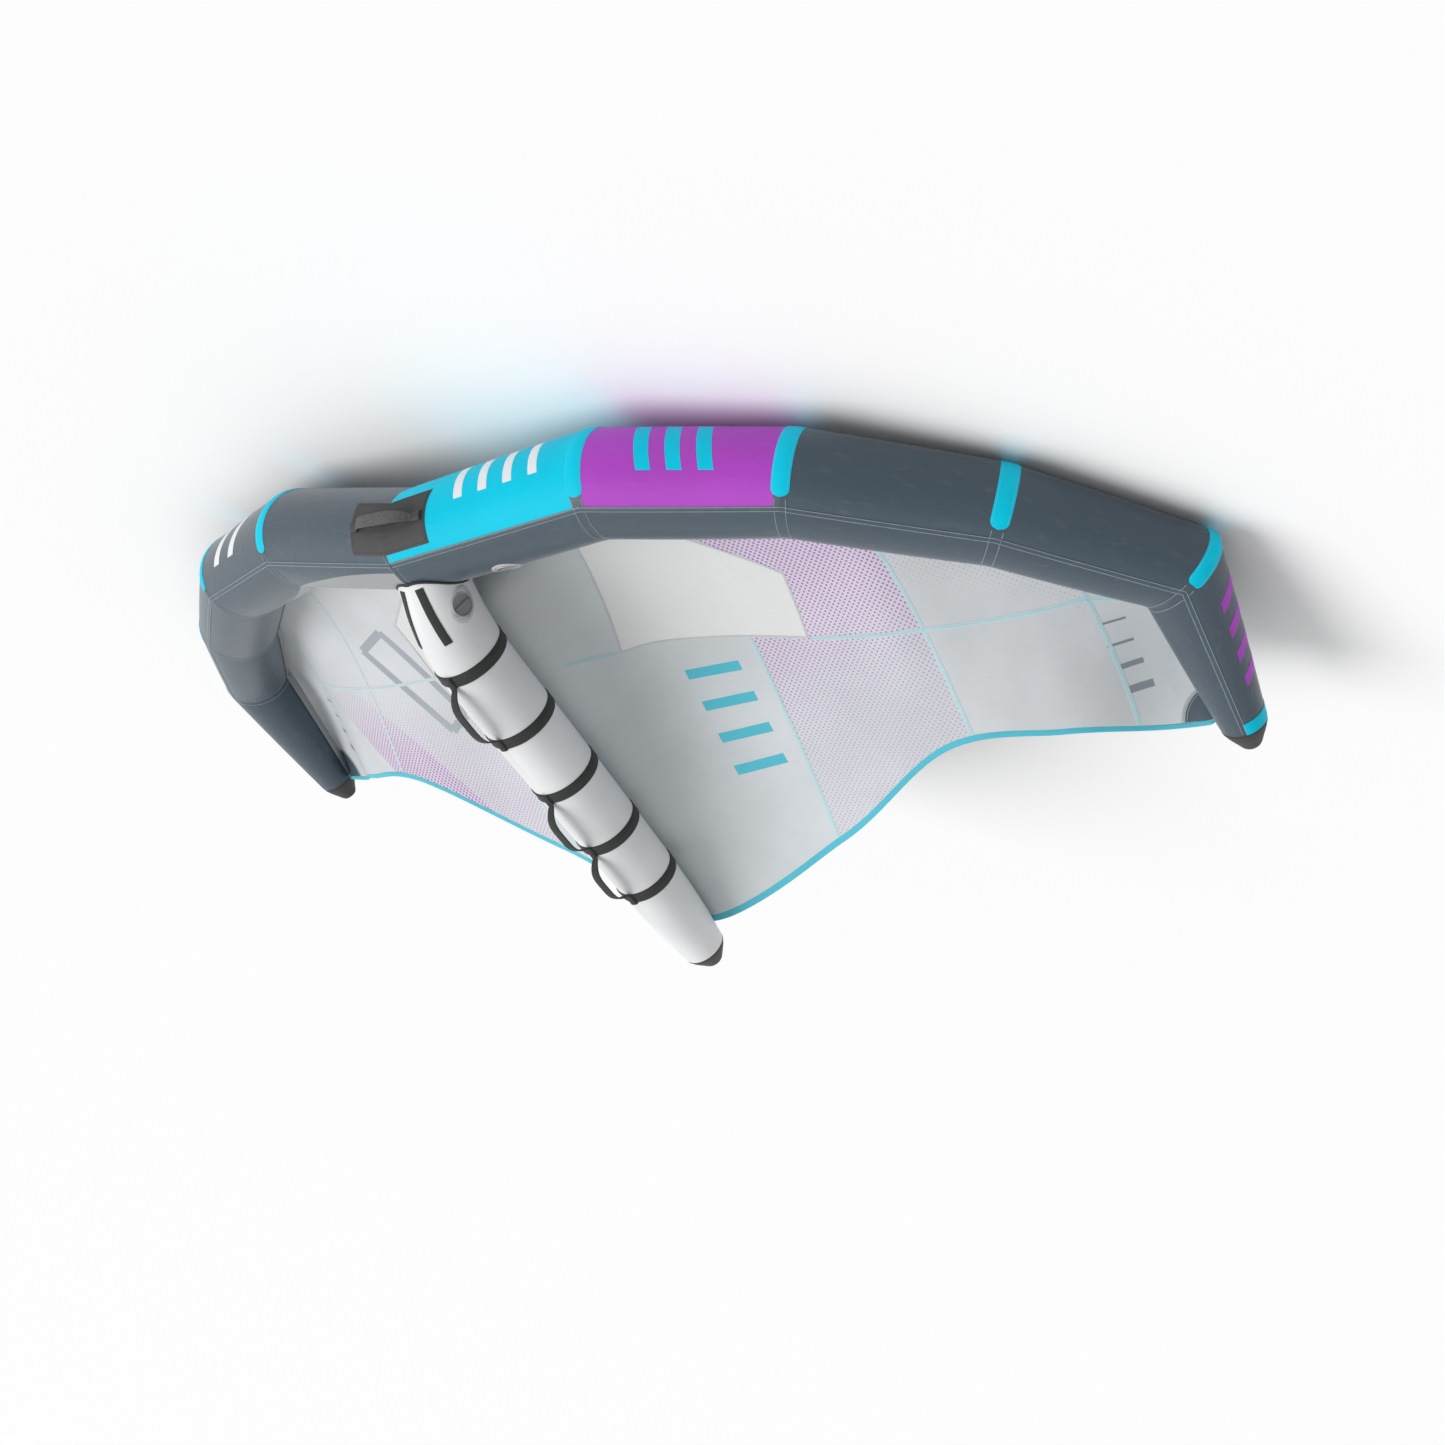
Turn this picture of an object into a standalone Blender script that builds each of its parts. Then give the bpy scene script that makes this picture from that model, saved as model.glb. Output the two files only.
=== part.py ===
"""Wing for wing foiling: an inflated leading edge and a centre strut that spread a canopy.

The wing is modelled in its flying attitude: X across the span, Y from the nose to the trailing
edge, Z up, with the strut's axis at zero. An empty then lays it on its back, handles up, resting
on the outer lengths of the leading edge, as riders park it on a beach. All lengths are metres.
"""
import math

import bmesh
import bpy
from mathutils import Matrix, Vector

# General clearances and walls
SEAT_GAP = 0.0003
CUT_OVERRUN = 0.012
SLEEVE_WALL = 0.001
BLADDER_WALL = 0.0008
BLADDER_END_GAP = 0.004

# Leading edge: seam rings from the nose to the tip corner, then one straight length to the tip end
HALF_SPAN = 1.454
SWEEP_BACK = 0.603
TIP_RISE = 0.319
NOSE_HEIGHT = 0.093
NOSE_RADIUS = 0.110
TIP_LENGTH = 0.394
TIP_TOE_IN_SHARE = 0.046
TIP_DROP_SHARE = 0.086
RING_ACROSS_SHARES = (0.0, 0.329, 0.601, 0.825, 1.0)
RING_BACK_SHARES = (0.0, 0.005, 0.204, 0.566, 1.0)
RING_RISE_SHARES = (0.0, 0.276, 0.458, 0.737, 1.0)
RING_RADIUS_SHARES = (1.0, 1.03, 0.99, 0.925, 0.81, 0.445)
EDGE_SIDES = 24
BLADDER_SIDES = 12
PANEL_COUNT = 5

# Cyan covers over the seam rings and the tape round each tip end
COVER_WIDTH = 0.036
COVER_THICKNESS = 0.0008
COVER_START_DEGREES = -32.0
COVER_END_DEGREES = 155.0
TIP_TAPE_WIDTH = 0.030
TIP_TAPE_START_DEGREES = 15.0
TIP_TAPE_END_DEGREES = 165.0

# Strut: its front end rises into the nose, the rest is straight and tapers to the tail
ROOT_CHORD = 1.240
STRUT_TAIL_REACH = 0.035
STRUT_LENGTH = ROOT_CHORD + STRUT_TAIL_REACH
STRUT_RADIUS = 0.0855
STRUT_FRONT_DROP = 0.015
STRUT_FRONT_RISE = NOSE_HEIGHT - STRUT_FRONT_DROP
NOSE_TUBE_PLACE_SHARES = (-0.6, -0.3, 0.0, 0.3, 0.6)
STRUT_PLACE_SHARES = (0.0, 0.045, 0.09, 0.15, 0.22, 0.47, 0.79, 0.92, 1.0)
STRUT_ROW_SHARES = (0.0, 0.045, 0.09, 0.12, 0.15, 0.22, 0.47, 0.775, 0.85, 0.92, 0.96, 1.0)
STRUT_RISE_SHARES = (1.0, 0.72, 0.42, 0.14, 0.0, 0.0, 0.0, 0.0, 0.0)
STRUT_RADIUS_SHARES = (0.90, 0.94, 0.97, 0.99, 1.0, 0.955, 0.868, 0.76, 0.63)
STRUT_SIDES = 24

# Canopy: front seam on the back of the leading edge, trailing edge by ring stations
TRAIL_ACROSS_SHARES = (0.0, 0.316, 0.578, 0.757, 0.873, 0.950)
TRAIL_BACK_SHARES = (1.0, 0.875, 0.696, 0.714, 0.782, 0.800)
TRAIL_RISE_SHARES = (-0.025, 0.254, 0.414, 0.574, 0.824, 0.915)
CANOPY_SEAM_DEGREES = -40.0
CANOPY_THICKNESS = 0.0012
CAMBER_SHARE = 0.075
CAMBER_SKEW_SHARE = 0.75
KEEL_WIDTH = 0.130
KEEL_START_SHARE = 0.12
TAPE_WIDTH = 0.012
TAPE_THICKNESS = 0.0024
SEAM_FRONT_PLACES = (0.0, 1.02, 2.07, 3.22, 5.0)
SEAM_BACK_PLACES = (0.0, 0.97, 2.24, 3.74, 5.0)
PANEL_NAMES = ("centre", "dotted", "outer", "tip")
PANEL_STEPS_ACROSS = (8, 6, 6, 6)
PANEL_STEPS_BACK = 10
CORNER_RADIUS = 0.068
CORNER_SIDES = 32

# Window across the centre and dotted panels: corners as shares of half span and root chord
WINDOW_ACROSS_SHARES = (0.155, 0.244, 0.430, 0.413, 0.107)
WINDOW_BACK_SHARES = (0.113, 0.153, 0.331, 0.468, 0.400)

# Webbing bands round the strut and the three handles between them
BAND_PLACE_SHARES = (0.2063, 0.3616, 0.5067, 0.6518, 0.7882)
BAND_WIDTH = 0.029
BAND_THICKNESS = 0.0025
BAND_END_DEGREES = 150.0
BAND_STEPS = 20
HANDLE_SPANS = (("front", 0, 1), ("middle", 2, 3), ("rear", 3, 4))
HANDLE_AXIS_LIFT = 0.0072
HANDLE_RISE = 0.034
HANDLE_WIDTH = 0.025
HANDLE_END_WIDTH = 0.016
HANDLE_THICKNESS = 0.003
HANDLE_STEPS = 14
HANDLE_FLATNESS = 4
HANDLE_LEAD = 0.004
BAND_FOLD_OVERHANG = 0.0005
ANCHOR_LENGTH = 0.020
ANCHOR_WIDTH = 0.019
ANCHOR_HEIGHT = 0.0085
ANCHOR_BEVEL = 0.0015

# Nose patch, its handle, and the two strips on the strut's front
PATCH_HALF_WIDTH = 0.117
PATCH_START_DEGREES = 94.0
PATCH_END_DEGREES = 156.0
PATCH_WAIST_SHARE = 0.02
PATCH_COLUMN_SHARES = (-1.0, -0.5, 0.0, 0.5, 1.0)
PATCH_THICKNESS = 0.0015
NOSE_HANDLE_DEGREES = 125.0
NOSE_HANDLE_HALF_LENGTH = 0.086
NOSE_HANDLE_RISE = 0.026
NOSE_HANDLE_WIDTH = 0.028
STRIP_WIDTH = 0.021
STRIP_THICKNESS = 0.0012
STRIP_FRONT = 0.055
STRIP_BACK = 0.177
STRIP_FRONT_DEGREES = 20.0
STRIP_BACK_DEGREES = 32.0

# Inflation valves: hard base, quarter-turn insert, plug with a grip bar, soft flange ring
VALVE_FLANGE_RADIUS = 0.035
VALVE_FLANGE_THICKNESS = 0.0015
VALVE_FLANGE_SPARE = 0.005
VALVE_FLANGE_REACH = VALVE_FLANGE_RADIUS + VALVE_FLANGE_SPARE
VALVE_FLANGE_LIFTS = (2 * SEAT_GAP + VALVE_FLANGE_THICKNESS, 2 * SEAT_GAP)
VALVE_BASE_RADIUS = 0.0275
VALVE_BASE_DEPTH = 0.015
VALVE_BASE_TOP = 0.0015
VALVE_PLUG_RADIUS = 0.0237
VALVE_PLUG_SEAT = 0.0050
VALVE_PLUG_TOP = 0.0005
VALVE_PLUG_DISH = 0.0015
VALVE_PLUG_RIM = 0.0022
VALVE_INSERT_RADIUS = 0.0200
VALVE_INSERT_SEAT = 0.0120
VALVE_LEDGE = 0.0030
VALVE_SPIGOT_RADIUS = 0.0100
VALVE_SPIGOT_LENGTH = 0.0045
VALVE_BAR_LENGTH = 0.040
VALVE_BAR_WIDTH = 0.0050
VALVE_BAR_HEIGHT = 0.0040
VALVE_SIDES = 28
STRUT_VALVE_PLACE = 0.128
STRUT_VALVE_DEGREES = 77.0
EDGE_VALVE_PLACE_SHARE = 0.47
EDGE_VALVE_DEGREES = -132.0

# Moulded caps on the tips and the strut's tail
TIP_CAP_LENGTH = 0.062
TAIL_CAP_LENGTH = 0.055
CAP_SPIGOT_LENGTH = 0.015
CAP_SIDES = 24
CAP_PROFILE_SHARES = ((1.0, 0.0), (0.97, 0.12), (0.80, 0.45), (0.58, 0.74), (0.34, 0.93), (0.0, 1.0))

# Rings on which the parked wing rests, its steepest pitch, and the edges that are shaded sharp
REST_RINGS = (3, 4)
REST_TRIALS = 40
REST_STEEPEST_DEGREES = 45.0
SHARP_DEGREES = 35.0

# Colours from the photograph
SLATE = (0.075, 0.105, 0.140)
CYAN = (0.0, 0.60, 0.85)
PURPLE = (0.42, 0.06, 0.54)
BLACK = (0.018, 0.020, 0.020)
PATCH_GREY = (0.065, 0.065, 0.065)
STRUT_WHITE = (0.72, 0.73, 0.74)
CANOPY_GREY = (0.58, 0.62, 0.64)
WINDOW_GREY = (0.70, 0.72, 0.70)
VALVE_GREY = (0.34, 0.35, 0.36)
BLADDER_CLEAR = (0.80, 0.82, 0.80)
PANEL_COLOURS = {
    "right": (CYAN, PURPLE, SLATE, SLATE, SLATE),
    "left": (SLATE, SLATE, SLATE, SLATE, SLATE),
}
SIDES = {"right": 1.0, "left": -1.0}


def clear_scene():
    """Remove whatever the open file holds."""
    for old in list(bpy.data.objects):
        bpy.data.objects.remove(old, do_unlink=True)


clear_scene()
WING = bpy.data.collections.new("wingfoil_wing")
CUTTERS = bpy.data.collections.new("cutters")
bpy.context.scene.collection.children.link(WING)
bpy.context.scene.collection.children.link(CUTTERS)
REST = bpy.data.objects.new("rest_pose", None)
WING.objects.link(REST)


# Making objects
def paint(obj, colour, roughness, metallic=0.0):
    """Give an object its own Principled material."""
    material = bpy.data.materials.new(obj.name)
    material.use_nodes = True
    shader = material.node_tree.nodes["Principled BSDF"]
    shader.inputs["Base Color"].default_value = (*colour, 1.0)
    shader.inputs["Roughness"].default_value = roughness
    shader.inputs["Metallic"].default_value = metallic
    material.diffuse_color = (*colour, 1.0)
    obj.data.materials.append(material)


def make_piece(name, shape, colour, roughness=0.6, place=None):
    """Turn a bmesh, modelled in the flying frame, into a named piece with its origin at place."""
    origin = place or Vector((0.0, 0.0, 0.0))
    bmesh.ops.translate(shape, verts=shape.verts, vec=-origin)
    mesh = bpy.data.meshes.new(name)
    shape.to_mesh(mesh)
    shape.free()
    mesh.shade_smooth()
    mesh.set_sharp_from_angle(angle=math.radians(SHARP_DEGREES))
    obj = bpy.data.objects.new(name, mesh)
    obj.location = origin
    obj.parent = REST
    WING.objects.link(obj)
    paint(obj, colour, roughness)
    return obj


def make_cutter(name, shape):
    """Turn a bmesh into a hidden cutter."""
    mesh = bpy.data.meshes.new(name)
    shape.to_mesh(mesh)
    shape.free()
    obj = bpy.data.objects.new(name, mesh)
    obj.parent = REST
    obj.hide_render = True
    obj.display_type = "WIRE"
    CUTTERS.objects.link(obj)
    return obj


def cut(obj, cutter, operation="DIFFERENCE"):
    """Add an exact Boolean to a piece."""
    modifier = obj.modifiers.new(operation.lower() + "_" + cutter.name, "BOOLEAN")
    modifier.operation = operation
    modifier.solver = "EXACT"
    modifier.object = cutter


def thicken(obj, thickness):
    """Turn an open sheet into a solid one, half its thickness each way."""
    modifier = obj.modifiers.new("thickness", "SOLIDIFY")
    modifier.thickness = thickness
    modifier.offset = 0.0
    modifier.use_even_offset = True


def mirrored(point, side):
    """Point on the right or left wing."""
    return Vector((side * point.x, point.y, point.z))


def shell_between(outer, inner, closed):
    """Closed mesh between two grids of points, whose rows run along the piece."""
    shell = bmesh.new()
    skins = [[[shell.verts.new(point) for point in row] for row in grid] for grid in (outer, inner)]
    rows = len(outer)
    columns = len(outer[0])
    steps = columns if closed else columns - 1
    for skin in skins:
        for row in range(rows - 1):
            for column in range(steps):
                after = (column + 1) % columns
                shell.faces.new((skin[row][column], skin[row][after],
                                 skin[row + 1][after], skin[row + 1][column]))
    for row in (0, rows - 1):
        for column in range(steps):
            after = (column + 1) % columns
            shell.faces.new((skins[0][row][column], skins[0][row][after],
                             skins[1][row][after], skins[1][row][column]))
    if not closed:
        for column in (0, columns - 1):
            for row in range(rows - 1):
                shell.faces.new((skins[0][row][column], skins[0][row + 1][column],
                                 skins[1][row + 1][column], skins[1][row][column]))
    bmesh.ops.recalc_face_normals(shell, faces=shell.faces)
    return shell


def solid_through(rings):
    """Closed mesh through rings of points, with a flat face on each end."""
    solid = bmesh.new()
    loops = [[solid.verts.new(point) for point in ring] for ring in rings]
    columns = len(rings[0])
    for front, back in zip(loops, loops[1:]):
        for column in range(columns):
            after = (column + 1) % columns
            solid.faces.new((front[column], front[after], back[after], back[column]))
    solid.faces.new(loops[0])
    solid.faces.new(loops[-1])
    bmesh.ops.recalc_face_normals(solid, faces=solid.faces)
    return solid


def turned(name, profile, segments, matrix, colour, roughness=0.5):
    """Solid of revolution about its own Z, from (radius, height) points, placed by a matrix."""
    outline = bmesh.new()
    corners = [outline.verts.new((radius, 0.0, height)) for radius, height in profile]
    closed = profile[0][0] > 0.0
    pairs = list(zip(corners, corners[1:]))
    if closed:
        pairs.append((corners[-1], corners[0]))
    for start, end in pairs:
        outline.edges.new((start, end))
    mesh = bpy.data.meshes.new(name)
    outline.to_mesh(mesh)
    outline.free()
    obj = bpy.data.objects.new(name, mesh)
    obj.matrix_local = matrix
    obj.parent = REST
    WING.objects.link(obj)
    screw = obj.modifiers.new("turn", "SCREW")
    screw.steps = segments
    screw.render_steps = segments
    screw.use_merge_vertices = True
    screw.merge_threshold = SEAT_GAP / 10
    screw.use_smooth_shade = False
    paint(obj, colour, roughness)
    return obj


# Leading edge geometry
def ring_centres():
    """Centres of the seam rings on the right, from the nose to the tip end."""
    centres = []
    for across, back, rise in zip(RING_ACROSS_SHARES, RING_BACK_SHARES, RING_RISE_SHARES):
        centres.append(Vector((HALF_SPAN * across, SWEEP_BACK * back, NOSE_HEIGHT + TIP_RISE * rise)))
    along_tip = Vector((-TIP_TOE_IN_SHARE, 1.0, -TIP_DROP_SHARE))
    centres.append(centres[-1] + TIP_LENGTH * along_tip)
    return centres


CENTRES = ring_centres()
DIRECTIONS = [(end - start).normalized() for start, end in zip(CENTRES, CENTRES[1:])]
LENGTHS = [(end - start).length for start, end in zip(CENTRES, CENTRES[1:])]
RADII = [NOSE_RADIUS * share for share in RING_RADIUS_SHARES]


def edge_frames():
    """Up and outward vectors of each length, carried round the seam rings without twist."""
    up = Vector((0.0, 0.0, 1.0))
    outward = Vector((0.0, -1.0, 0.0))
    before = Vector((1.0, 0.0, 0.0))
    frames = []
    for direction in DIRECTIONS:
        turn = before.rotation_difference(direction)
        up = turn @ up
        outward = turn @ outward
        frames.append((up.copy(), outward.copy()))
        before = direction
    return frames


FRAMES = edge_frames()


def seam_normal(ring):
    """Normal of the plane in which two lengths meet."""
    if ring == 0:
        return Vector((1.0, 0.0, 0.0))
    if ring == len(DIRECTIONS):
        return DIRECTIONS[-1]
    return (DIRECTIONS[ring - 1] + DIRECTIONS[ring]).normalized()


def seam_point(length_index, ring, degrees, lift):
    """Point of a length's surface in one of its two seam planes."""
    up, outward = FRAMES[length_index]
    angle = math.radians(degrees)
    radial = (RADII[ring] + lift) * (math.cos(angle) * up + math.sin(angle) * outward)
    normal = seam_normal(ring)
    slide = -radial.dot(normal) / DIRECTIONS[length_index].dot(normal)
    return CENTRES[ring] + radial + slide * DIRECTIONS[length_index]


def edge_point(place, degrees, lift=0.0):
    """Point of the leading edge: place counts rings from the nose and is negative on the left.

    The angle runs from the top (0) over the front (90) to the underside (180).
    """
    side = math.copysign(1.0, place)
    index = min(int(abs(place)), len(DIRECTIONS) - 1)
    share = abs(place) - index
    start = seam_point(index, index, degrees, lift)
    end = seam_point(index, index + 1, degrees, lift)
    return mirrored(start.lerp(end, share), side)


def edge_ring(place, lift, sides=EDGE_SIDES):
    """Ring of points round the leading edge."""
    return [edge_point(place, 360.0 * step / sides, lift) for step in range(sides)]


def place_step(ring, distance):
    """Distance along a length, as a part of that length."""
    return distance / LENGTHS[ring]


def spread(start, end, steps):
    """Evenly spaced values from start to end."""
    return [start + (end - start) * step / steps for step in range(steps + 1)]


def make_edge_panel(side_name, index):
    """One sleeve panel of the leading edge, open at both ends."""
    side = SIDES[side_name]
    half_gap = place_step(index, SEAT_GAP / 2)
    places = (index + half_gap, index + 1 - half_gap)
    outer = [[mirrored(p, side) for p in edge_ring(place, 0.0)] for place in places]
    inner = [[mirrored(p, side) for p in edge_ring(place, -SLEEVE_WALL)] for place in places]
    shell = shell_between(outer, inner, closed=True)
    name = f"edge_panel_{side_name}_{index + 1}"
    return make_piece(name, shell, PANEL_COLOURS[side_name][index], 0.55)


def girth_angles(start_degrees, end_degrees):
    """Angles from start to end that bend a skin where the sleeve under it bends."""
    step = 360.0 / EDGE_SIDES
    first = math.floor(start_degrees / step) + 1
    last = math.ceil(end_degrees / step)
    return [start_degrees] + [step * number for number in range(first, last)] + [end_degrees]


def arc_band(side, places, start_degrees, end_degrees):
    """Thin band that lies on part of the leading edge's girth."""
    angles = girth_angles(start_degrees, end_degrees)
    skins = []
    for lift in (SEAT_GAP + COVER_THICKNESS, SEAT_GAP):
        skins.append([[mirrored(edge_point(place, angle, lift), side) for angle in angles]
                      for place in places])
    return shell_between(skins[0], skins[1], closed=False)


def make_seam_covers():
    """Cyan covers over the four seam rings of each wing, and the tapes round the tip ends."""
    tip_start = PANEL_COUNT - place_step(PANEL_COUNT - 1, TIP_TAPE_WIDTH)
    tip_end = PANEL_COUNT - place_step(PANEL_COUNT - 1, SEAT_GAP)
    for side_name, side in SIDES.items():
        for ring in range(1, PANEL_COUNT):
            before = ring - place_step(ring - 1, COVER_WIDTH / 2)
            after = ring + place_step(ring, COVER_WIDTH / 2)
            cover = arc_band(side, (before, ring, after), COVER_START_DEGREES, COVER_END_DEGREES)
            make_piece(f"seam_cover_{side_name}_{ring}", cover, CYAN, 0.5)
        tape = arc_band(side, (tip_start, tip_end), TIP_TAPE_START_DEGREES, TIP_TAPE_END_DEGREES)
        make_piece(f"tip_tape_{side_name}", tape, CYAN, 0.5)


# Strut geometry
def between_stations(places, values, place, level_start=True):
    """Smooth curve through stations; it starts level, or straight towards the second station."""
    last = len(places) - 1
    index = 0
    while index < last - 1 and place > places[index + 1]:
        index += 1
    width = places[index + 1] - places[index]
    share = min(max((place - places[index]) / width, 0.0), 1.0)

    def slope(station):
        if station == 0 and level_start:
            return 0.0
        before = max(station - 1, 0)
        after = min(station + 1, last)
        return (values[after] - values[before]) / (places[after] - places[before])

    square = share * share
    cube = square * share
    return ((2 * cube - 3 * square + 1) * values[index]
            + (cube - 2 * square + share) * width * slope(index)
            + (3 * square - 2 * cube) * values[index + 1]
            + (cube - square) * width * slope(index + 1))


def strut_row(share):
    """Height of the strut's axis and its radius, on the smooth curves through its stations."""
    rise = STRUT_FRONT_RISE * between_stations(STRUT_PLACE_SHARES, STRUT_RISE_SHARES, share)
    radius = STRUT_RADIUS * between_stations(STRUT_PLACE_SHARES, STRUT_RADIUS_SHARES, share)
    return Vector((rise, radius))


def strut_section(y):
    """Height and radius at a place behind the nose, straight between the sleeve's rows."""
    share = min(max(y / STRUT_LENGTH, 0.0), 1.0)
    index = 0
    while index < len(STRUT_ROW_SHARES) - 2 and share > STRUT_ROW_SHARES[index + 1]:
        index += 1
    start, end = STRUT_ROW_SHARES[index:index + 2]
    return strut_row(start).lerp(strut_row(end), (share - start) / (end - start))


def strut_rows(start, end):
    """Places from start to end, with the sleeve's rows between them."""
    rows = [STRUT_LENGTH * share for share in STRUT_ROW_SHARES]
    return [start] + [row for row in rows if start + SLEEVE_WALL < row < end - SLEEVE_WALL] + [end]


def strut_point(y, degrees, lift=0.0):
    """Point of the strut's surface; the angle runs from straight down (0) towards the right (90)."""
    rise, radius = strut_section(y)
    angle = math.radians(degrees)
    reach = radius + lift
    return Vector((reach * math.sin(angle), y, rise - reach * math.cos(angle)))


def strut_ring(y, lift, sides=STRUT_SIDES):
    """Ring of points round the strut."""
    return [strut_point(y, 360.0 * step / sides, lift) for step in range(sides)]


def strut_top(y):
    """Height of the strut's upper side."""
    rise, radius = strut_section(y)
    return rise + radius


# Canopy geometry
def trailing_edge(place):
    """Point of the right trailing edge, level with a place on the leading edge."""
    stations = range(PANEL_COUNT + 1)
    across = HALF_SPAN * between_stations(stations, TRAIL_ACROSS_SHARES, place, level_start=False)
    back = ROOT_CHORD * between_stations(stations, TRAIL_BACK_SHARES, place)
    rise = TIP_RISE * between_stations(stations, TRAIL_RISE_SHARES, place)
    return Vector((across, back, NOSE_HEIGHT + rise))


def cambered(place, share):
    """Point of the canopy before the strut draws it down."""
    front = edge_point(place, CANOPY_SEAM_DEGREES, SEAT_GAP + CANOPY_THICKNESS / 2)
    back = trailing_edge(place)
    point = front.lerp(back, share)
    point.z += CAMBER_SHARE * (back - front).length * math.sin(math.pi * share ** CAMBER_SKEW_SHARE)
    return point


def canopy_point(place, share):
    """Point of the right canopy: share runs from the front seam (0) to the trailing edge (1)."""
    point = cambered(place, share)
    middle = cambered(0.0, share)
    seat = strut_top(middle.y) + SEAT_GAP + TAPE_THICKNESS / 2
    start = min(share / KEEL_START_SHARE, 1.0)
    start = start * start * (3 - 2 * start)
    point.z -= start * (middle.z - seat) * math.exp(-(point.x / KEEL_WIDTH) ** 2)
    return point


def canopy_sheet(name, side, seams, steps_across, colour, roughness=0.45):
    """Solid fabric sheet between two seams, each given by its front and back place."""
    sheet = bmesh.new()
    bmesh.ops.create_grid(sheet, x_segments=steps_across, y_segments=PANEL_STEPS_BACK, size=0.5)
    for vertex in sheet.verts:
        share = vertex.co.y + 0.5
        near, far = [front + (back - front) * share for front, back in seams]
        place = near + (far - near) * (vertex.co.x + 0.5)
        vertex.co = mirrored(canopy_point(place, share), side)
    obj = make_piece(name, sheet, colour, roughness)
    thicken(obj, CANOPY_THICKNESS)
    return obj


def prism(name, outline):
    """Upright cutter through the canopy with the given outline."""
    block = bmesh.new()
    foot = [block.verts.new((x, y, -TIP_RISE)) for x, y in outline]
    face = block.faces.new(foot)
    raised = bmesh.ops.extrude_face_region(block, geom=[face])["geom"]
    corners = [item for item in raised if isinstance(item, bmesh.types.BMVert)]
    bmesh.ops.translate(block, verts=corners, vec=(0.0, 0.0, NOSE_HEIGHT + 3 * TIP_RISE))
    bmesh.ops.recalc_face_normals(block, faces=block.faces)
    return make_cutter(name, block)


def inset(outline, distance):
    """Outline drawn in by a distance, about its middle."""
    centre_x = sum(x for x, _ in outline) / len(outline)
    centre_y = sum(y for _, y in outline) / len(outline)
    shrunk = []
    for x, y in outline:
        reach = math.hypot(x - centre_x, y - centre_y)
        factor = 1.0 - distance / reach
        shrunk.append((centre_x + factor * (x - centre_x), centre_y + factor * (y - centre_y)))
    return shrunk


def disc_outline(centre, radius):
    """Points of a circle seen from above."""
    points = []
    for step in range(CORNER_SIDES):
        angle = 2 * math.pi * step / CORNER_SIDES
        points.append((centre.x + radius * math.cos(angle), centre.y + radius * math.sin(angle)))
    return points


def make_canopy(side_name):
    """Panels, window, corner reinforcement and trailing-edge tape of one wing."""
    side = SIDES[side_name]
    half_gap = SEAT_GAP / 2 / min(LENGTHS)
    starts = [(front + half_gap, back + half_gap)
              for front, back in zip(SEAM_FRONT_PLACES, SEAM_BACK_PLACES)]
    starts[0] = (place_step(0, CANOPY_THICKNESS / 2 + SEAT_GAP),) * 2
    ends = [(front - half_gap, back - half_gap)
            for front, back in zip(SEAM_FRONT_PLACES[1:], SEAM_BACK_PLACES[1:])]
    panels = {}
    for name, steps, start, end in zip(PANEL_NAMES, PANEL_STEPS_ACROSS, starts, ends):
        panels[name] = canopy_sheet(f"canopy_{name}_{side_name}", side, (start, end), steps, CANOPY_GREY)

    window_outline = [(side * HALF_SPAN * across, ROOT_CHORD * back)
                      for across, back in zip(WINDOW_ACROSS_SHARES, WINDOW_BACK_SHARES)]
    window = canopy_sheet(f"window_{side_name}", side, (starts[0], ends[1]), sum(PANEL_STEPS_ACROSS[:2]),
                          WINDOW_GREY, 0.2)
    hole = prism(f"window_hole_{side_name}", window_outline)
    cut(panels["centre"], hole)
    cut(panels["dotted"], hole)
    cut(window, prism(f"window_outline_{side_name}", inset(window_outline, 2 * SEAT_GAP)), "INTERSECT")

    corner = mirrored(trailing_edge(PANEL_COUNT), side)
    patch = canopy_sheet(f"tip_corner_{side_name}", side, (starts[3], ends[3]), PANEL_STEPS_ACROSS[3], SLATE)
    cut(panels["tip"], prism(f"corner_hole_{side_name}", disc_outline(corner, CORNER_RADIUS)))
    cut(patch, prism(f"corner_outline_{side_name}", disc_outline(corner, CORNER_RADIUS - SEAT_GAP)),
        "INTERSECT")

    last_row = 1.0 - 1.0 / PANEL_STEPS_BACK
    edges = []
    for steps, start, end in zip(PANEL_STEPS_ACROSS, starts, ends):
        before = [front + (back - front) * last_row for front, back in (start, end)]
        for place, place_before in zip(spread(start[1], end[1], steps), spread(*before, steps)):
            edge = canopy_point(place, 1.0)
            edges.append((edge, (edge - canopy_point(place_before, last_row)).normalized()))
    strip = bmesh.new()
    bmesh.ops.create_grid(strip, x_segments=len(edges) - 1, y_segments=1, size=0.5)
    for vertex in strip.verts:
        edge, backwards = edges[round((vertex.co.x + 0.5) * (len(edges) - 1))]
        reach = 2 * SEAT_GAP + TAPE_WIDTH * (vertex.co.y + 0.5)
        vertex.co = mirrored(edge + reach * backwards, side)
    tape = make_piece(f"trailing_tape_{side_name}", strip, CYAN, 0.5)
    thicken(tape, TAPE_THICKNESS)


# Valves
def valve_matrix(origin, outward, along):
    """Frame with Z out of the tube and Y along it."""
    z_axis = outward.normalized()
    x_axis = along.cross(z_axis).normalized()
    y_axis = z_axis.cross(x_axis)
    return Matrix.Translation(origin) @ Matrix((x_axis, y_axis, z_axis)).transposed().to_4x4()


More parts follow.
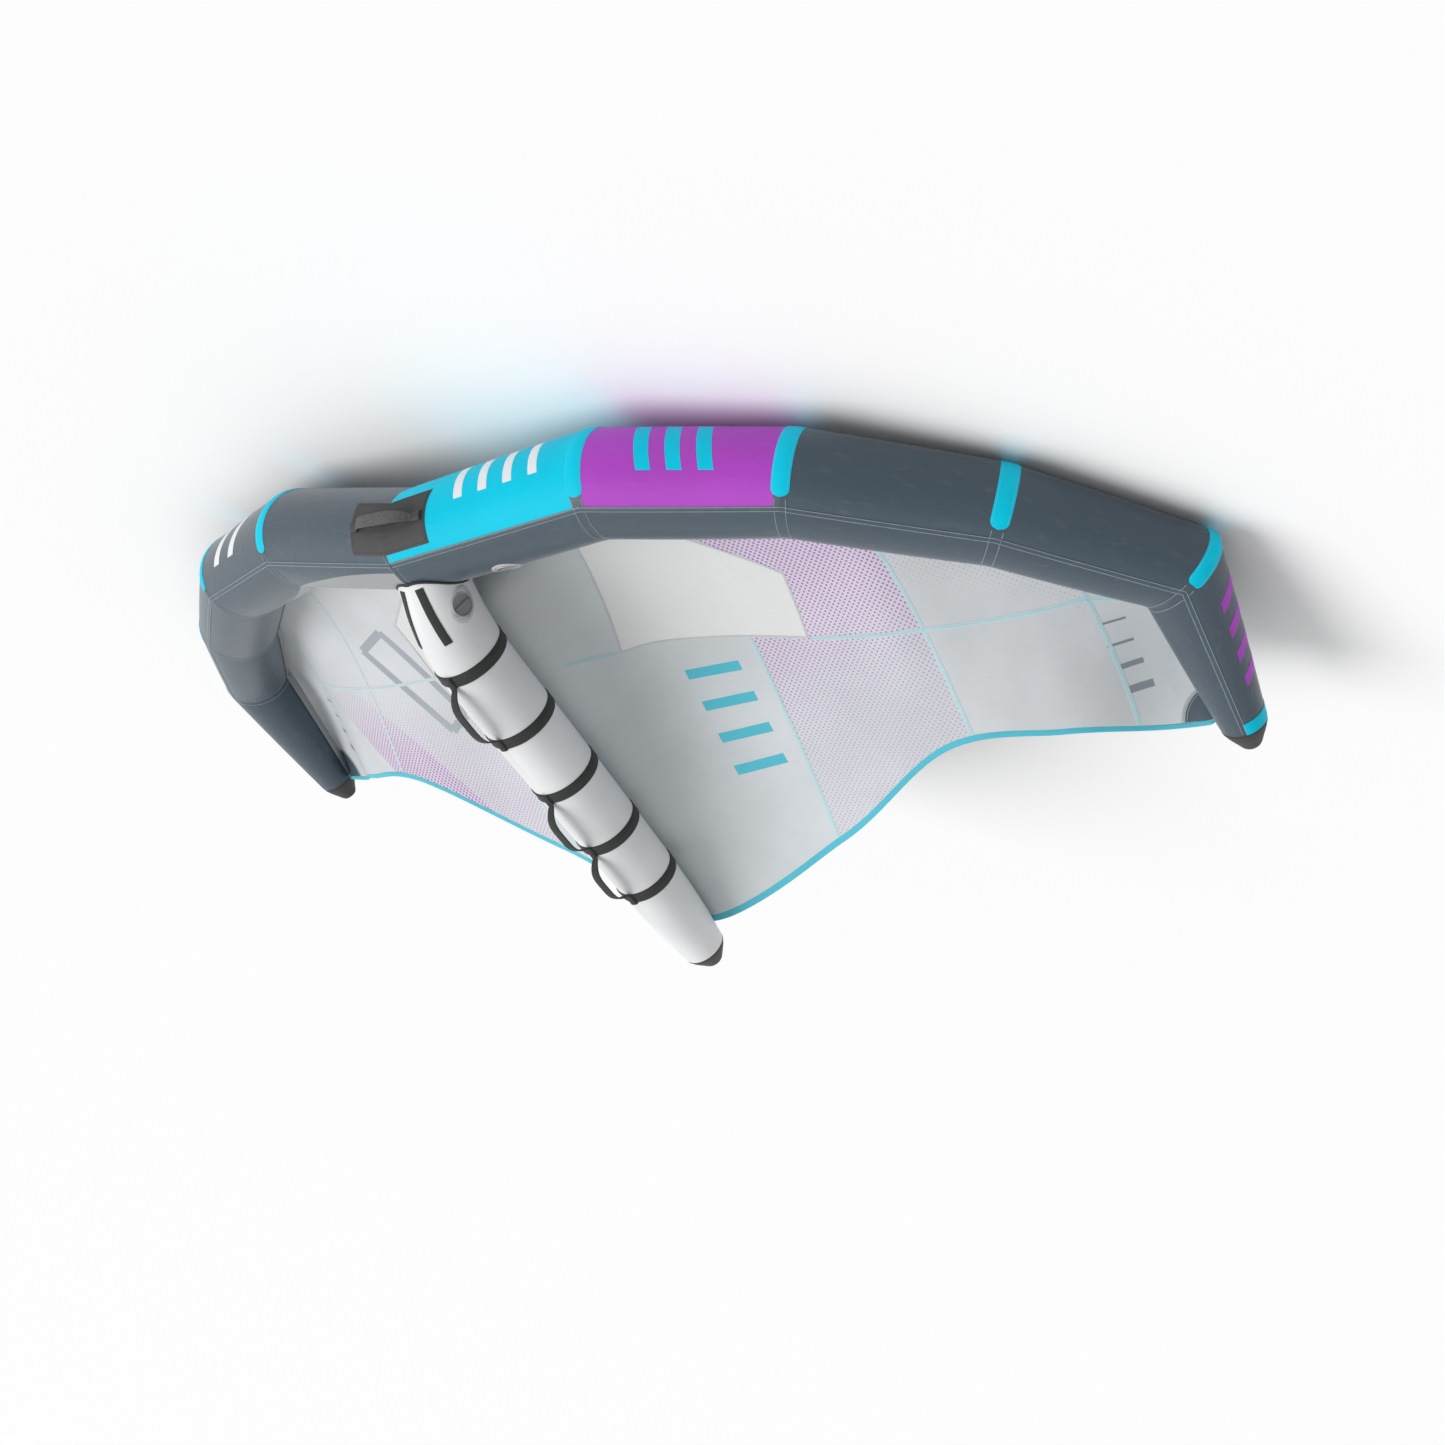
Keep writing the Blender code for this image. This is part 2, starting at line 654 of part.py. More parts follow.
def make_valve(name, matrix, flange_skins):
    """Base, insert, plug and soft flange ring; returns the cutter for the sleeve and bladder."""
    base_profile = (
        (VALVE_BASE_RADIUS, VALVE_BASE_TOP),
        (VALVE_BASE_RADIUS, -VALVE_BASE_DEPTH),
        (VALVE_INSERT_RADIUS - VALVE_LEDGE, -VALVE_BASE_DEPTH),
        (VALVE_INSERT_RADIUS - VALVE_LEDGE, -VALVE_INSERT_SEAT),
        (VALVE_INSERT_RADIUS + SEAT_GAP, -VALVE_INSERT_SEAT),
        (VALVE_INSERT_RADIUS + SEAT_GAP, -VALVE_PLUG_SEAT),
        (VALVE_PLUG_RADIUS + SEAT_GAP, -VALVE_PLUG_SEAT),
        (VALVE_PLUG_RADIUS + SEAT_GAP, VALVE_BASE_TOP),
    )
    turned(f"{name}_base", base_profile, VALVE_SIDES, matrix, VALVE_GREY)

    socket_depth = VALVE_PLUG_SEAT + VALVE_SPIGOT_LENGTH + SEAT_GAP
    insert_profile = (
        (0.0, -socket_depth),
        (VALVE_SPIGOT_RADIUS + SEAT_GAP, -socket_depth),
        (VALVE_SPIGOT_RADIUS + SEAT_GAP, -VALVE_PLUG_SEAT),
        (VALVE_INSERT_RADIUS, -VALVE_PLUG_SEAT),
        (VALVE_INSERT_RADIUS, -VALVE_INSERT_SEAT + SEAT_GAP),
        (0.0, -VALVE_INSERT_SEAT + SEAT_GAP),
    )
    turned(f"{name}_insert", insert_profile, VALVE_SIDES, matrix, BLACK)

    plug_floor = -VALVE_PLUG_SEAT + SEAT_GAP
    plug_profile = (
        (0.0, -VALVE_PLUG_TOP - VALVE_PLUG_DISH),
        (VALVE_PLUG_RADIUS - VALVE_PLUG_RIM, -VALVE_PLUG_TOP - VALVE_PLUG_DISH),
        (VALVE_PLUG_RADIUS - VALVE_PLUG_RIM, -VALVE_PLUG_TOP),
        (VALVE_PLUG_RADIUS, -VALVE_PLUG_TOP),
        (VALVE_PLUG_RADIUS, plug_floor),
        (VALVE_SPIGOT_RADIUS, plug_floor),
        (VALVE_SPIGOT_RADIUS, plug_floor - VALVE_SPIGOT_LENGTH),
        (0.0, plug_floor - VALVE_SPIGOT_LENGTH),
    )
    plug = turned(f"{name}_plug", plug_profile, VALVE_SIDES, matrix, VALVE_GREY)
    bar = bmesh.new()
    bar_depth = VALVE_BAR_HEIGHT + VALVE_PLUG_DISH
    bar_middle = (VALVE_BAR_HEIGHT - VALVE_PLUG_DISH) / 2 - VALVE_PLUG_TOP - SEAT_GAP
    bmesh.ops.create_cube(bar, size=1.0)
    bmesh.ops.scale(bar, vec=(VALVE_BAR_WIDTH, VALVE_BAR_LENGTH, bar_depth), verts=bar.verts)
    bmesh.ops.translate(bar, vec=(0.0, 0.0, bar_middle), verts=bar.verts)
    grip = make_cutter(f"{name}_grip_bar", bar)
    grip.matrix_local = matrix
    cut(plug, grip, "UNION")

    flange = make_piece(f"{name}_flange", shell_between(*flange_skins, closed=False), STRUT_WHITE, 0.5)
    cut(flange, valve_cylinder(f"{name}_flange_rim", matrix, VALVE_FLANGE_RADIUS), "INTERSECT")
    hole = valve_cylinder(f"{name}_hole", matrix, VALVE_BASE_RADIUS + SEAT_GAP)
    cut(flange, hole)
    return hole


def valve_cylinder(name, matrix, radius):
    """Round cutter through the tube's wall at a valve."""
    drum = bmesh.new()
    depth = 2 * VALVE_FLANGE_RADIUS
    bmesh.ops.create_cone(drum, cap_ends=True, segments=VALVE_SIDES, radius1=radius, radius2=radius,
                          depth=depth)
    cutter = make_cutter(name, drum)
    cutter.matrix_local = matrix
    return cutter


# Caps
def make_cap(name, matrix, radius, length, bore):
    """Moulded end cap with a spigot that plugs the tube."""
    spigot = bore - SEAT_GAP
    profile = [(0.0, -CAP_SPIGOT_LENGTH), (spigot, -CAP_SPIGOT_LENGTH), (spigot, SEAT_GAP)]
    for radius_share, length_share in CAP_PROFILE_SHARES:
        profile.append((radius * radius_share, SEAT_GAP + length * length_share))
    profile.reverse()
    return turned(name, profile, CAP_SIDES, matrix, BLACK, 0.6)


# Webbing
def ribbon(name, path, across, widths, thickness, place, colour=BLACK):
    """Flat strap along a path, with its width across a given direction."""
    strap = bmesh.new()
    rows = []
    for point, width in zip(path, widths):
        rows.append([strap.verts.new(point + across * width / 2 * end) for end in (-1.0, 1.0)])
    for front, back in zip(rows, rows[1:]):
        strap.faces.new((front[0], front[1], back[1], back[0]))
    obj = make_piece(name, strap, colour, 0.8, place)
    thicken(obj, thickness)
    return obj


def handle_path(start, end, outward, rise):
    """Flattened arch with level ends, and the share of its height along it."""
    lead = (end - start).normalized() * HANDLE_LEAD
    path = [start]
    lifts = [0.0]
    for share in spread(0.0, 1.0, HANDLE_STEPS):
        eased = 0.5 - 0.5 * math.cos(math.pi * share)
        lift = 1.0 - abs(2 * eased - 1.0) ** HANDLE_FLATNESS
        path.append((start + lead).lerp(end - lead, eased) + outward * rise * lift)
        lifts.append(lift)
    path.append(end)
    lifts.append(0.0)
    return path, lifts


def make_strut_handles():
    """Three webbing handles under the strut, each with its hinge line through its sewn ends."""
    down = Vector((0.0, 0.0, -1.0))
    across = Vector((1.0, 0.0, 0.0))
    for name, front_band, back_band in HANDLE_SPANS:
        fold_end = BAND_WIDTH / 2 + BAND_FOLD_OVERHANG + SEAT_GAP
        start_y = STRUT_LENGTH * BAND_PLACE_SHARES[front_band] + fold_end
        end_y = STRUT_LENGTH * BAND_PLACE_SHARES[back_band] - fold_end
        start = strut_point(start_y, 0.0, HANDLE_AXIS_LIFT)
        end = strut_point(end_y, 0.0, HANDLE_AXIS_LIFT)
        path, lifts = handle_path(start, end, down, HANDLE_RISE)
        widths = [HANDLE_END_WIDTH + (HANDLE_WIDTH - HANDLE_END_WIDTH) * lift for lift in lifts]
        ribbon(f"strut_handle_{name}", path, across, widths, HANDLE_THICKNESS, (start + end) / 2)


def box_at(centre, sizes, rotation):
    """Bevelled block, as vertices of a bmesh."""
    block = bmesh.new()
    bmesh.ops.create_cube(block, size=1.0)
    bmesh.ops.scale(block, vec=sizes, verts=block.verts)
    bmesh.ops.bevel(block, geom=list(block.edges), offset=ANCHOR_BEVEL, segments=1, affect="EDGES")
    bmesh.ops.transform(block, matrix=Matrix.Translation(centre) @ rotation.to_4x4(), verts=block.verts)
    return block


def make_bands():
    """Five webbing bands round the strut, each with the sewn fold that holds the handle ends."""
    for number, share in enumerate(BAND_PLACE_SHARES, start=1):
        place = STRUT_LENGTH * share
        angles = spread(-BAND_END_DEGREES, BAND_END_DEGREES, BAND_STEPS)
        skins = []
        for lift in (SEAT_GAP + BAND_THICKNESS, SEAT_GAP):
            skins.append([[strut_point(y, angle, lift) for angle in angles]
                          for y in (place - BAND_WIDTH / 2, place + BAND_WIDTH / 2)])
        strap = shell_between(skins[0], skins[1], closed=False)
        band = make_piece(f"strut_band_{number}", strap, BLACK, 0.8)
        foot = strut_point(place, 0.0, BAND_THICKNESS + (ANCHOR_HEIGHT - ANCHOR_BEVEL) / 2)
        fold_length = BAND_WIDTH + 2 * BAND_FOLD_OVERHANG
        fold = box_at(foot, (ANCHOR_WIDTH, fold_length, ANCHOR_HEIGHT), Matrix.Identity(3))
        cut(band, make_cutter(f"sewn_fold_{number}", fold), "UNION")


def make_nose():
    """Reinforcement patch on the nose, its webbing handle and the sewn folds at the handle's ends."""
    angles = girth_angles(PATCH_START_DEGREES, PATCH_END_DEGREES)
    skins = []
    for lift in (SEAT_GAP + PATCH_THICKNESS, SEAT_GAP):
        rows = []
        for column in PATCH_COLUMN_SHARES:
            row = []
            for angle in angles:
                share = (angle - PATCH_START_DEGREES) / (PATCH_END_DEGREES - PATCH_START_DEGREES)
                waist = 1.0 - PATCH_WAIST_SHARE * math.sin(math.pi * share)
                row.append(edge_point(place_step(0, PATCH_HALF_WIDTH) * column * waist, angle, lift))
            rows.append(row)
        skins.append(rows)
    patch = make_piece("nose_patch", shell_between(skins[0], skins[1], closed=False), PATCH_GREY, 0.7)

    angle = math.radians(NOSE_HANDLE_DEGREES)
    outward = Vector((0.0, -math.sin(angle), math.cos(angle)))
    across = Vector((0.0, math.cos(angle), math.sin(angle)))
    lift = SEAT_GAP + PATCH_THICKNESS + HANDLE_AXIS_LIFT
    end_place = place_step(0, NOSE_HANDLE_HALF_LENGTH)
    start = edge_point(-end_place, NOSE_HANDLE_DEGREES, lift)
    end = edge_point(end_place, NOSE_HANDLE_DEGREES, lift)
    path, lifts = handle_path(start, end, outward, NOSE_HANDLE_RISE)
    widths = [HANDLE_END_WIDTH + (NOSE_HANDLE_WIDTH - HANDLE_END_WIDTH) * lift for lift in lifts]
    ribbon("nose_handle", path, across, widths, HANDLE_THICKNESS, (start + end) / 2, PATCH_GREY)

    for side_name, side in SIDES.items():
        fold_lift = PATCH_THICKNESS + (ANCHOR_HEIGHT - ANCHOR_BEVEL) / 2
        place = side * place_step(0, NOSE_HANDLE_HALF_LENGTH + ANCHOR_LENGTH / 2 + SEAT_GAP)
        centre = edge_point(place, NOSE_HANDLE_DEGREES, fold_lift)
        normal = (centre - edge_point(place, NOSE_HANDLE_DEGREES, 0.0)).normalized()
        y_axis = normal.cross(Vector((side, 0.0, 0.0))).normalized()
        x_axis = y_axis.cross(normal).normalized()
        rotation = Matrix((x_axis, y_axis, normal)).transposed()
        fold = box_at(centre, (ANCHOR_LENGTH, ANCHOR_WIDTH, ANCHOR_HEIGHT), rotation)
        cut(patch, make_cutter(f"nose_fold_{side_name}", fold), "UNION")


def make_strips():
    """Two webbing strips that tie the strut's front to the nose."""
    for side_name, side in SIDES.items():
        rows = strut_rows(STRIP_FRONT, STRIP_BACK)
        skins = []
        for lift in (2 * SEAT_GAP + STRIP_THICKNESS, 2 * SEAT_GAP):
            grid = []
            for y in rows:
                share = (y - STRIP_FRONT) / (STRIP_BACK - STRIP_FRONT)
                middle = STRIP_FRONT_DEGREES + (STRIP_BACK_DEGREES - STRIP_FRONT_DEGREES) * share
                half = math.degrees(STRIP_WIDTH / 2 / STRUT_RADIUS)
                angles = spread(middle - half, middle + half, 2)
                grid.append([strut_point(y, side * angle, lift) for angle in angles])
            skins.append(grid)
        make_piece(f"strut_strip_{side_name}", shell_between(skins[0], skins[1], closed=False), BLACK, 0.8)


def make_tubes():
    """Sleeves and bladders of the leading edge and the strut, cut for their valves."""
    for side_name in SIDES:
        for index in range(PANEL_COUNT):
            make_edge_panel(side_name, index)
    make_seam_covers()

    sleeve_rows = strut_rows(0.0, STRUT_LENGTH)
    outer = [strut_ring(y, 0.0) for y in sleeve_rows]
    inner = [strut_ring(y, -SLEEVE_WALL) for y in sleeve_rows]
    sleeve = make_piece("strut_sleeve", shell_between(outer, inner, closed=True), STRUT_WHITE, 0.55)
    nose_rings = [edge_ring(place, SEAT_GAP) for place in NOSE_TUBE_PLACE_SHARES]
    cut(sleeve, make_cutter("nose_tube", solid_through(nose_rings)))

    bladder_lift = -SLEEVE_WALL - SEAT_GAP
    bladder_front = NOSE_RADIUS + 2 * CUT_OVERRUN
    bladder_back = STRUT_LENGTH - CAP_SPIGOT_LENGTH - BLADDER_END_GAP
    bladder_rows = strut_rows(bladder_front, bladder_back)
    skin = solid_through([strut_ring(y, bladder_lift, BLADDER_SIDES) for y in bladder_rows])
    strut_bladder = make_piece("strut_bladder", skin, BLADDER_CLEAR, 0.3)
    hollow_rows = list(bladder_rows)
    hollow_rows[0] += BLADDER_WALL
    hollow_rows[-1] -= BLADDER_WALL
    air = solid_through([strut_ring(y, bladder_lift - BLADDER_WALL, BLADDER_SIDES) for y in hollow_rows])
    cut(strut_bladder, make_cutter("strut_air", air))

    end_place = PANEL_COUNT - place_step(PANEL_COUNT - 1, CAP_SPIGOT_LENGTH + BLADDER_END_GAP)
    places = [-end_place] + [float(ring) for ring in range(-PANEL_COUNT + 1, PANEL_COUNT)] + [end_place]
    skin = solid_through([edge_ring(place, bladder_lift, BLADDER_SIDES) for place in places])
    edge_bladder = make_piece("edge_bladder", skin, BLADDER_CLEAR, 0.3)
    shorter = place_step(PANEL_COUNT - 1, BLADDER_WALL)
    air_places = [places[0] + shorter] + places[1:-1] + [places[-1] - shorter]
    air_lift = bladder_lift - BLADDER_WALL
    air = solid_through([edge_ring(place, air_lift, BLADDER_SIDES) for place in air_places])
    cut(edge_bladder, make_cutter("edge_air", air))

    surface = strut_point(STRUT_VALVE_PLACE, STRUT_VALVE_DEGREES)
    ahead = strut_point(STRUT_VALVE_PLACE - VALVE_FLANGE_RADIUS, STRUT_VALVE_DEGREES)
    behind = strut_point(STRUT_VALVE_PLACE + VALVE_FLANGE_RADIUS, STRUT_VALVE_DEGREES)
    along = (behind - ahead).normalized()
    rise, radius = strut_section(STRUT_VALVE_PLACE)
    outward = surface - Vector((0.0, STRUT_VALVE_PLACE, rise))
    outward -= outward.dot(along) * along
    flange_rows = strut_rows(STRUT_VALVE_PLACE - VALVE_FLANGE_REACH, STRUT_VALVE_PLACE + VALVE_FLANGE_REACH)
    turn = math.degrees(VALVE_FLANGE_REACH / radius)
    flange_angles = girth_angles(STRUT_VALVE_DEGREES - turn, STRUT_VALVE_DEGREES + turn)
    flange_skins = [[[strut_point(y, angle, lift) for angle in flange_angles] for y in flange_rows]
                    for lift in VALVE_FLANGE_LIFTS]
    strut_hole = make_valve("strut_valve", valve_matrix(surface, outward, along), flange_skins)
    cut(sleeve, strut_hole)
    cut(strut_bladder, strut_hole)

    surface = edge_point(EDGE_VALVE_PLACE_SHARE, EDGE_VALVE_DEGREES)
    axis = CENTRES[0].lerp(CENTRES[1], EDGE_VALVE_PLACE_SHARE)
    outward = surface - axis
    outward -= outward.dot(DIRECTIONS[0]) * DIRECTIONS[0]
    step = place_step(0, VALVE_FLANGE_REACH)
    turn = math.degrees(VALVE_FLANGE_REACH / outward.length)
    flange_angles = girth_angles(EDGE_VALVE_DEGREES - turn, EDGE_VALVE_DEGREES + turn)
    flange_skins = [[[edge_point(place, angle, lift) for angle in flange_angles]
                     for place in (EDGE_VALVE_PLACE_SHARE - step, EDGE_VALVE_PLACE_SHARE + step)]
                    for lift in VALVE_FLANGE_LIFTS]
    edge_hole = make_valve("edge_valve", valve_matrix(surface, outward, DIRECTIONS[0]), flange_skins)
    cut(WING.objects["edge_panel_right_1"], edge_hole)
    cut(edge_bladder, edge_hole)


def make_caps():
    """Caps on the two tips and the strut's tail."""
    for side_name, side in SIDES.items():
        direction = mirrored(DIRECTIONS[-1], side)
        matrix = valve_matrix(mirrored(CENTRES[-1], side), direction, Vector((0.0, 0.0, 1.0)))
        make_cap(f"tip_cap_{side_name}", matrix, RADII[-1], TIP_CAP_LENGTH,
                 (RADII[-1] - SLEEVE_WALL) * math.cos(math.pi / EDGE_SIDES))
    rise, radius = strut_section(STRUT_LENGTH)
    end = Vector((0.0, STRUT_LENGTH, rise))
    matrix = valve_matrix(end, Vector((0.0, 1.0, 0.0)), Vector((0.0, 0.0, 1.0)))
    make_cap("strut_tail_cap", matrix, radius, TAIL_CAP_LENGTH,
             (radius - SLEEVE_WALL) * math.cos(math.pi / STRUT_SIDES))


def rest_pitch():
    """Nose-down angle at which both rest rings of the upturned wing touch the ground."""
    low = 0.0
    high = math.radians(REST_STEEPEST_DEGREES)

    def support(ring, pitch):
        normal = Vector((0.0, -math.sin(pitch), math.cos(pitch)))
        return max(point.dot(normal) for point in edge_ring(float(ring), SEAT_GAP + COVER_THICKNESS))

    for _ in range(REST_TRIALS):
        middle = (low + high) / 2
        if support(REST_RINGS[0], middle) < support(REST_RINGS[1], middle):
            low = middle
        else:
            high = middle
    return (low + high) / 2


def lay_on_back():
    """Turn the wing over, pitch it to its rest angle and set it on the ground about the origin."""
    turn = Matrix.Rotation(rest_pitch(), 4, "X") @ Matrix.Rotation(math.pi, 4, "Y")
    REST.matrix_local = turn
    bpy.context.view_layer.update()
    depsgraph = bpy.context.evaluated_depsgraph_get()
    corners = []
    for obj in WING.objects:
        if obj.type == "MESH":
            evaluated = obj.evaluated_get(depsgraph)
            corners.extend(evaluated.matrix_world @ vertex.co for vertex in evaluated.data.vertices)
    low = Vector([min(corner[axis] for corner in corners) for axis in range(3)])
    high = Vector([max(corner[axis] for corner in corners) for axis in range(3)])
    middle = (low + high) / 2
    REST.matrix_local = Matrix.Translation((-middle.x, -middle.y, -low.z)) @ turn
    bpy.context.view_layer.update()


make_tubes()
make_caps()
for wing_side in SIDES:
    make_canopy(wing_side)
make_bands()
make_strut_handles()
make_nose()
make_strips()
lay_on_back()
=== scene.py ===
"""Dresses the wing for wing foiling in cloth, webbing, film and moulded plastic, in a pale studio.

Surfaces are worked out in the wing's flying frame (X across the span, Y from the nose to the trailing
edge, Z up) and then laid on their back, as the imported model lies. All lengths are metres.
"""
from __future__ import annotations

import logging
import math
from dataclasses import dataclass, field
from enum import Enum
from functools import lru_cache

import bmesh
import bpy
import numpy as np
from mathutils import Matrix, Vector

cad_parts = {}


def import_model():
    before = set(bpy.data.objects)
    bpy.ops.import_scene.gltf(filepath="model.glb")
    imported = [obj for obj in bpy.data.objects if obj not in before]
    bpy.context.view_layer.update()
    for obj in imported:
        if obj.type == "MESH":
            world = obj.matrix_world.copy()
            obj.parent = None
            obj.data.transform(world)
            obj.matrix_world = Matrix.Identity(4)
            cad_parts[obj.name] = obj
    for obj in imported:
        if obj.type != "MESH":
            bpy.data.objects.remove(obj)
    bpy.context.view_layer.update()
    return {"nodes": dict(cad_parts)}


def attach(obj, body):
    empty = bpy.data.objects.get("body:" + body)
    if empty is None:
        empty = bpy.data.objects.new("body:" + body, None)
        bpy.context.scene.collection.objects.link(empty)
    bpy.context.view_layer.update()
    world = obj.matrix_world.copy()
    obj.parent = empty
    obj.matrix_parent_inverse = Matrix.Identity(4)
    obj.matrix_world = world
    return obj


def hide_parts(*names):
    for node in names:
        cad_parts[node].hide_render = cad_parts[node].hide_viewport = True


LOG = logging.getLogger("wing")
SEAT_GAP = 0.0003
SEAT_SHARE = 0.7
SHARP_DEGREES = 40.0
TURNED_SHARP_DEGREES = 35.0
BEVEL_FROM_DEGREES = 50.0
TURNED_BEVEL = 0.0003
TINY = 1e-6
LAST_PLACE = 5.0


class Side(Enum):
    """The two wings, by the sign of X in the flying frame."""

    RIGHT = 1.0
    LEFT = -1.0

    @property
    def label(self) -> str:
        """Name of the side as the pieces use it."""
        return self.name.lower()


class Body(Enum):
    """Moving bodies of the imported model."""

    WING = "wing"
    FRONT_GRIP = "front_grip"
    MIDDLE_GRIP = "middle_grip"
    REAR_GRIP = "rear_grip"
    NOSE_GRIP = "nose_grip"
    STRUT_PLUG = "strut_valve_plug"
    EDGE_PLUG = "edge_valve_plug"


@dataclass(frozen=True)
class Attitude:
    """How the flying frame lies when the wing is parked on its back."""

    pitch_degrees: float = 15.26979
    offset: tuple[float, float, float] = (0.0, -0.58514, 0.32913)

    def matrix(self) -> Matrix:
        """Turn from the flying frame to the parked one."""
        pitch = Matrix.Rotation(math.radians(self.pitch_degrees), 4, "X")
        return Matrix.Translation(self.offset) @ pitch @ Matrix.Rotation(math.pi, 4, "Y")

    def lay(self, points: np.ndarray) -> np.ndarray:
        """Lay points of the flying frame on their back.

        Args:
            points: Array whose last axis holds X, Y and Z.

        Returns:
            The points in the parked frame.
        """
        turn = np.array(self.matrix().to_3x3())
        return points @ turn.T + np.array(self.offset)


ATTITUDE = Attitude()


# Shader building
class Nodes:
    """Short ways to place and join nodes in one node tree."""

    def __init__(self, tree: bpy.types.NodeTree) -> None:
        """Work in the given tree."""
        self.tree = tree

    def node(self, kind: str, **settings: object) -> bpy.types.Node:
        """Add a node.

        Args:
            kind: Blender's type name, without its ShaderNode prefix.
            settings: Properties to set on it.

        Returns:
            The new node.
        """
        made = self.tree.nodes.new("ShaderNode" + kind)
        for key, value in settings.items():
            setattr(made, key, value)
        return made

    def feed(self, socket: bpy.types.NodeSocket, value: object) -> None:
        """Link a socket to another, or set its value.

        Args:
            socket: Input to fill.
            value: Socket, number, vector or colour.
        """
        if isinstance(value, bpy.types.NodeSocket):
            self.tree.links.new(value, socket)
        else:
            socket.default_value = value

    def maths(self, operation: str, first: object, second: object = 0.0, clamp: bool = False) -> object:
        """Join one or two values by a maths operation.

        Args:
            operation: Blender's name of the operation.
            first: Socket or number.
            second: Socket or number.
            clamp: Whether the result is kept from zero to one.

        Returns:
            The result's socket.
        """
        made = self.node("Math", operation=operation, use_clamp=clamp)
        self.feed(made.inputs[0], first)
        self.feed(made.inputs[1], second)
        return made.outputs[0]

    def ramp(self, value: object, low: float, high: float, start: float = 0.0, end: float = 1.0) -> object:
        """Map a value smoothly from low..high to start..end.

        Args:
            value: Socket or number.
            low: Value that gives the start.
            high: Value that gives the end.
            start: Result at low.
            end: Result at high.

        Returns:
            The value's socket.
        """
        made = self.node("MapRange", interpolation_type="SMOOTHSTEP")
        for socket, item in zip(made.inputs, (value, low, high, start, end)):
            self.feed(socket, item)
        return made.outputs[0]

    def mix(self, factor: object, first: object, second: object, blend: str = "MIX") -> object:
        """Mix two colours by a factor.

        Args:
            factor: Share of the second colour.
            first: Socket or colour.
            second: Socket or colour.
            blend: Blender's name of the way to mix.

        Returns:
            The colour's socket.
        """
        made = self.node("Mix", data_type="RGBA", blend_type=blend)
        self.feed(made.inputs[0], factor)
        self.feed(made.inputs[6], first)
        self.feed(made.inputs[7], second)
        return made.outputs[2]

    def uv(self, name: str = "cloth") -> object:
        """Cloth coordinates in metres, or another map of the mesh."""
        return self.node("UVMap", uv_map=name).outputs[0]

    def split(self, vector: object) -> object:
        """X, Y and Z of a vector.

        Args:
            vector: Socket with the vector.

        Returns:
            The three values' sockets.
        """
        made = self.node("SeparateXYZ")
        self.feed(made.inputs[0], vector)
        return made.outputs

    def shaded(self, colour: object, value: object) -> object:
        """Colour made lighter or darker by a value.

        Args:
            colour: Socket or colour.
            value: Socket with the factor.

        Returns:
            The colour's socket.
        """
        grey = self.node("CombineColor")
        for channel in range(3):
            self.feed(grey.inputs[channel], value)
        return self.mix(1.0, colour, grey.outputs[0], "MULTIPLY")

    def noise(self, vector: object, scale: float, detail: float = 3.0) -> object:
        """Noise value over a vector.

        Args:
            vector: Socket with the place.
            scale: Its fineness.
            detail: Its levels of detail.

        Returns:
            The value's socket.
        """
        made = self.node("TexNoise")
        self.feed(made.inputs["Vector"], vector)
        made.inputs["Scale"].default_value = scale
        made.inputs["Detail"].default_value = detail
        return made.outputs[0]

    def seen(self) -> object:
        """One for rays of the camera, of gloss and through glass, and zero for the rest.

        Returns:
            The value's socket.
        """
        path = self.node("LightPath")
        seen = self.maths("MAXIMUM", path.outputs["Is Camera Ray"], path.outputs["Is Glossy Ray"])
        return self.maths("MAXIMUM", seen, path.outputs["Is Transmission Ray"])

    def group(self, tree: bpy.types.NodeTree, **values: object) -> bpy.types.Node:
        """Place a node group and fill its inputs by name.

        Args:
            tree: The group's tree.
            values: Sockets or numbers by input, with underscores for spaces.

        Returns:
            The group's node.
        """
        made = self.node("Group", node_tree=tree)
        for key, value in values.items():
            self.feed(made.inputs[key.replace("_", " ").capitalize()], value)
        return made


def new_group(name: str, inputs: dict[str, float | None], outputs: tuple[str, ...]) -> tuple:
    """Start a shader group with named sockets.

    Args:
        name: The group's name.
        inputs: Input names with their starting values, None for a vector.
        outputs: Names of the values that it puts out.

    Returns:
        The tree, its node helper, its input node and its output node.
    """
    tree = bpy.data.node_groups.new(name, "ShaderNodeTree")
    for key, value in inputs.items():
        kind = "NodeSocketVector" if value is None else "NodeSocketFloat"
        socket = tree.interface.new_socket(key, in_out="INPUT", socket_type=kind)
        if value is not None:
            socket.default_value = value
    for key in outputs:
        tree.interface.new_socket(key, in_out="OUTPUT", socket_type="NodeSocketFloat")
    nodes = Nodes(tree)
    return tree, nodes, nodes.tree.nodes.new("NodeGroupInput"), nodes.tree.nodes.new("NodeGroupOutput")


RIPSTOP_SHARE = 0.12
WEAVE_HEIGHT = 0.35
CREASE_STRETCH = (1.0, 2.3, 1.0)
CREASE_WIDTH = 0.05
DOT_GRID_DEGREES = 45.0
DOT_SHARPNESS = 14.0
WEBBING_MIDDLE = 0.012


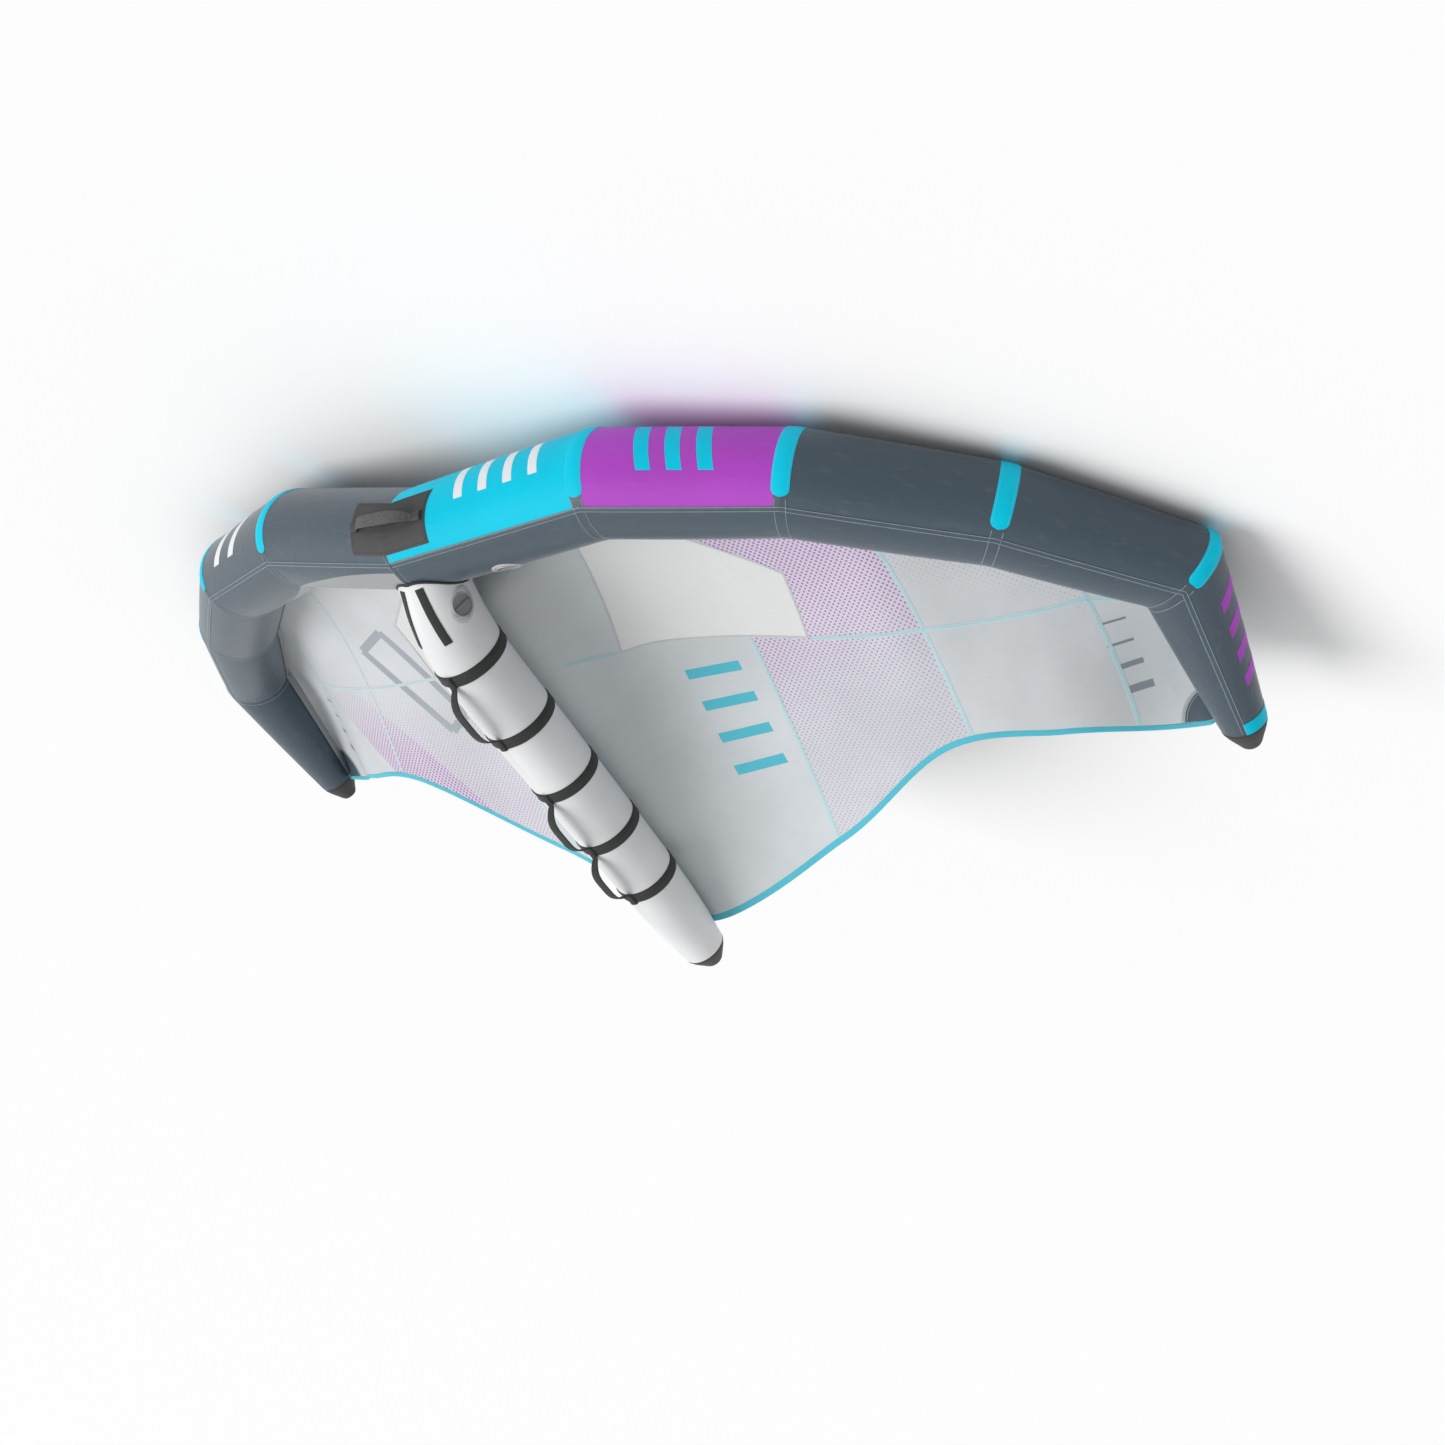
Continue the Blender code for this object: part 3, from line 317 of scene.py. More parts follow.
@lru_cache(maxsize=None)
def weave_group() -> bpy.types.NodeTree:
    """Plain weave with thicker ripstop threads: height of the threads and uneven dye.

    Returns:
        The group's tree.
    """
    inputs = {"Vector": None, "Thread": 0.0006, "Ripstop": 0.006, "Ripstop height": 0.5}
    tree, nodes, given, made = new_group("plain_weave", inputs, ("Height", "Dye"))
    threads = []
    ribs = []
    for way in nodes.split(given.outputs["Vector"])[:2]:
        turns = nodes.maths("DIVIDE", way, given.outputs["Thread"])
        threads.append(nodes.maths("SINE", nodes.maths("MULTIPLY", turns, 2 * math.pi)))
        steps = nodes.maths("FRACT", nodes.maths("DIVIDE", way, given.outputs["Ripstop"]))
        ribs.append(nodes.maths("LESS_THAN", steps, RIPSTOP_SHARE))
    plain = nodes.maths("MULTIPLY", threads[0], threads[1])
    rib = nodes.maths("MULTIPLY", nodes.maths("MAXIMUM", *ribs), given.outputs["Ripstop height"])
    nodes.feed(made.inputs["Height"], nodes.maths("ADD", nodes.maths("MULTIPLY", plain, WEAVE_HEIGHT), rib))
    cloudy = nodes.ramp(nodes.noise(given.outputs["Vector"], 3.0, 4.0), 0.3, 0.7, 0.92, 1.06)
    fine = nodes.ramp(nodes.noise(given.outputs["Vector"], 900.0, 1.0), 0.2, 0.8, 0.96, 1.04)
    nodes.feed(made.inputs["Dye"], nodes.maths("MULTIPLY", cloudy, fine))
    return tree


@lru_cache(maxsize=None)
def crease_group() -> bpy.types.NodeTree:
    """Soft creases left by packing: their height, and where the cloth has rubbed along them.

    Returns:
        The group's tree.
    """
    inputs = {"Vector": None, "Amount": 1.0}
    tree, nodes, given, made = new_group("packing_creases", inputs, ("Height", "Rub"))
    stretch = nodes.node("VectorMath", operation="MULTIPLY")
    nodes.feed(stretch.inputs[0], given.outputs["Vector"])
    stretch.inputs[1].default_value = CREASE_STRETCH
    folds = nodes.noise(stretch.outputs[0], 7.0, 2.0)
    valley = nodes.maths("ABSOLUTE", nodes.maths("SUBTRACT", folds, 0.5))
    sharp = nodes.ramp(valley, 0.0, CREASE_WIDTH, 1.0, 0.0)
    nodes.feed(made.inputs["Height"], nodes.maths("MULTIPLY", sharp, given.outputs["Amount"]))
    nodes.feed(made.inputs["Rub"], nodes.ramp(nodes.noise(stretch.outputs[0], 21.0, 5.0), 0.55, 0.8))
    return tree


@lru_cache(maxsize=None)
def halftone_group() -> bpy.types.NodeTree:
    """Grid of printed dots, turned against the cloth; the fill sets their radius.

    Returns:
        The group's tree.
    """
    inputs = {"Vector": None, "Pitch": 0.0098, "Fill": 0.3}
    tree, nodes, given, made = new_group("printed_dots", inputs, ("Mask",))
    turn = nodes.node("VectorRotate", rotation_type="Z_AXIS")
    nodes.feed(turn.inputs["Vector"], given.outputs["Vector"])
    turn.inputs["Angle"].default_value = math.radians(DOT_GRID_DEGREES)
    squares = []
    for way in nodes.split(turn.outputs[0])[:2]:
        cell = nodes.maths("FRACT", nodes.maths("DIVIDE", way, given.outputs["Pitch"]))
        squares.append(nodes.maths("POWER", nodes.maths("SUBTRACT", cell, 0.5), 2.0))
    reach = nodes.maths("SQRT", nodes.maths("ADD", *squares))
    edge = nodes.maths("SUBTRACT", given.outputs["Fill"], reach)
    nodes.feed(made.inputs["Mask"], nodes.maths("MULTIPLY", edge, DOT_SHARPNESS, clamp=True))
    return tree


@lru_cache(maxsize=None)
def webbing_group() -> bpy.types.NodeTree:
    """Woven webbing: slanting ribs that turn at the middle, with painted shade in their grooves.

    Returns:
        The group's tree.
    """
    inputs = {"Vector": None, "Rib": 0.0022}
    tree, nodes, given, made = new_group("webbing_ribs", inputs, ("Height", "Shade"))
    split = nodes.split(given.outputs["Vector"])
    slant = nodes.maths("ABSOLUTE", nodes.maths("SUBTRACT", split[1], WEBBING_MIDDLE))
    ribs = nodes.maths("DIVIDE", nodes.maths("ADD", split[0], slant), given.outputs["Rib"])
    wave = nodes.maths("SINE", nodes.maths("MULTIPLY", ribs, 2 * math.pi))
    nodes.feed(made.inputs["Height"], wave)
    worn = nodes.ramp(nodes.noise(given.outputs["Vector"], 160.0, 4.0), 0.35, 0.75, 0.85, 1.35)
    # Shade: painted shade in the grooves and a painted highlight on the rib crowns, taken from the rib
    # height, times random worn patches
    nodes.feed(made.inputs["Shade"], nodes.maths("MULTIPLY", nodes.ramp(wave, -1.0, 1.0, 0.8, 1.15), worn))
    return tree


@lru_cache(maxsize=None)
def mould_group() -> bpy.types.NodeTree:
    """Moulded surface: fine grain, and scuffs that lighten and roughen it.

    Returns:
        The group's tree.
    """
    inputs = {"Vector": None, "Grain": 1800.0}
    tree, nodes, given, made = new_group("moulded_grain", inputs, ("Height", "Scuff"))
    grain = nodes.node("TexNoise")
    nodes.feed(grain.inputs["Vector"], given.outputs["Vector"])
    nodes.feed(grain.inputs["Scale"], given.outputs["Grain"])
    nodes.feed(made.inputs["Height"], grain.outputs[0])
    marks = nodes.noise(given.outputs["Vector"], 140.0, 6.0)
    nodes.feed(made.inputs["Scuff"], nodes.ramp(marks, 0.55, 0.75))
    return tree


Colour = tuple[float, float, float]


def rgba(colour: Colour) -> tuple[float, float, float, float]:
    """Colour with full cover."""
    return (*colour, 1.0)


@dataclass(frozen=True)
class Finish:
    """A named material, made once."""

    name: str
    colour: Colour

    @lru_cache(maxsize=None)
    def material(self) -> bpy.types.Material:
        """Blender's material for this finish.

        Returns:
            The material.
        """
        material = bpy.data.materials.new(self.name)
        material.use_nodes = True
        self.dress(Nodes(material.node_tree), material.node_tree.nodes["Principled BSDF"])
        return material

    def dress(self, nodes: Nodes, shader: bpy.types.Node) -> None:
        """Fill the shader's sockets."""
        raise NotImplementedError

    @staticmethod
    def bump(nodes: Nodes, shader: bpy.types.Node, layers: list[tuple[object, float]]) -> None:
        """Chain bumps into the shader's normal.

        Args:
            nodes: Helper of the material's tree.
            shader: The Principled shader.
            layers: Height sockets, each with its depth in metres.
        """
        last = None
        for height, depth in layers:
            bump = nodes.node("Bump")
            bump.inputs["Strength"].default_value = 1.0
            bump.inputs["Distance"].default_value = depth
            nodes.feed(bump.inputs["Height"], height)
            if last is not None:
                nodes.feed(bump.inputs["Normal"], last)
            last = bump.outputs[0]
        nodes.feed(shader.inputs["Normal"], last)


@dataclass(frozen=True)
class Cloth(Finish):
    """Woven sail or sleeve cloth."""

    roughness: float = 0.5
    thread: float = 0.0007
    ripstop: float = 0.006
    ripstop_height: float = 0.3
    crease: float = 0.5
    sheen: float = 0.15
    sheen_roughness: float = 0.5
    specular: float = 0.5
    rub_colour: Colour = (0.5, 0.52, 0.54)
    rub_cover: float = 0.07
    rub_roughness: float = 0.12
    weave_depth: float = 0.00005
    crease_depth: float = 0.0004

    def base_colour(self, nodes: Nodes) -> object:
        """Colour before dye variation."""
        return rgba(self.colour)

    def dress(self, nodes: Nodes, shader: bpy.types.Node) -> None:
        """Weave, uneven dye, packing creases and light rubbing.

        Args:
            nodes: Helper of the material's tree.
            shader: The Principled shader.
        """
        weave = nodes.group(weave_group(), vector=nodes.uv(), thread=self.thread, ripstop=self.ripstop,
                            ripstop_height=self.ripstop_height)
        crease = nodes.group(crease_group(), vector=nodes.uv(), amount=self.crease)
        tinted = nodes.shaded(self.base_colour(nodes), weave.outputs["Dye"])
        rubbed = nodes.maths("MULTIPLY", crease.outputs["Rub"], self.rub_cover)
        nodes.feed(shader.inputs["Base Color"], nodes.mix(rubbed, tinted, rgba(self.rub_colour)))
        rubbed_roughness = self.roughness + self.rub_roughness
        nodes.feed(shader.inputs["Roughness"],
                   nodes.ramp(crease.outputs["Rub"], 0.0, 1.0, self.roughness, rubbed_roughness))
        shader.inputs["Sheen Weight"].default_value = self.sheen
        shader.inputs["Sheen Roughness"].default_value = self.sheen_roughness
        shader.inputs["Specular IOR Level"].default_value = self.specular
        self.bump(nodes, shader, [(weave.outputs["Height"], self.weave_depth),
                                  (crease.outputs["Height"], self.crease_depth)])


@dataclass(frozen=True)
class DottedCloth(Cloth):
    """Canopy cloth with a printed dot grid that fades from the front seam towards the back."""

    dot_colour: Colour = (0.40, 0.075, 0.46)
    back_colour: Colour = (0.34, 0.36, 0.42)
    front_fill: float = 0.36
    back_fill: float = 0.24
    fade_start: float = 0.0
    fade_end: float = 1.0
    strength: float = 0.92
    turn_start: float = 0.45
    turn_end: float = 0.85

    def base_colour(self, nodes: Nodes) -> object:
        """Dots over the plain colour, by the place along the chord.

        Args:
            nodes: Helper of the material's tree.

        Returns:
            The colour's socket.
        """
        chord = nodes.split(nodes.uv("span"))[1]
        fill = nodes.ramp(chord, self.fade_start, self.fade_end, self.front_fill, self.back_fill)
        dots = nodes.group(halftone_group(), vector=nodes.uv(), fill=fill)
        turned_grey = nodes.ramp(chord, self.turn_start, self.turn_end)
        ink = nodes.mix(turned_grey, rgba(self.dot_colour), rgba(self.back_colour))
        cover = nodes.maths("MULTIPLY", dots.outputs["Mask"], self.strength)
        return nodes.mix(cover, rgba(self.colour), ink)


@dataclass(frozen=True)
class BandedCloth(DottedCloth):
    """Canopy cloth of the left wing, with its print in a band that slants across the seams.

    Each line of the print is a place at the front seam and how far it moves outward over the chord.
    """

    inner_line: tuple[float, float] = (4.12, -2.71)
    outer_line: tuple[float, float] = (4.28, -1.93)
    inner_share: float = 0.66

    def base_colour(self, nodes: Nodes) -> object:
        """Dots that grow towards the back, larger in the band than inside it.

        Args:
            nodes: Helper of the material's tree.

        Returns:
            The colour's socket.
        """
        span, chord, _ = nodes.split(nodes.uv("span"))
        place = nodes.maths("MULTIPLY", span, LAST_PLACE)
        sides = []
        for start, move in (self.inner_line, self.outer_line):
            edge = nodes.maths("MULTIPLY_ADD", chord, move)
            edge.node.inputs[2].default_value = start
            sides.append(nodes.maths("GREATER_THAN", place, edge))
        grown = nodes.ramp(chord, self.fade_start, self.fade_end, self.front_fill, self.back_fill)
        inside = nodes.maths("MULTIPLY", grown, nodes.ramp(sides[0], 0.0, 1.0, self.inner_share, 1.0))
        fill = nodes.maths("MULTIPLY", inside, nodes.maths("SUBTRACT", 1.0, sides[1]))
        dots = nodes.group(halftone_group(), vector=nodes.uv(), fill=fill)
        cover = nodes.maths("MULTIPLY", dots.outputs["Mask"], self.strength)
        return nodes.mix(cover, rgba(self.colour), rgba(self.dot_colour))


@dataclass(frozen=True)
class Film(Finish):
    """Clear window or bladder film with a sparse thread grid."""

    alpha: float = 0.5
    roughness: float = 0.12
    grid: float = 0.012
    thread: float = 0.0005
    thread_colour: Colour = (0.9, 0.9, 0.88)
    thread_cover: float = 0.25
    thread_alpha: float = 0.05
    rub_roughness: float = 0.15
    crease_depth: float = 0.0003

    def dress(self, nodes: Nodes, shader: bpy.types.Node) -> None:
        """Threads in the film, faint clouding and soft folds.

        Args:
            nodes: Helper of the material's tree.
            shader: The Principled shader.
        """
        weave = nodes.group(weave_group(), vector=nodes.uv(), thread=self.thread, ripstop=self.grid,
                            ripstop_height=1.0)
        crease = nodes.group(crease_group(), vector=nodes.uv(), amount=1.0)
        rib = nodes.ramp(weave.outputs["Height"], 0.5, 0.9)
        cover = nodes.maths("MULTIPLY", rib, self.thread_cover)
        nodes.feed(shader.inputs["Base Color"], nodes.mix(cover, rgba(self.colour), rgba(self.thread_colour)))
        thicker = nodes.maths("MULTIPLY", rib, self.thread_alpha)
        nodes.feed(shader.inputs["Alpha"], nodes.maths("ADD", thicker, self.alpha))
        rubbed_roughness = self.roughness + self.rub_roughness
        nodes.feed(shader.inputs["Roughness"],
                   nodes.ramp(crease.outputs["Rub"], 0.0, 1.0, self.roughness, rubbed_roughness))
        self.bump(nodes, shader, [(crease.outputs["Height"], self.crease_depth)])


@dataclass(frozen=True)
class Webbing(Finish):
    """Woven strap."""

    rib: float = 0.0022
    roughness: float = 0.75
    worn_roughness: float = 0.9
    sheen: float = 0.1
    rib_depth: float = 0.0003

    def dress(self, nodes: Nodes, shader: bpy.types.Node) -> None:
        """Slanting ribs, with painted shade in their grooves, a painted highlight on their crowns and random
        worn patches.

        Args:
            nodes: Helper of the material's tree.
            shader: The Principled shader.
        """
        ribs = nodes.group(webbing_group(), vector=nodes.uv(), rib=self.rib)
        # Base colour: painted groove shade and crown highlight, with random wear
        nodes.feed(shader.inputs["Base Color"], nodes.shaded(rgba(self.colour), ribs.outputs["Shade"]))
        nodes.feed(shader.inputs["Roughness"],
                   nodes.ramp(ribs.outputs["Shade"], 0.6, 1.5, self.roughness, self.worn_roughness))
        shader.inputs["Sheen Weight"].default_value = self.sheen
        self.bump(nodes, shader, [(ribs.outputs["Height"], self.rib_depth)])


@dataclass(frozen=True)
class Moulded(Finish):
    """Moulded plastic or rubber."""

    roughness: float = 0.45
    scuff_colour: Colour = (0.6, 0.6, 0.6)
    scuff: float = 0.12
    scuff_roughness: float = 0.2
    grain_depth: float = 0.00006

    def dress(self, nodes: Nodes, shader: bpy.types.Node) -> None:
        """Fine grain with light scuffs.

        Args:
            nodes: Helper of the material's tree.
            shader: The Principled shader.
        """
        place = nodes.node("TexCoord").outputs["Object"]
        mould = nodes.group(mould_group(), vector=place)
        cover = nodes.maths("MULTIPLY", mould.outputs["Scuff"], self.scuff)
        nodes.feed(shader.inputs["Base Color"], nodes.mix(cover, rgba(self.colour), rgba(self.scuff_colour)))
        scuffed_roughness = self.roughness + self.scuff_roughness
        nodes.feed(shader.inputs["Roughness"],
                   nodes.ramp(mould.outputs["Scuff"], 0.0, 1.0, self.roughness, scuffed_roughness))
        self.bump(nodes, shader, [(mould.outputs["Height"], self.grain_depth)])


@dataclass(frozen=True)
class Thread(Finish):
    """Sewing thread."""

    roughness: float = 0.7

    def dress(self, nodes: Nodes, shader: bpy.types.Node) -> None:
        """Thread colour with small changes from stitch to stitch.

        Args:
            nodes: Helper of the material's tree.
            shader: The Principled shader.
        """
        place = nodes.node("TexCoord").outputs["Object"]
        tone = nodes.ramp(nodes.noise(place, 420.0, 2.0), 0.3, 0.7, 0.75, 1.1)
        nodes.feed(shader.inputs["Base Color"], nodes.shaded(rgba(self.colour), tone))
        shader.inputs["Roughness"].default_value = self.roughness


CANOPY_WEAVE = {"thread": 0.0005, "ripstop": 0.005, "ripstop_height": 0.5, "crease": 0.6, "sheen": 0.25,
                "sheen_roughness": 0.3}
FLAT_FILM = {"crease": 0.0, "ripstop_height": 0.0}
FLAT_TAPE = {"thread": 0.0011, **FLAT_FILM}

SLATE_CLOTH = Cloth("slate_sleeve_cloth", (0.034, 0.062, 0.088), roughness=0.40, sheen=0.34,
                    sheen_roughness=0.32)
CYAN_CLOTH = Cloth("cyan_sleeve_cloth", (0.0, 0.62, 0.84), sheen=0.0, specular=0.12,
                   rub_colour=(0.1, 0.75, 0.9))
PURPLE_CLOTH = Cloth("purple_sleeve_cloth", (0.44, 0.055, 0.56), sheen=0.05, specular=0.25,
                     rub_colour=(0.6, 0.3, 0.7))
STRUT_CLOTH = Cloth("strut_sleeve_cloth", (0.80, 0.81, 0.82), crease=0.3)
CANOPY_CLOTH = Cloth("canopy_plain_cloth", (0.58, 0.62, 0.64), **CANOPY_WEAVE)
DOTTED_CLOTH = DottedCloth("canopy_dotted_cloth", (0.60, 0.60, 0.65), **CANOPY_WEAVE)
FAINT_CLOTH = DottedCloth("canopy_faint_cloth", (0.60, 0.62, 0.645), **CANOPY_WEAVE,
                          dot_colour=(0.24, 0.21, 0.29), front_fill=0.31, back_fill=0.0, fade_end=0.72,
                          strength=0.75)
BANDED_CLOTH = BandedCloth("canopy_banded_cloth", (0.60, 0.62, 0.645), **CANOPY_WEAVE, front_fill=0.0,
                           back_fill=0.36, fade_start=0.25, fade_end=0.95)
FLAP_CLOTH = Cloth("canopy_flap_cloth", (0.31, 0.325, 0.335), crease=0.2)
BORDER_CLOTH = Cloth("window_border_cloth", (0.58, 0.60, 0.61), **FLAT_FILM)
PALE_SEAM_CLOTH = Cloth("pale_seam_cloth", (0.58, 0.68, 0.70), **FLAT_TAPE)
SEAM_CLOTH = Cloth("canopy_seam_cloth", (0.50, 0.68, 0.71), **FLAT_TAPE)
HEM_CLOTH = Cloth("cyan_hem_cloth", (0.07, 0.50, 0.62), crease=0.1, specular=0.3)
PATCH_CLOTH = Cloth("nose_patch_cloth", (0.029, 0.029, 0.031), roughness=0.65, thread=0.0012,
                    ripstop_height=0.0, sheen=0.05)
LIGHT_TAPE = Cloth("grey_corner_tape_cloth", (0.36, 0.40, 0.42), **FLAT_TAPE)
MARK_WHITE = Cloth("white_mark_film", (0.86, 0.88, 0.9), **FLAT_FILM)
MARK_GREY = Cloth("grey_mark_film", (0.20, 0.23, 0.26), **FLAT_FILM)
OUTLINE_GREY = Cloth("pale_mark_film", (0.34, 0.38, 0.41), **FLAT_FILM)
WINDOW_FILM = Film("window_film", (0.79, 0.80, 0.80), alpha=0.86, grid=0.007)
BLADDER_FILM = Film("bladder_film", (0.8, 0.82, 0.8), alpha=0.6, grid=0.1)
BLACK_WEBBING = Webbing("black_webbing", (0.02, 0.021, 0.021))
GREY_WEBBING = Webbing("grey_webbing", (0.10, 0.10, 0.10))
VALVE_PLASTIC = Moulded("grey_valve_plastic", (0.25, 0.252, 0.256))
VALVE_RING = Moulded("pale_valve_plastic", (0.40, 0.41, 0.42), roughness=0.35)
FLANGE_FILM = Moulded("grey_flange_film", (0.55, 0.56, 0.57), roughness=0.35, scuff=0.05)
DARK_PLASTIC = Moulded("dark_valve_plastic", (0.02, 0.022, 0.022))
CAP_RUBBER = Moulded("black_cap_rubber", (0.016, 0.016, 0.017), roughness=0.6, scuff=0.06)
GREY_THREAD = Thread("grey_thread", (0.50, 0.56, 0.60))
CYAN_THREAD = Thread("cyan_thread", (0.12, 0.62, 0.74))
PALE_THREAD = Thread("pale_thread", (0.42, 0.66, 0.71))
DARK_THREAD = Thread("dark_thread", (0.05, 0.052, 0.055))


# Surfaces of the wing
@dataclass
class Curve:
    """Smooth curve through stations, kept as a table."""

    places: tuple[float, ...]
    values: tuple[float, ...]
    level_start: bool = True
    samples: int = 600

    def __post_init__(self) -> None:
        """Fill the table."""
        self.grid = np.linspace(self.places[0], self.places[-1], self.samples)
        self.table = np.array([self.read(place) for place in self.grid])

    def slope(self, station: int) -> float:
        """Slope of the curve at a station.

        Args:
            station: The station's number.

        Returns:
            The slope.
        """
        if station == 0 and self.level_start:
            return 0.0
        before = max(station - 1, 0)
        after = min(station + 1, len(self.places) - 1)
        return (self.values[after] - self.values[before]) / (self.places[after] - self.places[before])

    def read(self, place: float) -> float:
        """Value at one place, by cubic steps between stations.

        Args:
            place: Where to read it.

        Returns:
            The value.
        """
        index = int(np.clip(np.searchsorted(self.places, place) - 1, 0, len(self.places) - 2))
        width = self.places[index + 1] - self.places[index]
        share = (place - self.places[index]) / width
        square = share * share
        cube = square * share
        return ((2 * cube - 3 * square + 1) * self.values[index]
                + (cube - 2 * square + share) * width * self.slope(index)
                + (3 * square - 2 * cube) * self.values[index + 1]
                + (cube - square) * width * self.slope(index + 1))

    def at(self, places: np.ndarray) -> np.ndarray:
        """Values at many places."""
        return np.interp(places, self.grid, self.table)


def unit(vectors: np.ndarray) -> np.ndarray:
    """Vectors of length one."""
    return vectors / np.linalg.norm(vectors, axis=-1, keepdims=True)


class Surface:
    """A curved surface with two running numbers, u and v, in the flying frame."""

    def point(self, u: np.ndarray, v: np.ndarray, lift: np.ndarray | float = 0.0) -> np.ndarray:
        """Points at u and v, raised off the surface by lift."""
        raise NotImplementedError

    def normal(self, u: np.ndarray, v: np.ndarray) -> np.ndarray:
        """Outward normals at u and v."""
        return unit(self.point(u, v, 0.001) - self.point(u, v, 0.0))

    def grid(self, us: np.ndarray, vs: np.ndarray, lift: np.ndarray | float = 0.0) -> np.ndarray:
        """Grid of points, with u along its rows' order and v along its columns."""
        u, v = np.meshgrid(us, vs, indexing="ij")
        return self.point(u, v, lift)


@dataclass
class EdgeTube(Surface):
    """One half of the leading edge: straight tapering lengths, mitred at the seam rings.

    u counts seam rings from the nose; v is the angle in degrees from the top over the front.
    """

    side: Side
    half_span: float = 1.454
    sweep_back: float = 0.603
    tip_rise: float = 0.319
    nose_height: float = 0.093
    nose_radius: float = 0.110
    tip_length: float = 0.394
    tip_course: tuple[float, float, float] = (-0.046, 1.0, -0.086)
    across_shares: tuple[float, ...] = (0.0, 0.329, 0.601, 0.825, 1.0)
    back_shares: tuple[float, ...] = (0.0, 0.005, 0.204, 0.566, 1.0)
    rise_shares: tuple[float, ...] = (0.0, 0.276, 0.458, 0.737, 1.0)
    radius_shares: tuple[float, ...] = (1.0, 1.03, 0.99, 0.925, 0.81, 0.445)
    bulge: float = 0.0012
    pucker: float = 0.0007
    pucker_reach: float = 0.022
    puckers_round: int = 26

    def __post_init__(self) -> None:
        """Work out ring centres, directions and carried frames."""
        centres = np.stack([
            self.half_span * np.array(self.across_shares),
            self.sweep_back * np.array(self.back_shares),
            self.nose_height + self.tip_rise * np.array(self.rise_shares),
        ], axis=1)
        tip = centres[-1] + self.tip_length * np.array(self.tip_course)
        self.centres = np.vstack([centres, tip])
        steps = np.diff(self.centres, axis=0)
        self.lengths = np.linalg.norm(steps, axis=1)
        self.directions = unit(steps)
        self.radii = self.nose_radius * np.array(self.radius_shares)
        normals = [np.array((1.0, 0.0, 0.0))]
        normals += [unit(a + b) for a, b in zip(self.directions, self.directions[1:])]
        self.normals = np.array(normals + [self.directions[-1]])
        up = Vector((0.0, 0.0, 1.0))
        outward = Vector((0.0, -1.0, 0.0))
        before = Vector((1.0, 0.0, 0.0))
        ups = []
        outs = []
        for direction in self.directions:
            turn = before.rotation_difference(Vector(direction))
            before = Vector(direction)
            up = turn @ up
            outward = turn @ outward
            ups.append(tuple(up))
            outs.append(tuple(outward))
        self.ups = np.array(ups)
        self.outs = np.array(outs)

    def seam(self, length: np.ndarray, ring: np.ndarray, degrees: np.ndarray, lift: np.ndarray) -> np.ndarray:
        """Points of a length's surface in the plane of one of its rings.

        Args:
            length: Numbers of the lengths.
            ring: Numbers of the rings.
            degrees: Angles from the top over the front.
            lift: Heights over the surface.

        Returns:
            The points, on the right.
        """
        angle = np.radians(degrees)[..., None]
        radial = np.cos(angle) * self.ups[length] + np.sin(angle) * self.outs[length]
        radial = radial * (self.radii[ring] + lift)[..., None]
        normal = self.normals[ring]
        direction = self.directions[length]
        slide = -(radial * normal).sum(-1) / (direction * normal).sum(-1)
        return self.centres[ring] + radial + slide[..., None] * direction

    def point(self, u: np.ndarray, v: np.ndarray, lift: np.ndarray | float = 0.0) -> np.ndarray:
        """Points of the sleeve, with a slight bulge between rings and puckers beside them.

        Args:
            u: Seam rings from the nose, negative on the other wing.
            v: Angles from the top over the front, in degrees.
            lift: Height over the surface.

        Returns:
            The points.
        """
        u, v = np.broadcast_arrays(np.asarray(u, float), np.asarray(v, float))
        place = np.abs(u)
        length = np.clip(np.floor(place), 0, len(self.directions) - 1).astype(int)
        share = place - length
        from_ring = np.minimum(share, 1.0 - share) * self.lengths[length]
        gathers = self.pucker * np.exp(-from_ring / self.pucker_reach) * np.sin(
            np.radians(v) * self.puckers_round + 2.0 * length)
        raised = lift + self.bulge * np.sin(np.pi * np.clip(share, 0.0, 1.0)) - np.abs(gathers)
        start = self.seam(length, length, v, raised)
        end = self.seam(length, length + 1, v, raised)
        points = start + (end - start) * share[..., None]
        sign = np.where(u < 0.0, -self.side.value, self.side.value)
        points[..., 0] *= sign
        return points

    def ring_step(self, length: int, distance: float) -> float:
        """A distance along one length, as a part of it."""
        return distance / self.lengths[length]


@dataclass
class StrutTube(Surface):
    """The centre strut: u is the distance behind the nose, v the angle from straight down to the right."""

    length: float = 1.275
    radius: float = 0.0855
    front_rise: float = 0.078
    places: tuple[float, ...] = (0.0, 0.045, 0.09, 0.15, 0.22, 0.47, 0.79, 0.92, 1.0)
    rise_shares: tuple[float, ...] = (1.0, 0.72, 0.42, 0.14, 0.0, 0.0, 0.0, 0.0, 0.0)
    radius_shares: tuple[float, ...] = (0.90, 0.94, 0.97, 0.99, 1.0, 0.955, 0.868, 0.76, 0.63)

    def __post_init__(self) -> None:
        """Tabulate the axis and the radius."""
        self.rises = Curve(self.places, self.rise_shares)
        self.radii = Curve(self.places, self.radius_shares)

    def section(self, y: np.ndarray) -> tuple[np.ndarray, np.ndarray]:
        """Height of the axis and radius behind the nose."""
        share = np.clip(y / self.length, 0.0, 1.0)
        return self.front_rise * self.rises.at(share), self.radius * self.radii.at(share)

    def point(self, u: np.ndarray, v: np.ndarray, lift: np.ndarray | float = 0.0) -> np.ndarray:
        """Points of the sleeve.

        Args:
            u: Distances behind the nose.
            v: Angles from straight down, in degrees.
            lift: Height over the surface.

        Returns:
            The points.
        """
        u, v = np.broadcast_arrays(np.asarray(u, float), np.asarray(v, float))
        rise, radius = self.section(u)
        angle = np.radians(v)
        reach = radius + lift
        return np.stack([reach * np.sin(angle), u, rise - reach * np.cos(angle)], axis=-1)


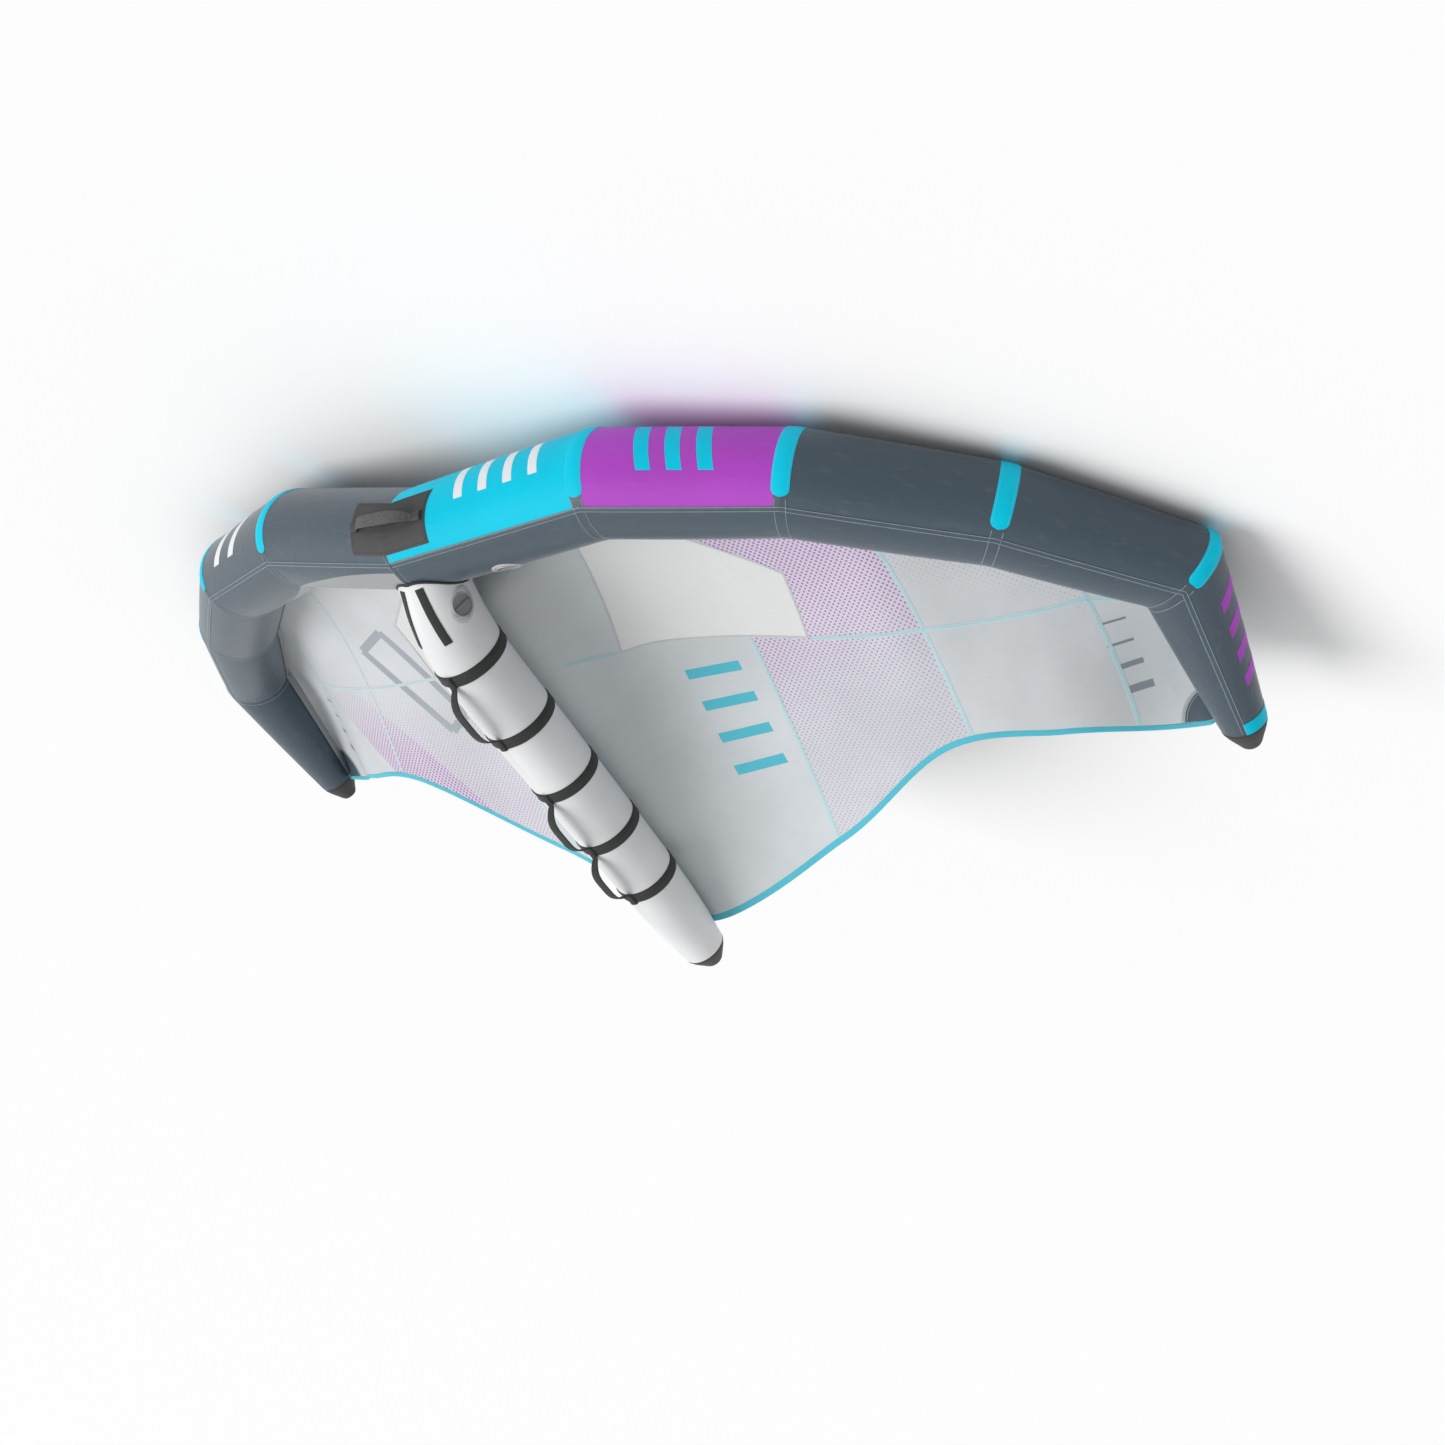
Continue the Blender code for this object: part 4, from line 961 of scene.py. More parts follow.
@dataclass
class CanopySurface(Surface):
    """Half of the canopy: u counts seam rings across, v runs from the front seam to the trailing edge."""

    tube: EdgeTube
    strut: StrutTube
    root_chord: float = 1.240
    across_shares: tuple[float, ...] = (0.0, 0.316, 0.578, 0.757, 0.873, 0.950)
    back_shares: tuple[float, ...] = (1.0, 0.875, 0.696, 0.714, 0.782, 0.800)
    rise_shares: tuple[float, ...] = (-0.025, 0.254, 0.414, 0.574, 0.824, 0.915)
    seam_degrees: float = -40.0
    thickness: float = 0.0012
    tape_thickness: float = 0.0024
    camber_share: float = 0.075
    camber_skew: float = 0.75
    keel_width: float = 0.130
    keel_start: float = 0.12
    ripple: float = 0.0006

    def __post_init__(self) -> None:
        """Tabulate the trailing edge."""
        stations = tuple(float(number) for number in range(len(self.across_shares)))
        self.across = Curve(stations, self.across_shares, level_start=False)
        self.back = Curve(stations, self.back_shares)
        self.rise = Curve(stations, self.rise_shares)

    def cambered(self, u: np.ndarray, v: np.ndarray) -> np.ndarray:
        """Canopy before the strut draws it down, on the right.

        Args:
            u: Seam rings from the middle.
            v: Chord shares.

        Returns:
            The points.
        """
        front = self.tube.point(u, np.full_like(u, self.seam_degrees), SEAT_GAP + self.thickness / 2)
        front = front * np.array((self.tube.side.value, 1.0, 1.0))
        back = np.stack([
            self.tube.half_span * self.across.at(u),
            self.root_chord * self.back.at(u),
            self.tube.nose_height + self.tube.tip_rise * self.rise.at(u),
        ], axis=-1)
        points = front + (back - front) * v[..., None]
        chord = np.linalg.norm(back - front, axis=-1)
        points[..., 2] += self.camber_share * chord * np.sin(np.pi * np.clip(v, 0.0, 1.0) ** self.camber_skew)
        return points

    def middle(self, u: np.ndarray, v: np.ndarray) -> np.ndarray:
        """Middle of the cloth, drawn down to the strut's top, with fine ripples along the chord.

        Args:
            u: Seam rings from the middle.
            v: Chord shares.

        Returns:
            The points.
        """
        points = self.cambered(u, v)
        keel = self.cambered(np.zeros_like(u), v)
        rise, radius = self.strut.section(keel[..., 1])
        seat = rise + radius + SEAT_GAP + self.tape_thickness / 2
        start = np.clip(v / self.keel_start, 0.0, 1.0)
        start = start * start * (3 - 2 * start)
        points[..., 2] -= start * (keel[..., 2] - seat) * np.exp(-(points[..., 0] / self.keel_width) ** 2)
        swell = np.sin(np.pi * np.clip(v, 0.0, 1.0)) * np.sin(13.0 * u) * np.sin(5.0 * v + 2.0 * u)
        points[..., 2] += self.ripple * swell * np.clip(u, 0.0, 1.0)
        points[..., 0] *= self.tube.side.value
        return points

    def point(self, u: np.ndarray, v: np.ndarray, lift: np.ndarray | float = 0.0) -> np.ndarray:
        """Points of the canopy; lift is towards the upper side in flight.

        Args:
            u: Seam rings from the middle.
            v: Chord shares.
            lift: Height over the surface.

        Returns:
            The points.
        """
        u, v = np.broadcast_arrays(np.asarray(u, float), np.asarray(v, float))
        small = 0.002
        across = self.middle(np.minimum(u + small, 5.0), v) - self.middle(np.maximum(u - small, 0.0), v)
        along = self.middle(u, v + small) - self.middle(u, v - small)
        up = unit(np.cross(across, along)) * self.tube.side.value
        return self.middle(u, v) + up * np.asarray(lift)[..., None]


# Mesh building
def shown(name: str, data: bpy.types.ID) -> bpy.types.Object:
    """Put a mesh, a lamp or a camera in the scene.

    Args:
        name: The object's name.
        data: What it shows.

    Returns:
        The new object.
    """
    made = bpy.data.objects.new(name, data)
    bpy.context.scene.collection.objects.link(made)
    return made


def released(name: str, shape: bmesh.types.BMesh, matrix: Matrix) -> bpy.types.Mesh:
    """Turn a finished shape into a mesh and free it.

    Args:
        name: The mesh's name.
        shape: The finished shape.
        matrix: Its place in the parked frame.

    Returns:
        The new mesh.
    """
    mesh = bpy.data.meshes.new(name)
    shape.to_mesh(mesh)
    shape.free()
    mesh.transform(matrix)
    return mesh


def coat(mesh: bpy.types.Mesh, finish: Finish, sharp_degrees: float = SHARP_DEGREES) -> None:
    """Shade a mesh smooth and give it its material.

    Args:
        mesh: The mesh.
        finish: Its first material.
        sharp_degrees: Edges steeper than this are shaded sharp.
    """
    mesh.shade_smooth()
    mesh.set_sharp_from_angle(angle=math.radians(sharp_degrees))
    mesh.materials.append(finish.material())


def stand(origin: Vector, x_axis: Vector, y_axis: Vector, z_axis: Vector) -> Matrix:
    """Matrix with the given origin and axes.

    Args:
        origin: The origin.
        x_axis: Its X axis, of length one.
        y_axis: Its Y axis.
        z_axis: Its Z axis.

    Returns:
        The matrix.
    """
    return Matrix.Translation(origin) @ Matrix((x_axis, y_axis, z_axis)).transposed().to_4x4()


def tube_faces(rings: int, sides: int) -> list[tuple[int, ...]]:
    """Faces of a tube of rings, with closed ends.

    Args:
        rings: Number of rings.
        sides: Points of each ring.

    Returns:
        The faces, ring by ring, and then the two ends.
    """
    faces = []
    for row in range(rings - 1):
        for step in range(sides):
            after = (step + 1) % sides
            faces.append((row * sides + step, row * sides + after, (row + 1) * sides + after,
                          (row + 1) * sides + step))
    return faces + [tuple(row * sides + step for step in range(sides)) for row in (0, rings - 1)]


def travelled(points: np.ndarray) -> np.ndarray:
    """Distance of each point of a path from the first, along the path."""
    return np.concatenate([[0.0], np.cumsum(np.linalg.norm(np.diff(points, axis=0), axis=1))])


def make_mesh(name: str, points: np.ndarray, faces: list, finish: Finish,
              maps: dict | None = None) -> bpy.types.Object:
    """Make an object of points in the flying frame.

    Args:
        name: The piece's name.
        points: Array of points.
        faces: Corner lists.
        finish: Its first material.
        maps: UV maps by name, one pair for each face corner.

    Returns:
        The new object, with its faces pointing out.
    """
    mesh = bpy.data.meshes.new(name)
    mesh.from_pydata(ATTITUDE.lay(points.reshape(-1, 3)).tolist(), [], [list(face) for face in faces])
    for key, values in (maps or {}).items():
        layer = mesh.uv_layers.new(name=key)
        layer.data.foreach_set("uv", np.asarray(values, np.float32).ravel())
    shape = bmesh.new()
    shape.from_mesh(mesh)
    bmesh.ops.recalc_face_normals(shape, faces=shape.faces)
    shape.to_mesh(mesh)
    shape.free()
    coat(mesh, finish)
    return shown(name, mesh)


def lengths_along(grid: np.ndarray) -> tuple[np.ndarray, np.ndarray]:
    """Mean distances along a grid's rows and columns, for cloth coordinates.

    Args:
        grid: Points, rows by columns by three.

    Returns:
        Distances of the rows and of the columns from the first one.
    """
    along = np.linalg.norm(np.diff(grid, axis=0), axis=2).mean(axis=1)
    round_it = np.linalg.norm(np.diff(grid, axis=1), axis=2).mean(axis=0)
    return np.concatenate([[0.0], np.cumsum(along)]), np.concatenate([[0.0], np.cumsum(round_it)])


def shell(name: str, outer: np.ndarray, inner: np.ndarray, finish: Finish, closed: bool = False,
          slots: tuple = ()) -> bpy.types.Object:
    """Closed cloth between an outer and an inner grid of points.

    Args:
        name: The piece's name.
        outer: Grid of points, rows by columns by three.
        inner: The like grid on its other face.
        finish: Main material.
        closed: Whether the columns close into a ring.
        slots: Further finishes, each with a test that takes a column's number and says if it applies.

    Returns:
        The new object.
    """
    rows, columns = outer.shape[:2]
    steps = columns if closed else columns - 1
    wrapped = np.concatenate([outer, outer[:, :1]], axis=1) if closed else outer
    along, across = lengths_along(wrapped)
    faces = []
    cloth = []
    tests = []
    total = rows * columns

    def add(corners: list[tuple[int, int, int]]) -> None:
        """Add a face with its cloth map.

        Args:
            corners: Row, column and skin of each corner, where skin 0 is the outer one.
        """
        faces.append([skin * total + row * columns + column % columns for row, column, skin in corners])
        cloth.extend((along[row], across[column] + skin * 0.001) for row, column, skin in corners)
        tests.append(min(column for _, column, _ in corners))

    for row in range(rows - 1):
        for column in range(steps):
            add([(row, column, 0), (row, column + 1, 0), (row + 1, column + 1, 0), (row + 1, column, 0)])
            add([(row, column, 1), (row + 1, column, 1), (row + 1, column + 1, 1), (row, column + 1, 1)])
    for column in range(steps):
        for row in (0, rows - 1):
            add([(row, column, 0), (row, column + 1, 0), (row, column + 1, 1), (row, column, 1)])
    if not closed:
        for row in range(rows - 1):
            for column in (0, columns - 1):
                add([(row, column, 0), (row + 1, column, 0), (row + 1, column, 1), (row, column, 1)])
    points = np.concatenate([outer.reshape(-1, 3), inner.reshape(-1, 3)])
    made = make_mesh(name, points, faces, finish, {"cloth": cloth})
    for number, (other, applies) in enumerate(slots, start=1):
        made.data.materials.append(other.material())
        for polygon, column in zip(made.data.polygons, tests):
            if applies(column):
                polygon.material_index = number
    return made


def along_path(surface: Surface, path: np.ndarray, lift: float = 0.0) -> tuple[np.ndarray, ...]:
    """Points, course, sideways and normal vectors along a path on a surface.

    Args:
        surface: The surface.
        path: Rows of u and v.
        lift: Height over the surface.

    Returns:
        Points, courses, sideways vectors and normals.
    """
    points = surface.point(path[:, 0], path[:, 1], lift)
    courses = unit(np.gradient(points, axis=0))
    normals = surface.normal(path[:, 0], path[:, 1])
    sideways = unit(np.cross(normals, courses))
    return points, courses, sideways, normals


def line(*stops: tuple[float, float], steps: int = 24) -> np.ndarray:
    """Path of u and v through stops, in even steps between each two."""
    parts = [np.linspace(start, end, steps, endpoint=False) for start, end in zip(stops, stops[1:])]
    return np.vstack(parts + [np.array([stops[-1]])])


def laid_tape(name: str, surface: Surface, path: np.ndarray, width: float, low: float, high: float,
              finish: Finish) -> bpy.types.Object:
    """Flat tape along a path on a surface, with its edges thinned.

    Args:
        name: The piece's name.
        surface: What it lies on.
        path: Rows of u and v.
        width: Its width.
        low: Height of its underside over the surface.
        high: Height of its top.
        finish: Its material.

    Returns:
        The new object.
    """
    points, _, sideways, normals = along_path(surface, path)
    shares = np.array((-0.5, -0.42, 0.0, 0.42, 0.5))
    thin = low + (high - low) * 0.35
    tops = np.array((thin, high, high, high, thin))
    places = points[:, None] + sideways[:, None] * (width * shares)[None, :, None]
    outer = places + normals[:, None] * tops[None, :, None]
    inner = places + normals[:, None] * low
    return shell(name, outer, inner, finish)


@dataclass
class Stitches:
    """Collects stitches and makes them into one mesh of thread; they narrow towards their tops."""

    name: str
    finish: Finish
    length: float = 0.0034
    width: float = 0.0011
    height: float = 0.0004
    pitch: float = 0.0045
    top_width: float = 0.6
    top_half_length: float = 0.38
    corners: list[np.ndarray] = field(default_factory=list)

    def row(self, surface: Surface, path: np.ndarray, lift: float, shift: float = 0.0,
            zigzag: float = 0.0) -> None:
        """Sew a row along a path.

        Args:
            surface: What it is sewn through.
            path: Rows of u and v.
            lift: Height over the surface, negative for the other side.
            shift: How far the row lies beside the path.
            zigzag: Half width of a zigzag, zero for a straight row.
        """
        points, courses, sideways, normals = along_path(surface, path, lift)
        points = points + sideways * shift
        course_length = travelled(points)
        stops = np.arange(self.pitch / 2, course_length[-1], self.pitch)
        if not len(stops):
            return
        read = [np.stack([np.interp(stops, course_length, item[:, axis]) for axis in range(3)], axis=1)
                for item in (points, courses, sideways, normals)]
        middle, course, side, normal = read[0], unit(read[1]), unit(read[2]), unit(read[3])
        if lift < 0.0:
            normal = -normal
        if zigzag:
            turn = np.where(np.arange(len(stops)) % 2 == 0, 1.0, -1.0)[:, None]
            course, side = unit(course * self.pitch + side * turn * 2 * zigzag), unit(side - course * turn)
        shape = []
        for rise, spread, half in ((0.0, 1.0, 0.5), (1.0, self.top_width, self.top_half_length)):
            for end, across in ((-1, -1), (1, -1), (1, 1), (-1, 1)):
                reach = self.length * half * end
                shape.append(middle + course * reach + side * (self.width / 2 * spread * across)
                             + normal * (self.height * rise))
        self.corners.append(np.stack(shape, axis=1))

    def make(self) -> bpy.types.Object:
        """Make the thread's mesh.

        Returns:
            The new object.
        """
        corners = np.concatenate(self.corners)
        box = ((0, 1, 2, 3), (4, 7, 6, 5), (0, 4, 5, 1), (1, 5, 6, 2), (2, 6, 7, 3), (3, 7, 4, 0))
        starts = np.arange(len(corners))[:, None, None] * 8
        faces = (starts + np.array(box)[None]).reshape(-1, 4)
        return make_mesh(self.name, corners, faces.tolist(), self.finish)


def turned(name: str, profile: list[tuple[float, float]], matrix: Matrix, finish: Finish,
           sides: int = 96) -> bpy.types.Object:
    """Turned piece on its own Z axis, with its sharp edges bevelled.

    Args:
        name: The piece's name.
        profile: Radius and height, from one end of the axis round to the other.
        matrix: Its place in the parked frame.
        finish: Its material.
        sides: Facets round it.

    Returns:
        The new object.
    """
    shape = bmesh.new()
    rings = []
    for radius, height in profile:
        if radius < TINY:
            rings.append([shape.verts.new((0.0, 0.0, height))] * sides)
            continue
        rings.append([shape.verts.new((radius * math.cos(2 * math.pi * step / sides),
                                       radius * math.sin(2 * math.pi * step / sides), height))
                      for step in range(sides)])
    pairs = list(zip(rings, rings[1:]))
    if profile[0][0] > TINY:
        pairs.append((rings[-1], rings[0]))
    for front, back in pairs:
        for step in range(sides):
            after = (step + 1) % sides
            corners = []
            for vertex in (front[step], front[after], back[after], back[step]):
                if vertex not in corners:
                    corners.append(vertex)
            if len(corners) > 2:
                shape.faces.new(corners)
    bmesh.ops.recalc_face_normals(shape, faces=shape.faces)
    sharp = [edge for edge in shape.edges
             if len(edge.link_faces) == 2 and edge.calc_face_angle(0.0) > math.radians(BEVEL_FROM_DEGREES)]
    bmesh.ops.bevel(shape, geom=sharp, offset=TURNED_BEVEL, segments=2, affect="EDGES", profile=0.5)
    mesh = released(name, shape, matrix)
    coat(mesh, finish, TURNED_SHARP_DEGREES)
    return shown(name, mesh)


def fit(piece: bpy.types.Object, body: Body, *nodes: str) -> bpy.types.Object:
    """Ride a piece on its body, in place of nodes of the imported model.

    Args:
        piece: The piece.
        body: The body that carries it.
        nodes: Names of the nodes that it stands for.

    Returns:
        The piece.
    """
    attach(piece, body.value)
    if nodes:
        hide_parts(*nodes)
    LOG.info("%s: %d faces", piece.name, len(piece.data.polygons))
    return piece


# Sub-assemblies
@dataclass
class LeadingEdge:
    """Sleeve panels, seam covers, closing seams, marks and tip tapes of one wing."""

    tube: EdgeTube
    panel_count: int = 5
    under_seam_degrees: float = 166.0
    under_part_end: float = 320.0
    seam_ends: tuple[float, float] = (0.004, 4.99)
    sunk: float = -0.0001
    lap_shift: float = 2.5
    lap_width: float = 0.013
    lap_thickness: float = 0.0007
    stitch_shift: float = 0.0045
    seam_stitch_ends: tuple[float, float] = (0.005, 4.98)
    ring_stitch_step: float = 0.011
    ring_stitch_start: float = 157.0
    thread_lift: float = 0.0001
    cover_stitch_share: float = 1.3
    cover_stitch_ends: tuple[float, float] = (-26.0, 148.0)
    sleeve_wall: float = 0.001
    sides: int = 72
    rows: int = 26
    cover_width: float = 0.036
    cover_thickness: float = 0.0008
    cover_start: float = -32.0
    cover_end: float = 155.0
    cover_heights: tuple[float, ...] = (0.35, 1.0, 1.0, 1.3, 1.0, 1.0, 0.35)
    cover_across: tuple[float, ...] = (-1.0, -0.86, -0.5, 0.0, 0.5, 0.86, 1.0)
    tape_width: float = 0.030
    tape_start: float = 15.0
    tape_end: float = 165.0
    flap_degrees: float = -51.0
    flap_width: float = 0.042
    flap_thickness: float = 0.0004
    tab_width: float = 0.026
    tab_start: float = 151.0
    tab_end: float = 316.0
    facing_places: tuple[float, ...] = (0.012, 0.37, 0.67, 0.86, 1.03, 1.5, 2.1)
    facing_degrees: tuple[float, ...] = (-181.0, -177.0, -166.0, -155.0, -140.0, -115.0, -92.0)
    facing_end: float = -70.0
    mark_thickness: float = 0.00035
    valve: Valve | None = None
    marks: dict = field(default_factory=dict)

    @property
    def side(self) -> Side:
        """The wing that this edge belongs to."""
        return self.tube.side

    def colours(self, number: int) -> Cloth:
        """Cloth of a panel's upper part.

        Args:
            number: The panel's number, which is 1 at the nose.

        Returns:
            The cloth.
        """
        if self.side is Side.RIGHT and number == 1:
            return CYAN_CLOTH
        if self.side is Side.RIGHT and number == 2:
            return PURPLE_CLOTH
        return SLATE_CLOTH

    def make_panels(self) -> None:
        """Five sleeve panels; the part behind the under seam is slate on each."""
        start = self.under_seam_degrees
        degrees = start + np.linspace(0.0, 360.0, self.sides, endpoint=False)
        back_columns = round((self.under_part_end - start) / 360.0 * self.sides)
        slate_back = ((SLATE_CLOTH, lambda column: column < back_columns),)
        for index in range(self.panel_count):
            gap = self.tube.ring_step(index, SEAT_GAP / 2)
            lengthwise = (1 - np.cos(np.pi * np.linspace(0.0, 1.0, self.rows))) / 2
            places = index + gap + (1 - 2 * gap) * lengthwise
            outer = self.tube.grid(places, degrees)
            inner = self.tube.grid(places, degrees, -self.sleeve_wall)
            name = f"edge_cloth_{self.side.label}_{index + 1}"
            finish = self.colours(index + 1)
            slots = () if finish is SLATE_CLOTH else slate_back
            panel = shell(name, outer, inner, finish, closed=True, slots=slots)
            if self.valve is not None and index == 0:
                self.valve.cut(panel)
            fit(panel, Body.WING, f"edge_panel_{self.side.label}_{index + 1}")

    def make_covers(self) -> None:
        """Rounded covers over the seam rings, and the tape round the tip's end."""
        half = self.cover_width / 2
        crown = np.array(self.cover_across)[:, None]
        heights = np.array(self.cover_heights)[:, None] * self.cover_thickness + SEAT_GAP
        angles = np.linspace(self.cover_start, self.cover_end, 90)
        to_end = np.minimum(angles - self.cover_start, self.cover_end - angles) * np.pi / 180
        for ring in range(1, self.panel_count):
            before = self.tube.ring_step(ring - 1, half)
            after = self.tube.ring_step(ring, half)
            short = np.clip(to_end * self.tube.radii[ring] / half, 0.0, 1.0)
            taper = np.sqrt(np.clip(1 - (1 - short) ** 2, 0.02, 1.0))
            u = ring + np.where(crown < 0, before, after) * crown * taper[None]
            outer = self.tube.point(u, angles[None], heights)
            inner = self.tube.point(u, angles[None], SEAT_GAP * SEAT_SHARE)
            cover = shell(f"seam_cover_cloth_{self.side.label}_{ring}", outer, inner, CYAN_CLOTH)
            fit(cover, Body.WING, f"seam_cover_{self.side.label}_{ring}")
        last = self.panel_count - 1
        places = self.panel_count - np.linspace(self.tube.ring_step(last, self.tape_width),
                                                self.tube.ring_step(last, SEAT_GAP), 4)
        angles = np.linspace(self.tape_start, self.tape_end, 60)
        outer = self.tube.grid(places, angles, SEAT_GAP + self.cover_thickness)
        inner = self.tube.grid(places, angles, SEAT_GAP * SEAT_SHARE)
        tape = shell(f"tip_tape_cloth_{self.side.label}", outer, inner, CYAN_CLOTH)
        fit(tape, Body.WING, f"tip_tape_{self.side.label}")

    def make_seams(self) -> None:
        """Lap of the lengthwise seam, the flap for the canopy, and tabs over the rings."""
        tube = self.tube
        label = self.side.label
        degrees = self.under_seam_degrees + self.lap_shift
        path = line(*((place, degrees) for place in self.seam_ends), steps=260)
        lap = laid_tape(f"under_lap_{label}", tube, path, self.lap_width, self.thread_lift,
                        self.lap_thickness, SLATE_CLOTH)
        fit(lap, Body.WING)
        path = line(*((place, self.flap_degrees) for place in self.seam_ends), steps=260)
        flap = laid_tape(f"canopy_flap_{label}", tube, path, self.flap_width, self.sunk,
                         self.flap_thickness, FLAP_CLOTH)
        fit(flap, Body.WING)
        across = np.linspace(-1.0, 1.0, 9)
        angles = np.linspace(self.tab_start, self.tab_end, 61)
        for ring in range(1, self.panel_count):
            before = tube.ring_step(ring - 1, self.tab_width / 2)
            after = tube.ring_step(ring, self.tab_width / 2)
            places = ring + np.where(across < 0, before, after) * across
            outer = tube.grid(places, angles, self.mark_thickness)
            fit(shell(f"seam_tab_{label}_{ring}", outer, tube.grid(places, angles), SLATE_CLOTH), Body.WING)

    def make_stitches(self) -> None:
        """Rows along the lengthwise seam, beside the rings and along the covers."""
        tube = self.tube
        thread = Stitches(f"edge_stitches_{self.side.label}", GREY_THREAD)
        cover_thread = Stitches(f"cover_stitches_{self.side.label}", CYAN_THREAD)
        degrees = self.under_seam_degrees + self.lap_shift
        seam = line(*((place, degrees) for place in self.seam_stitch_ends), steps=400)
        for shift in (-self.stitch_shift, self.stitch_shift):
            thread.row(tube, seam, self.lap_thickness, shift)
        for ring in range(self.panel_count):
            for step in (-self.ring_stitch_step, self.ring_stitch_step):
                if ring == 0 and step < 0:
                    continue
                length = ring - 1 if step < 0 else ring
                place = ring + tube.ring_step(length, step)
                thread.row(tube, line((place, self.ring_stitch_start), (place, self.tab_end), steps=60),
                           self.mark_thickness if ring else self.thread_lift)
                if ring:
                    edge = ring + tube.ring_step(length, step * self.cover_stitch_share)
                    path = line(*((edge, degree) for degree in self.cover_stitch_ends), steps=60)
                    cover_thread.row(tube, path, SEAT_GAP + self.cover_thickness)
        fit(thread.make(), Body.WING)
        fit(cover_thread.make(), Body.WING)

    def make_facing(self) -> None:
        """Pale facing under the edge beside the nose, which the photograph shows on the left."""
        if self.side is Side.RIGHT:
            return
        u = np.linspace(self.facing_places[0], self.facing_places[-1], 90)
        front = Curve(self.facing_places, self.facing_degrees).at(u)
        share = np.linspace(0.0, 1.0, 24)
        v = front[:, None] + (self.facing_end - front)[:, None] * share[None]
        outer = self.tube.point(u[:, None], v, self.flap_thickness)
        inner = self.tube.point(u[:, None], v, self.sunk)
        fit(shell("edge_facing_left", outer, inner, FLAP_CLOTH), Body.WING)

    def make_marks(self) -> None:
        """Plain slanting bars across the panels."""
        for name, (finish, places, low, high, slant, width) in self.marks.items():
            for number, place in enumerate(places, start=1):
                share = np.linspace(0.0, 1.0, 25)
                half = self.tube.ring_step(int(place), width / 2)
                u = place + slant * share[:, None] + half * np.linspace(-1.0, 1.0, 7)[None]
                v = (low + (high - low) * share)[:, None]
                outer = self.tube.point(u, v, self.mark_thickness)
                inner = self.tube.point(u, v)
                fit(shell(f"{name}_{self.side.label}_{number}", outer, inner, finish), Body.WING)

    def build(self) -> None:
        """Make everything on this half of the edge."""
        self.make_panels()
        self.make_covers()
        self.make_seams()
        self.make_stitches()
        self.make_facing()
        self.make_marks()


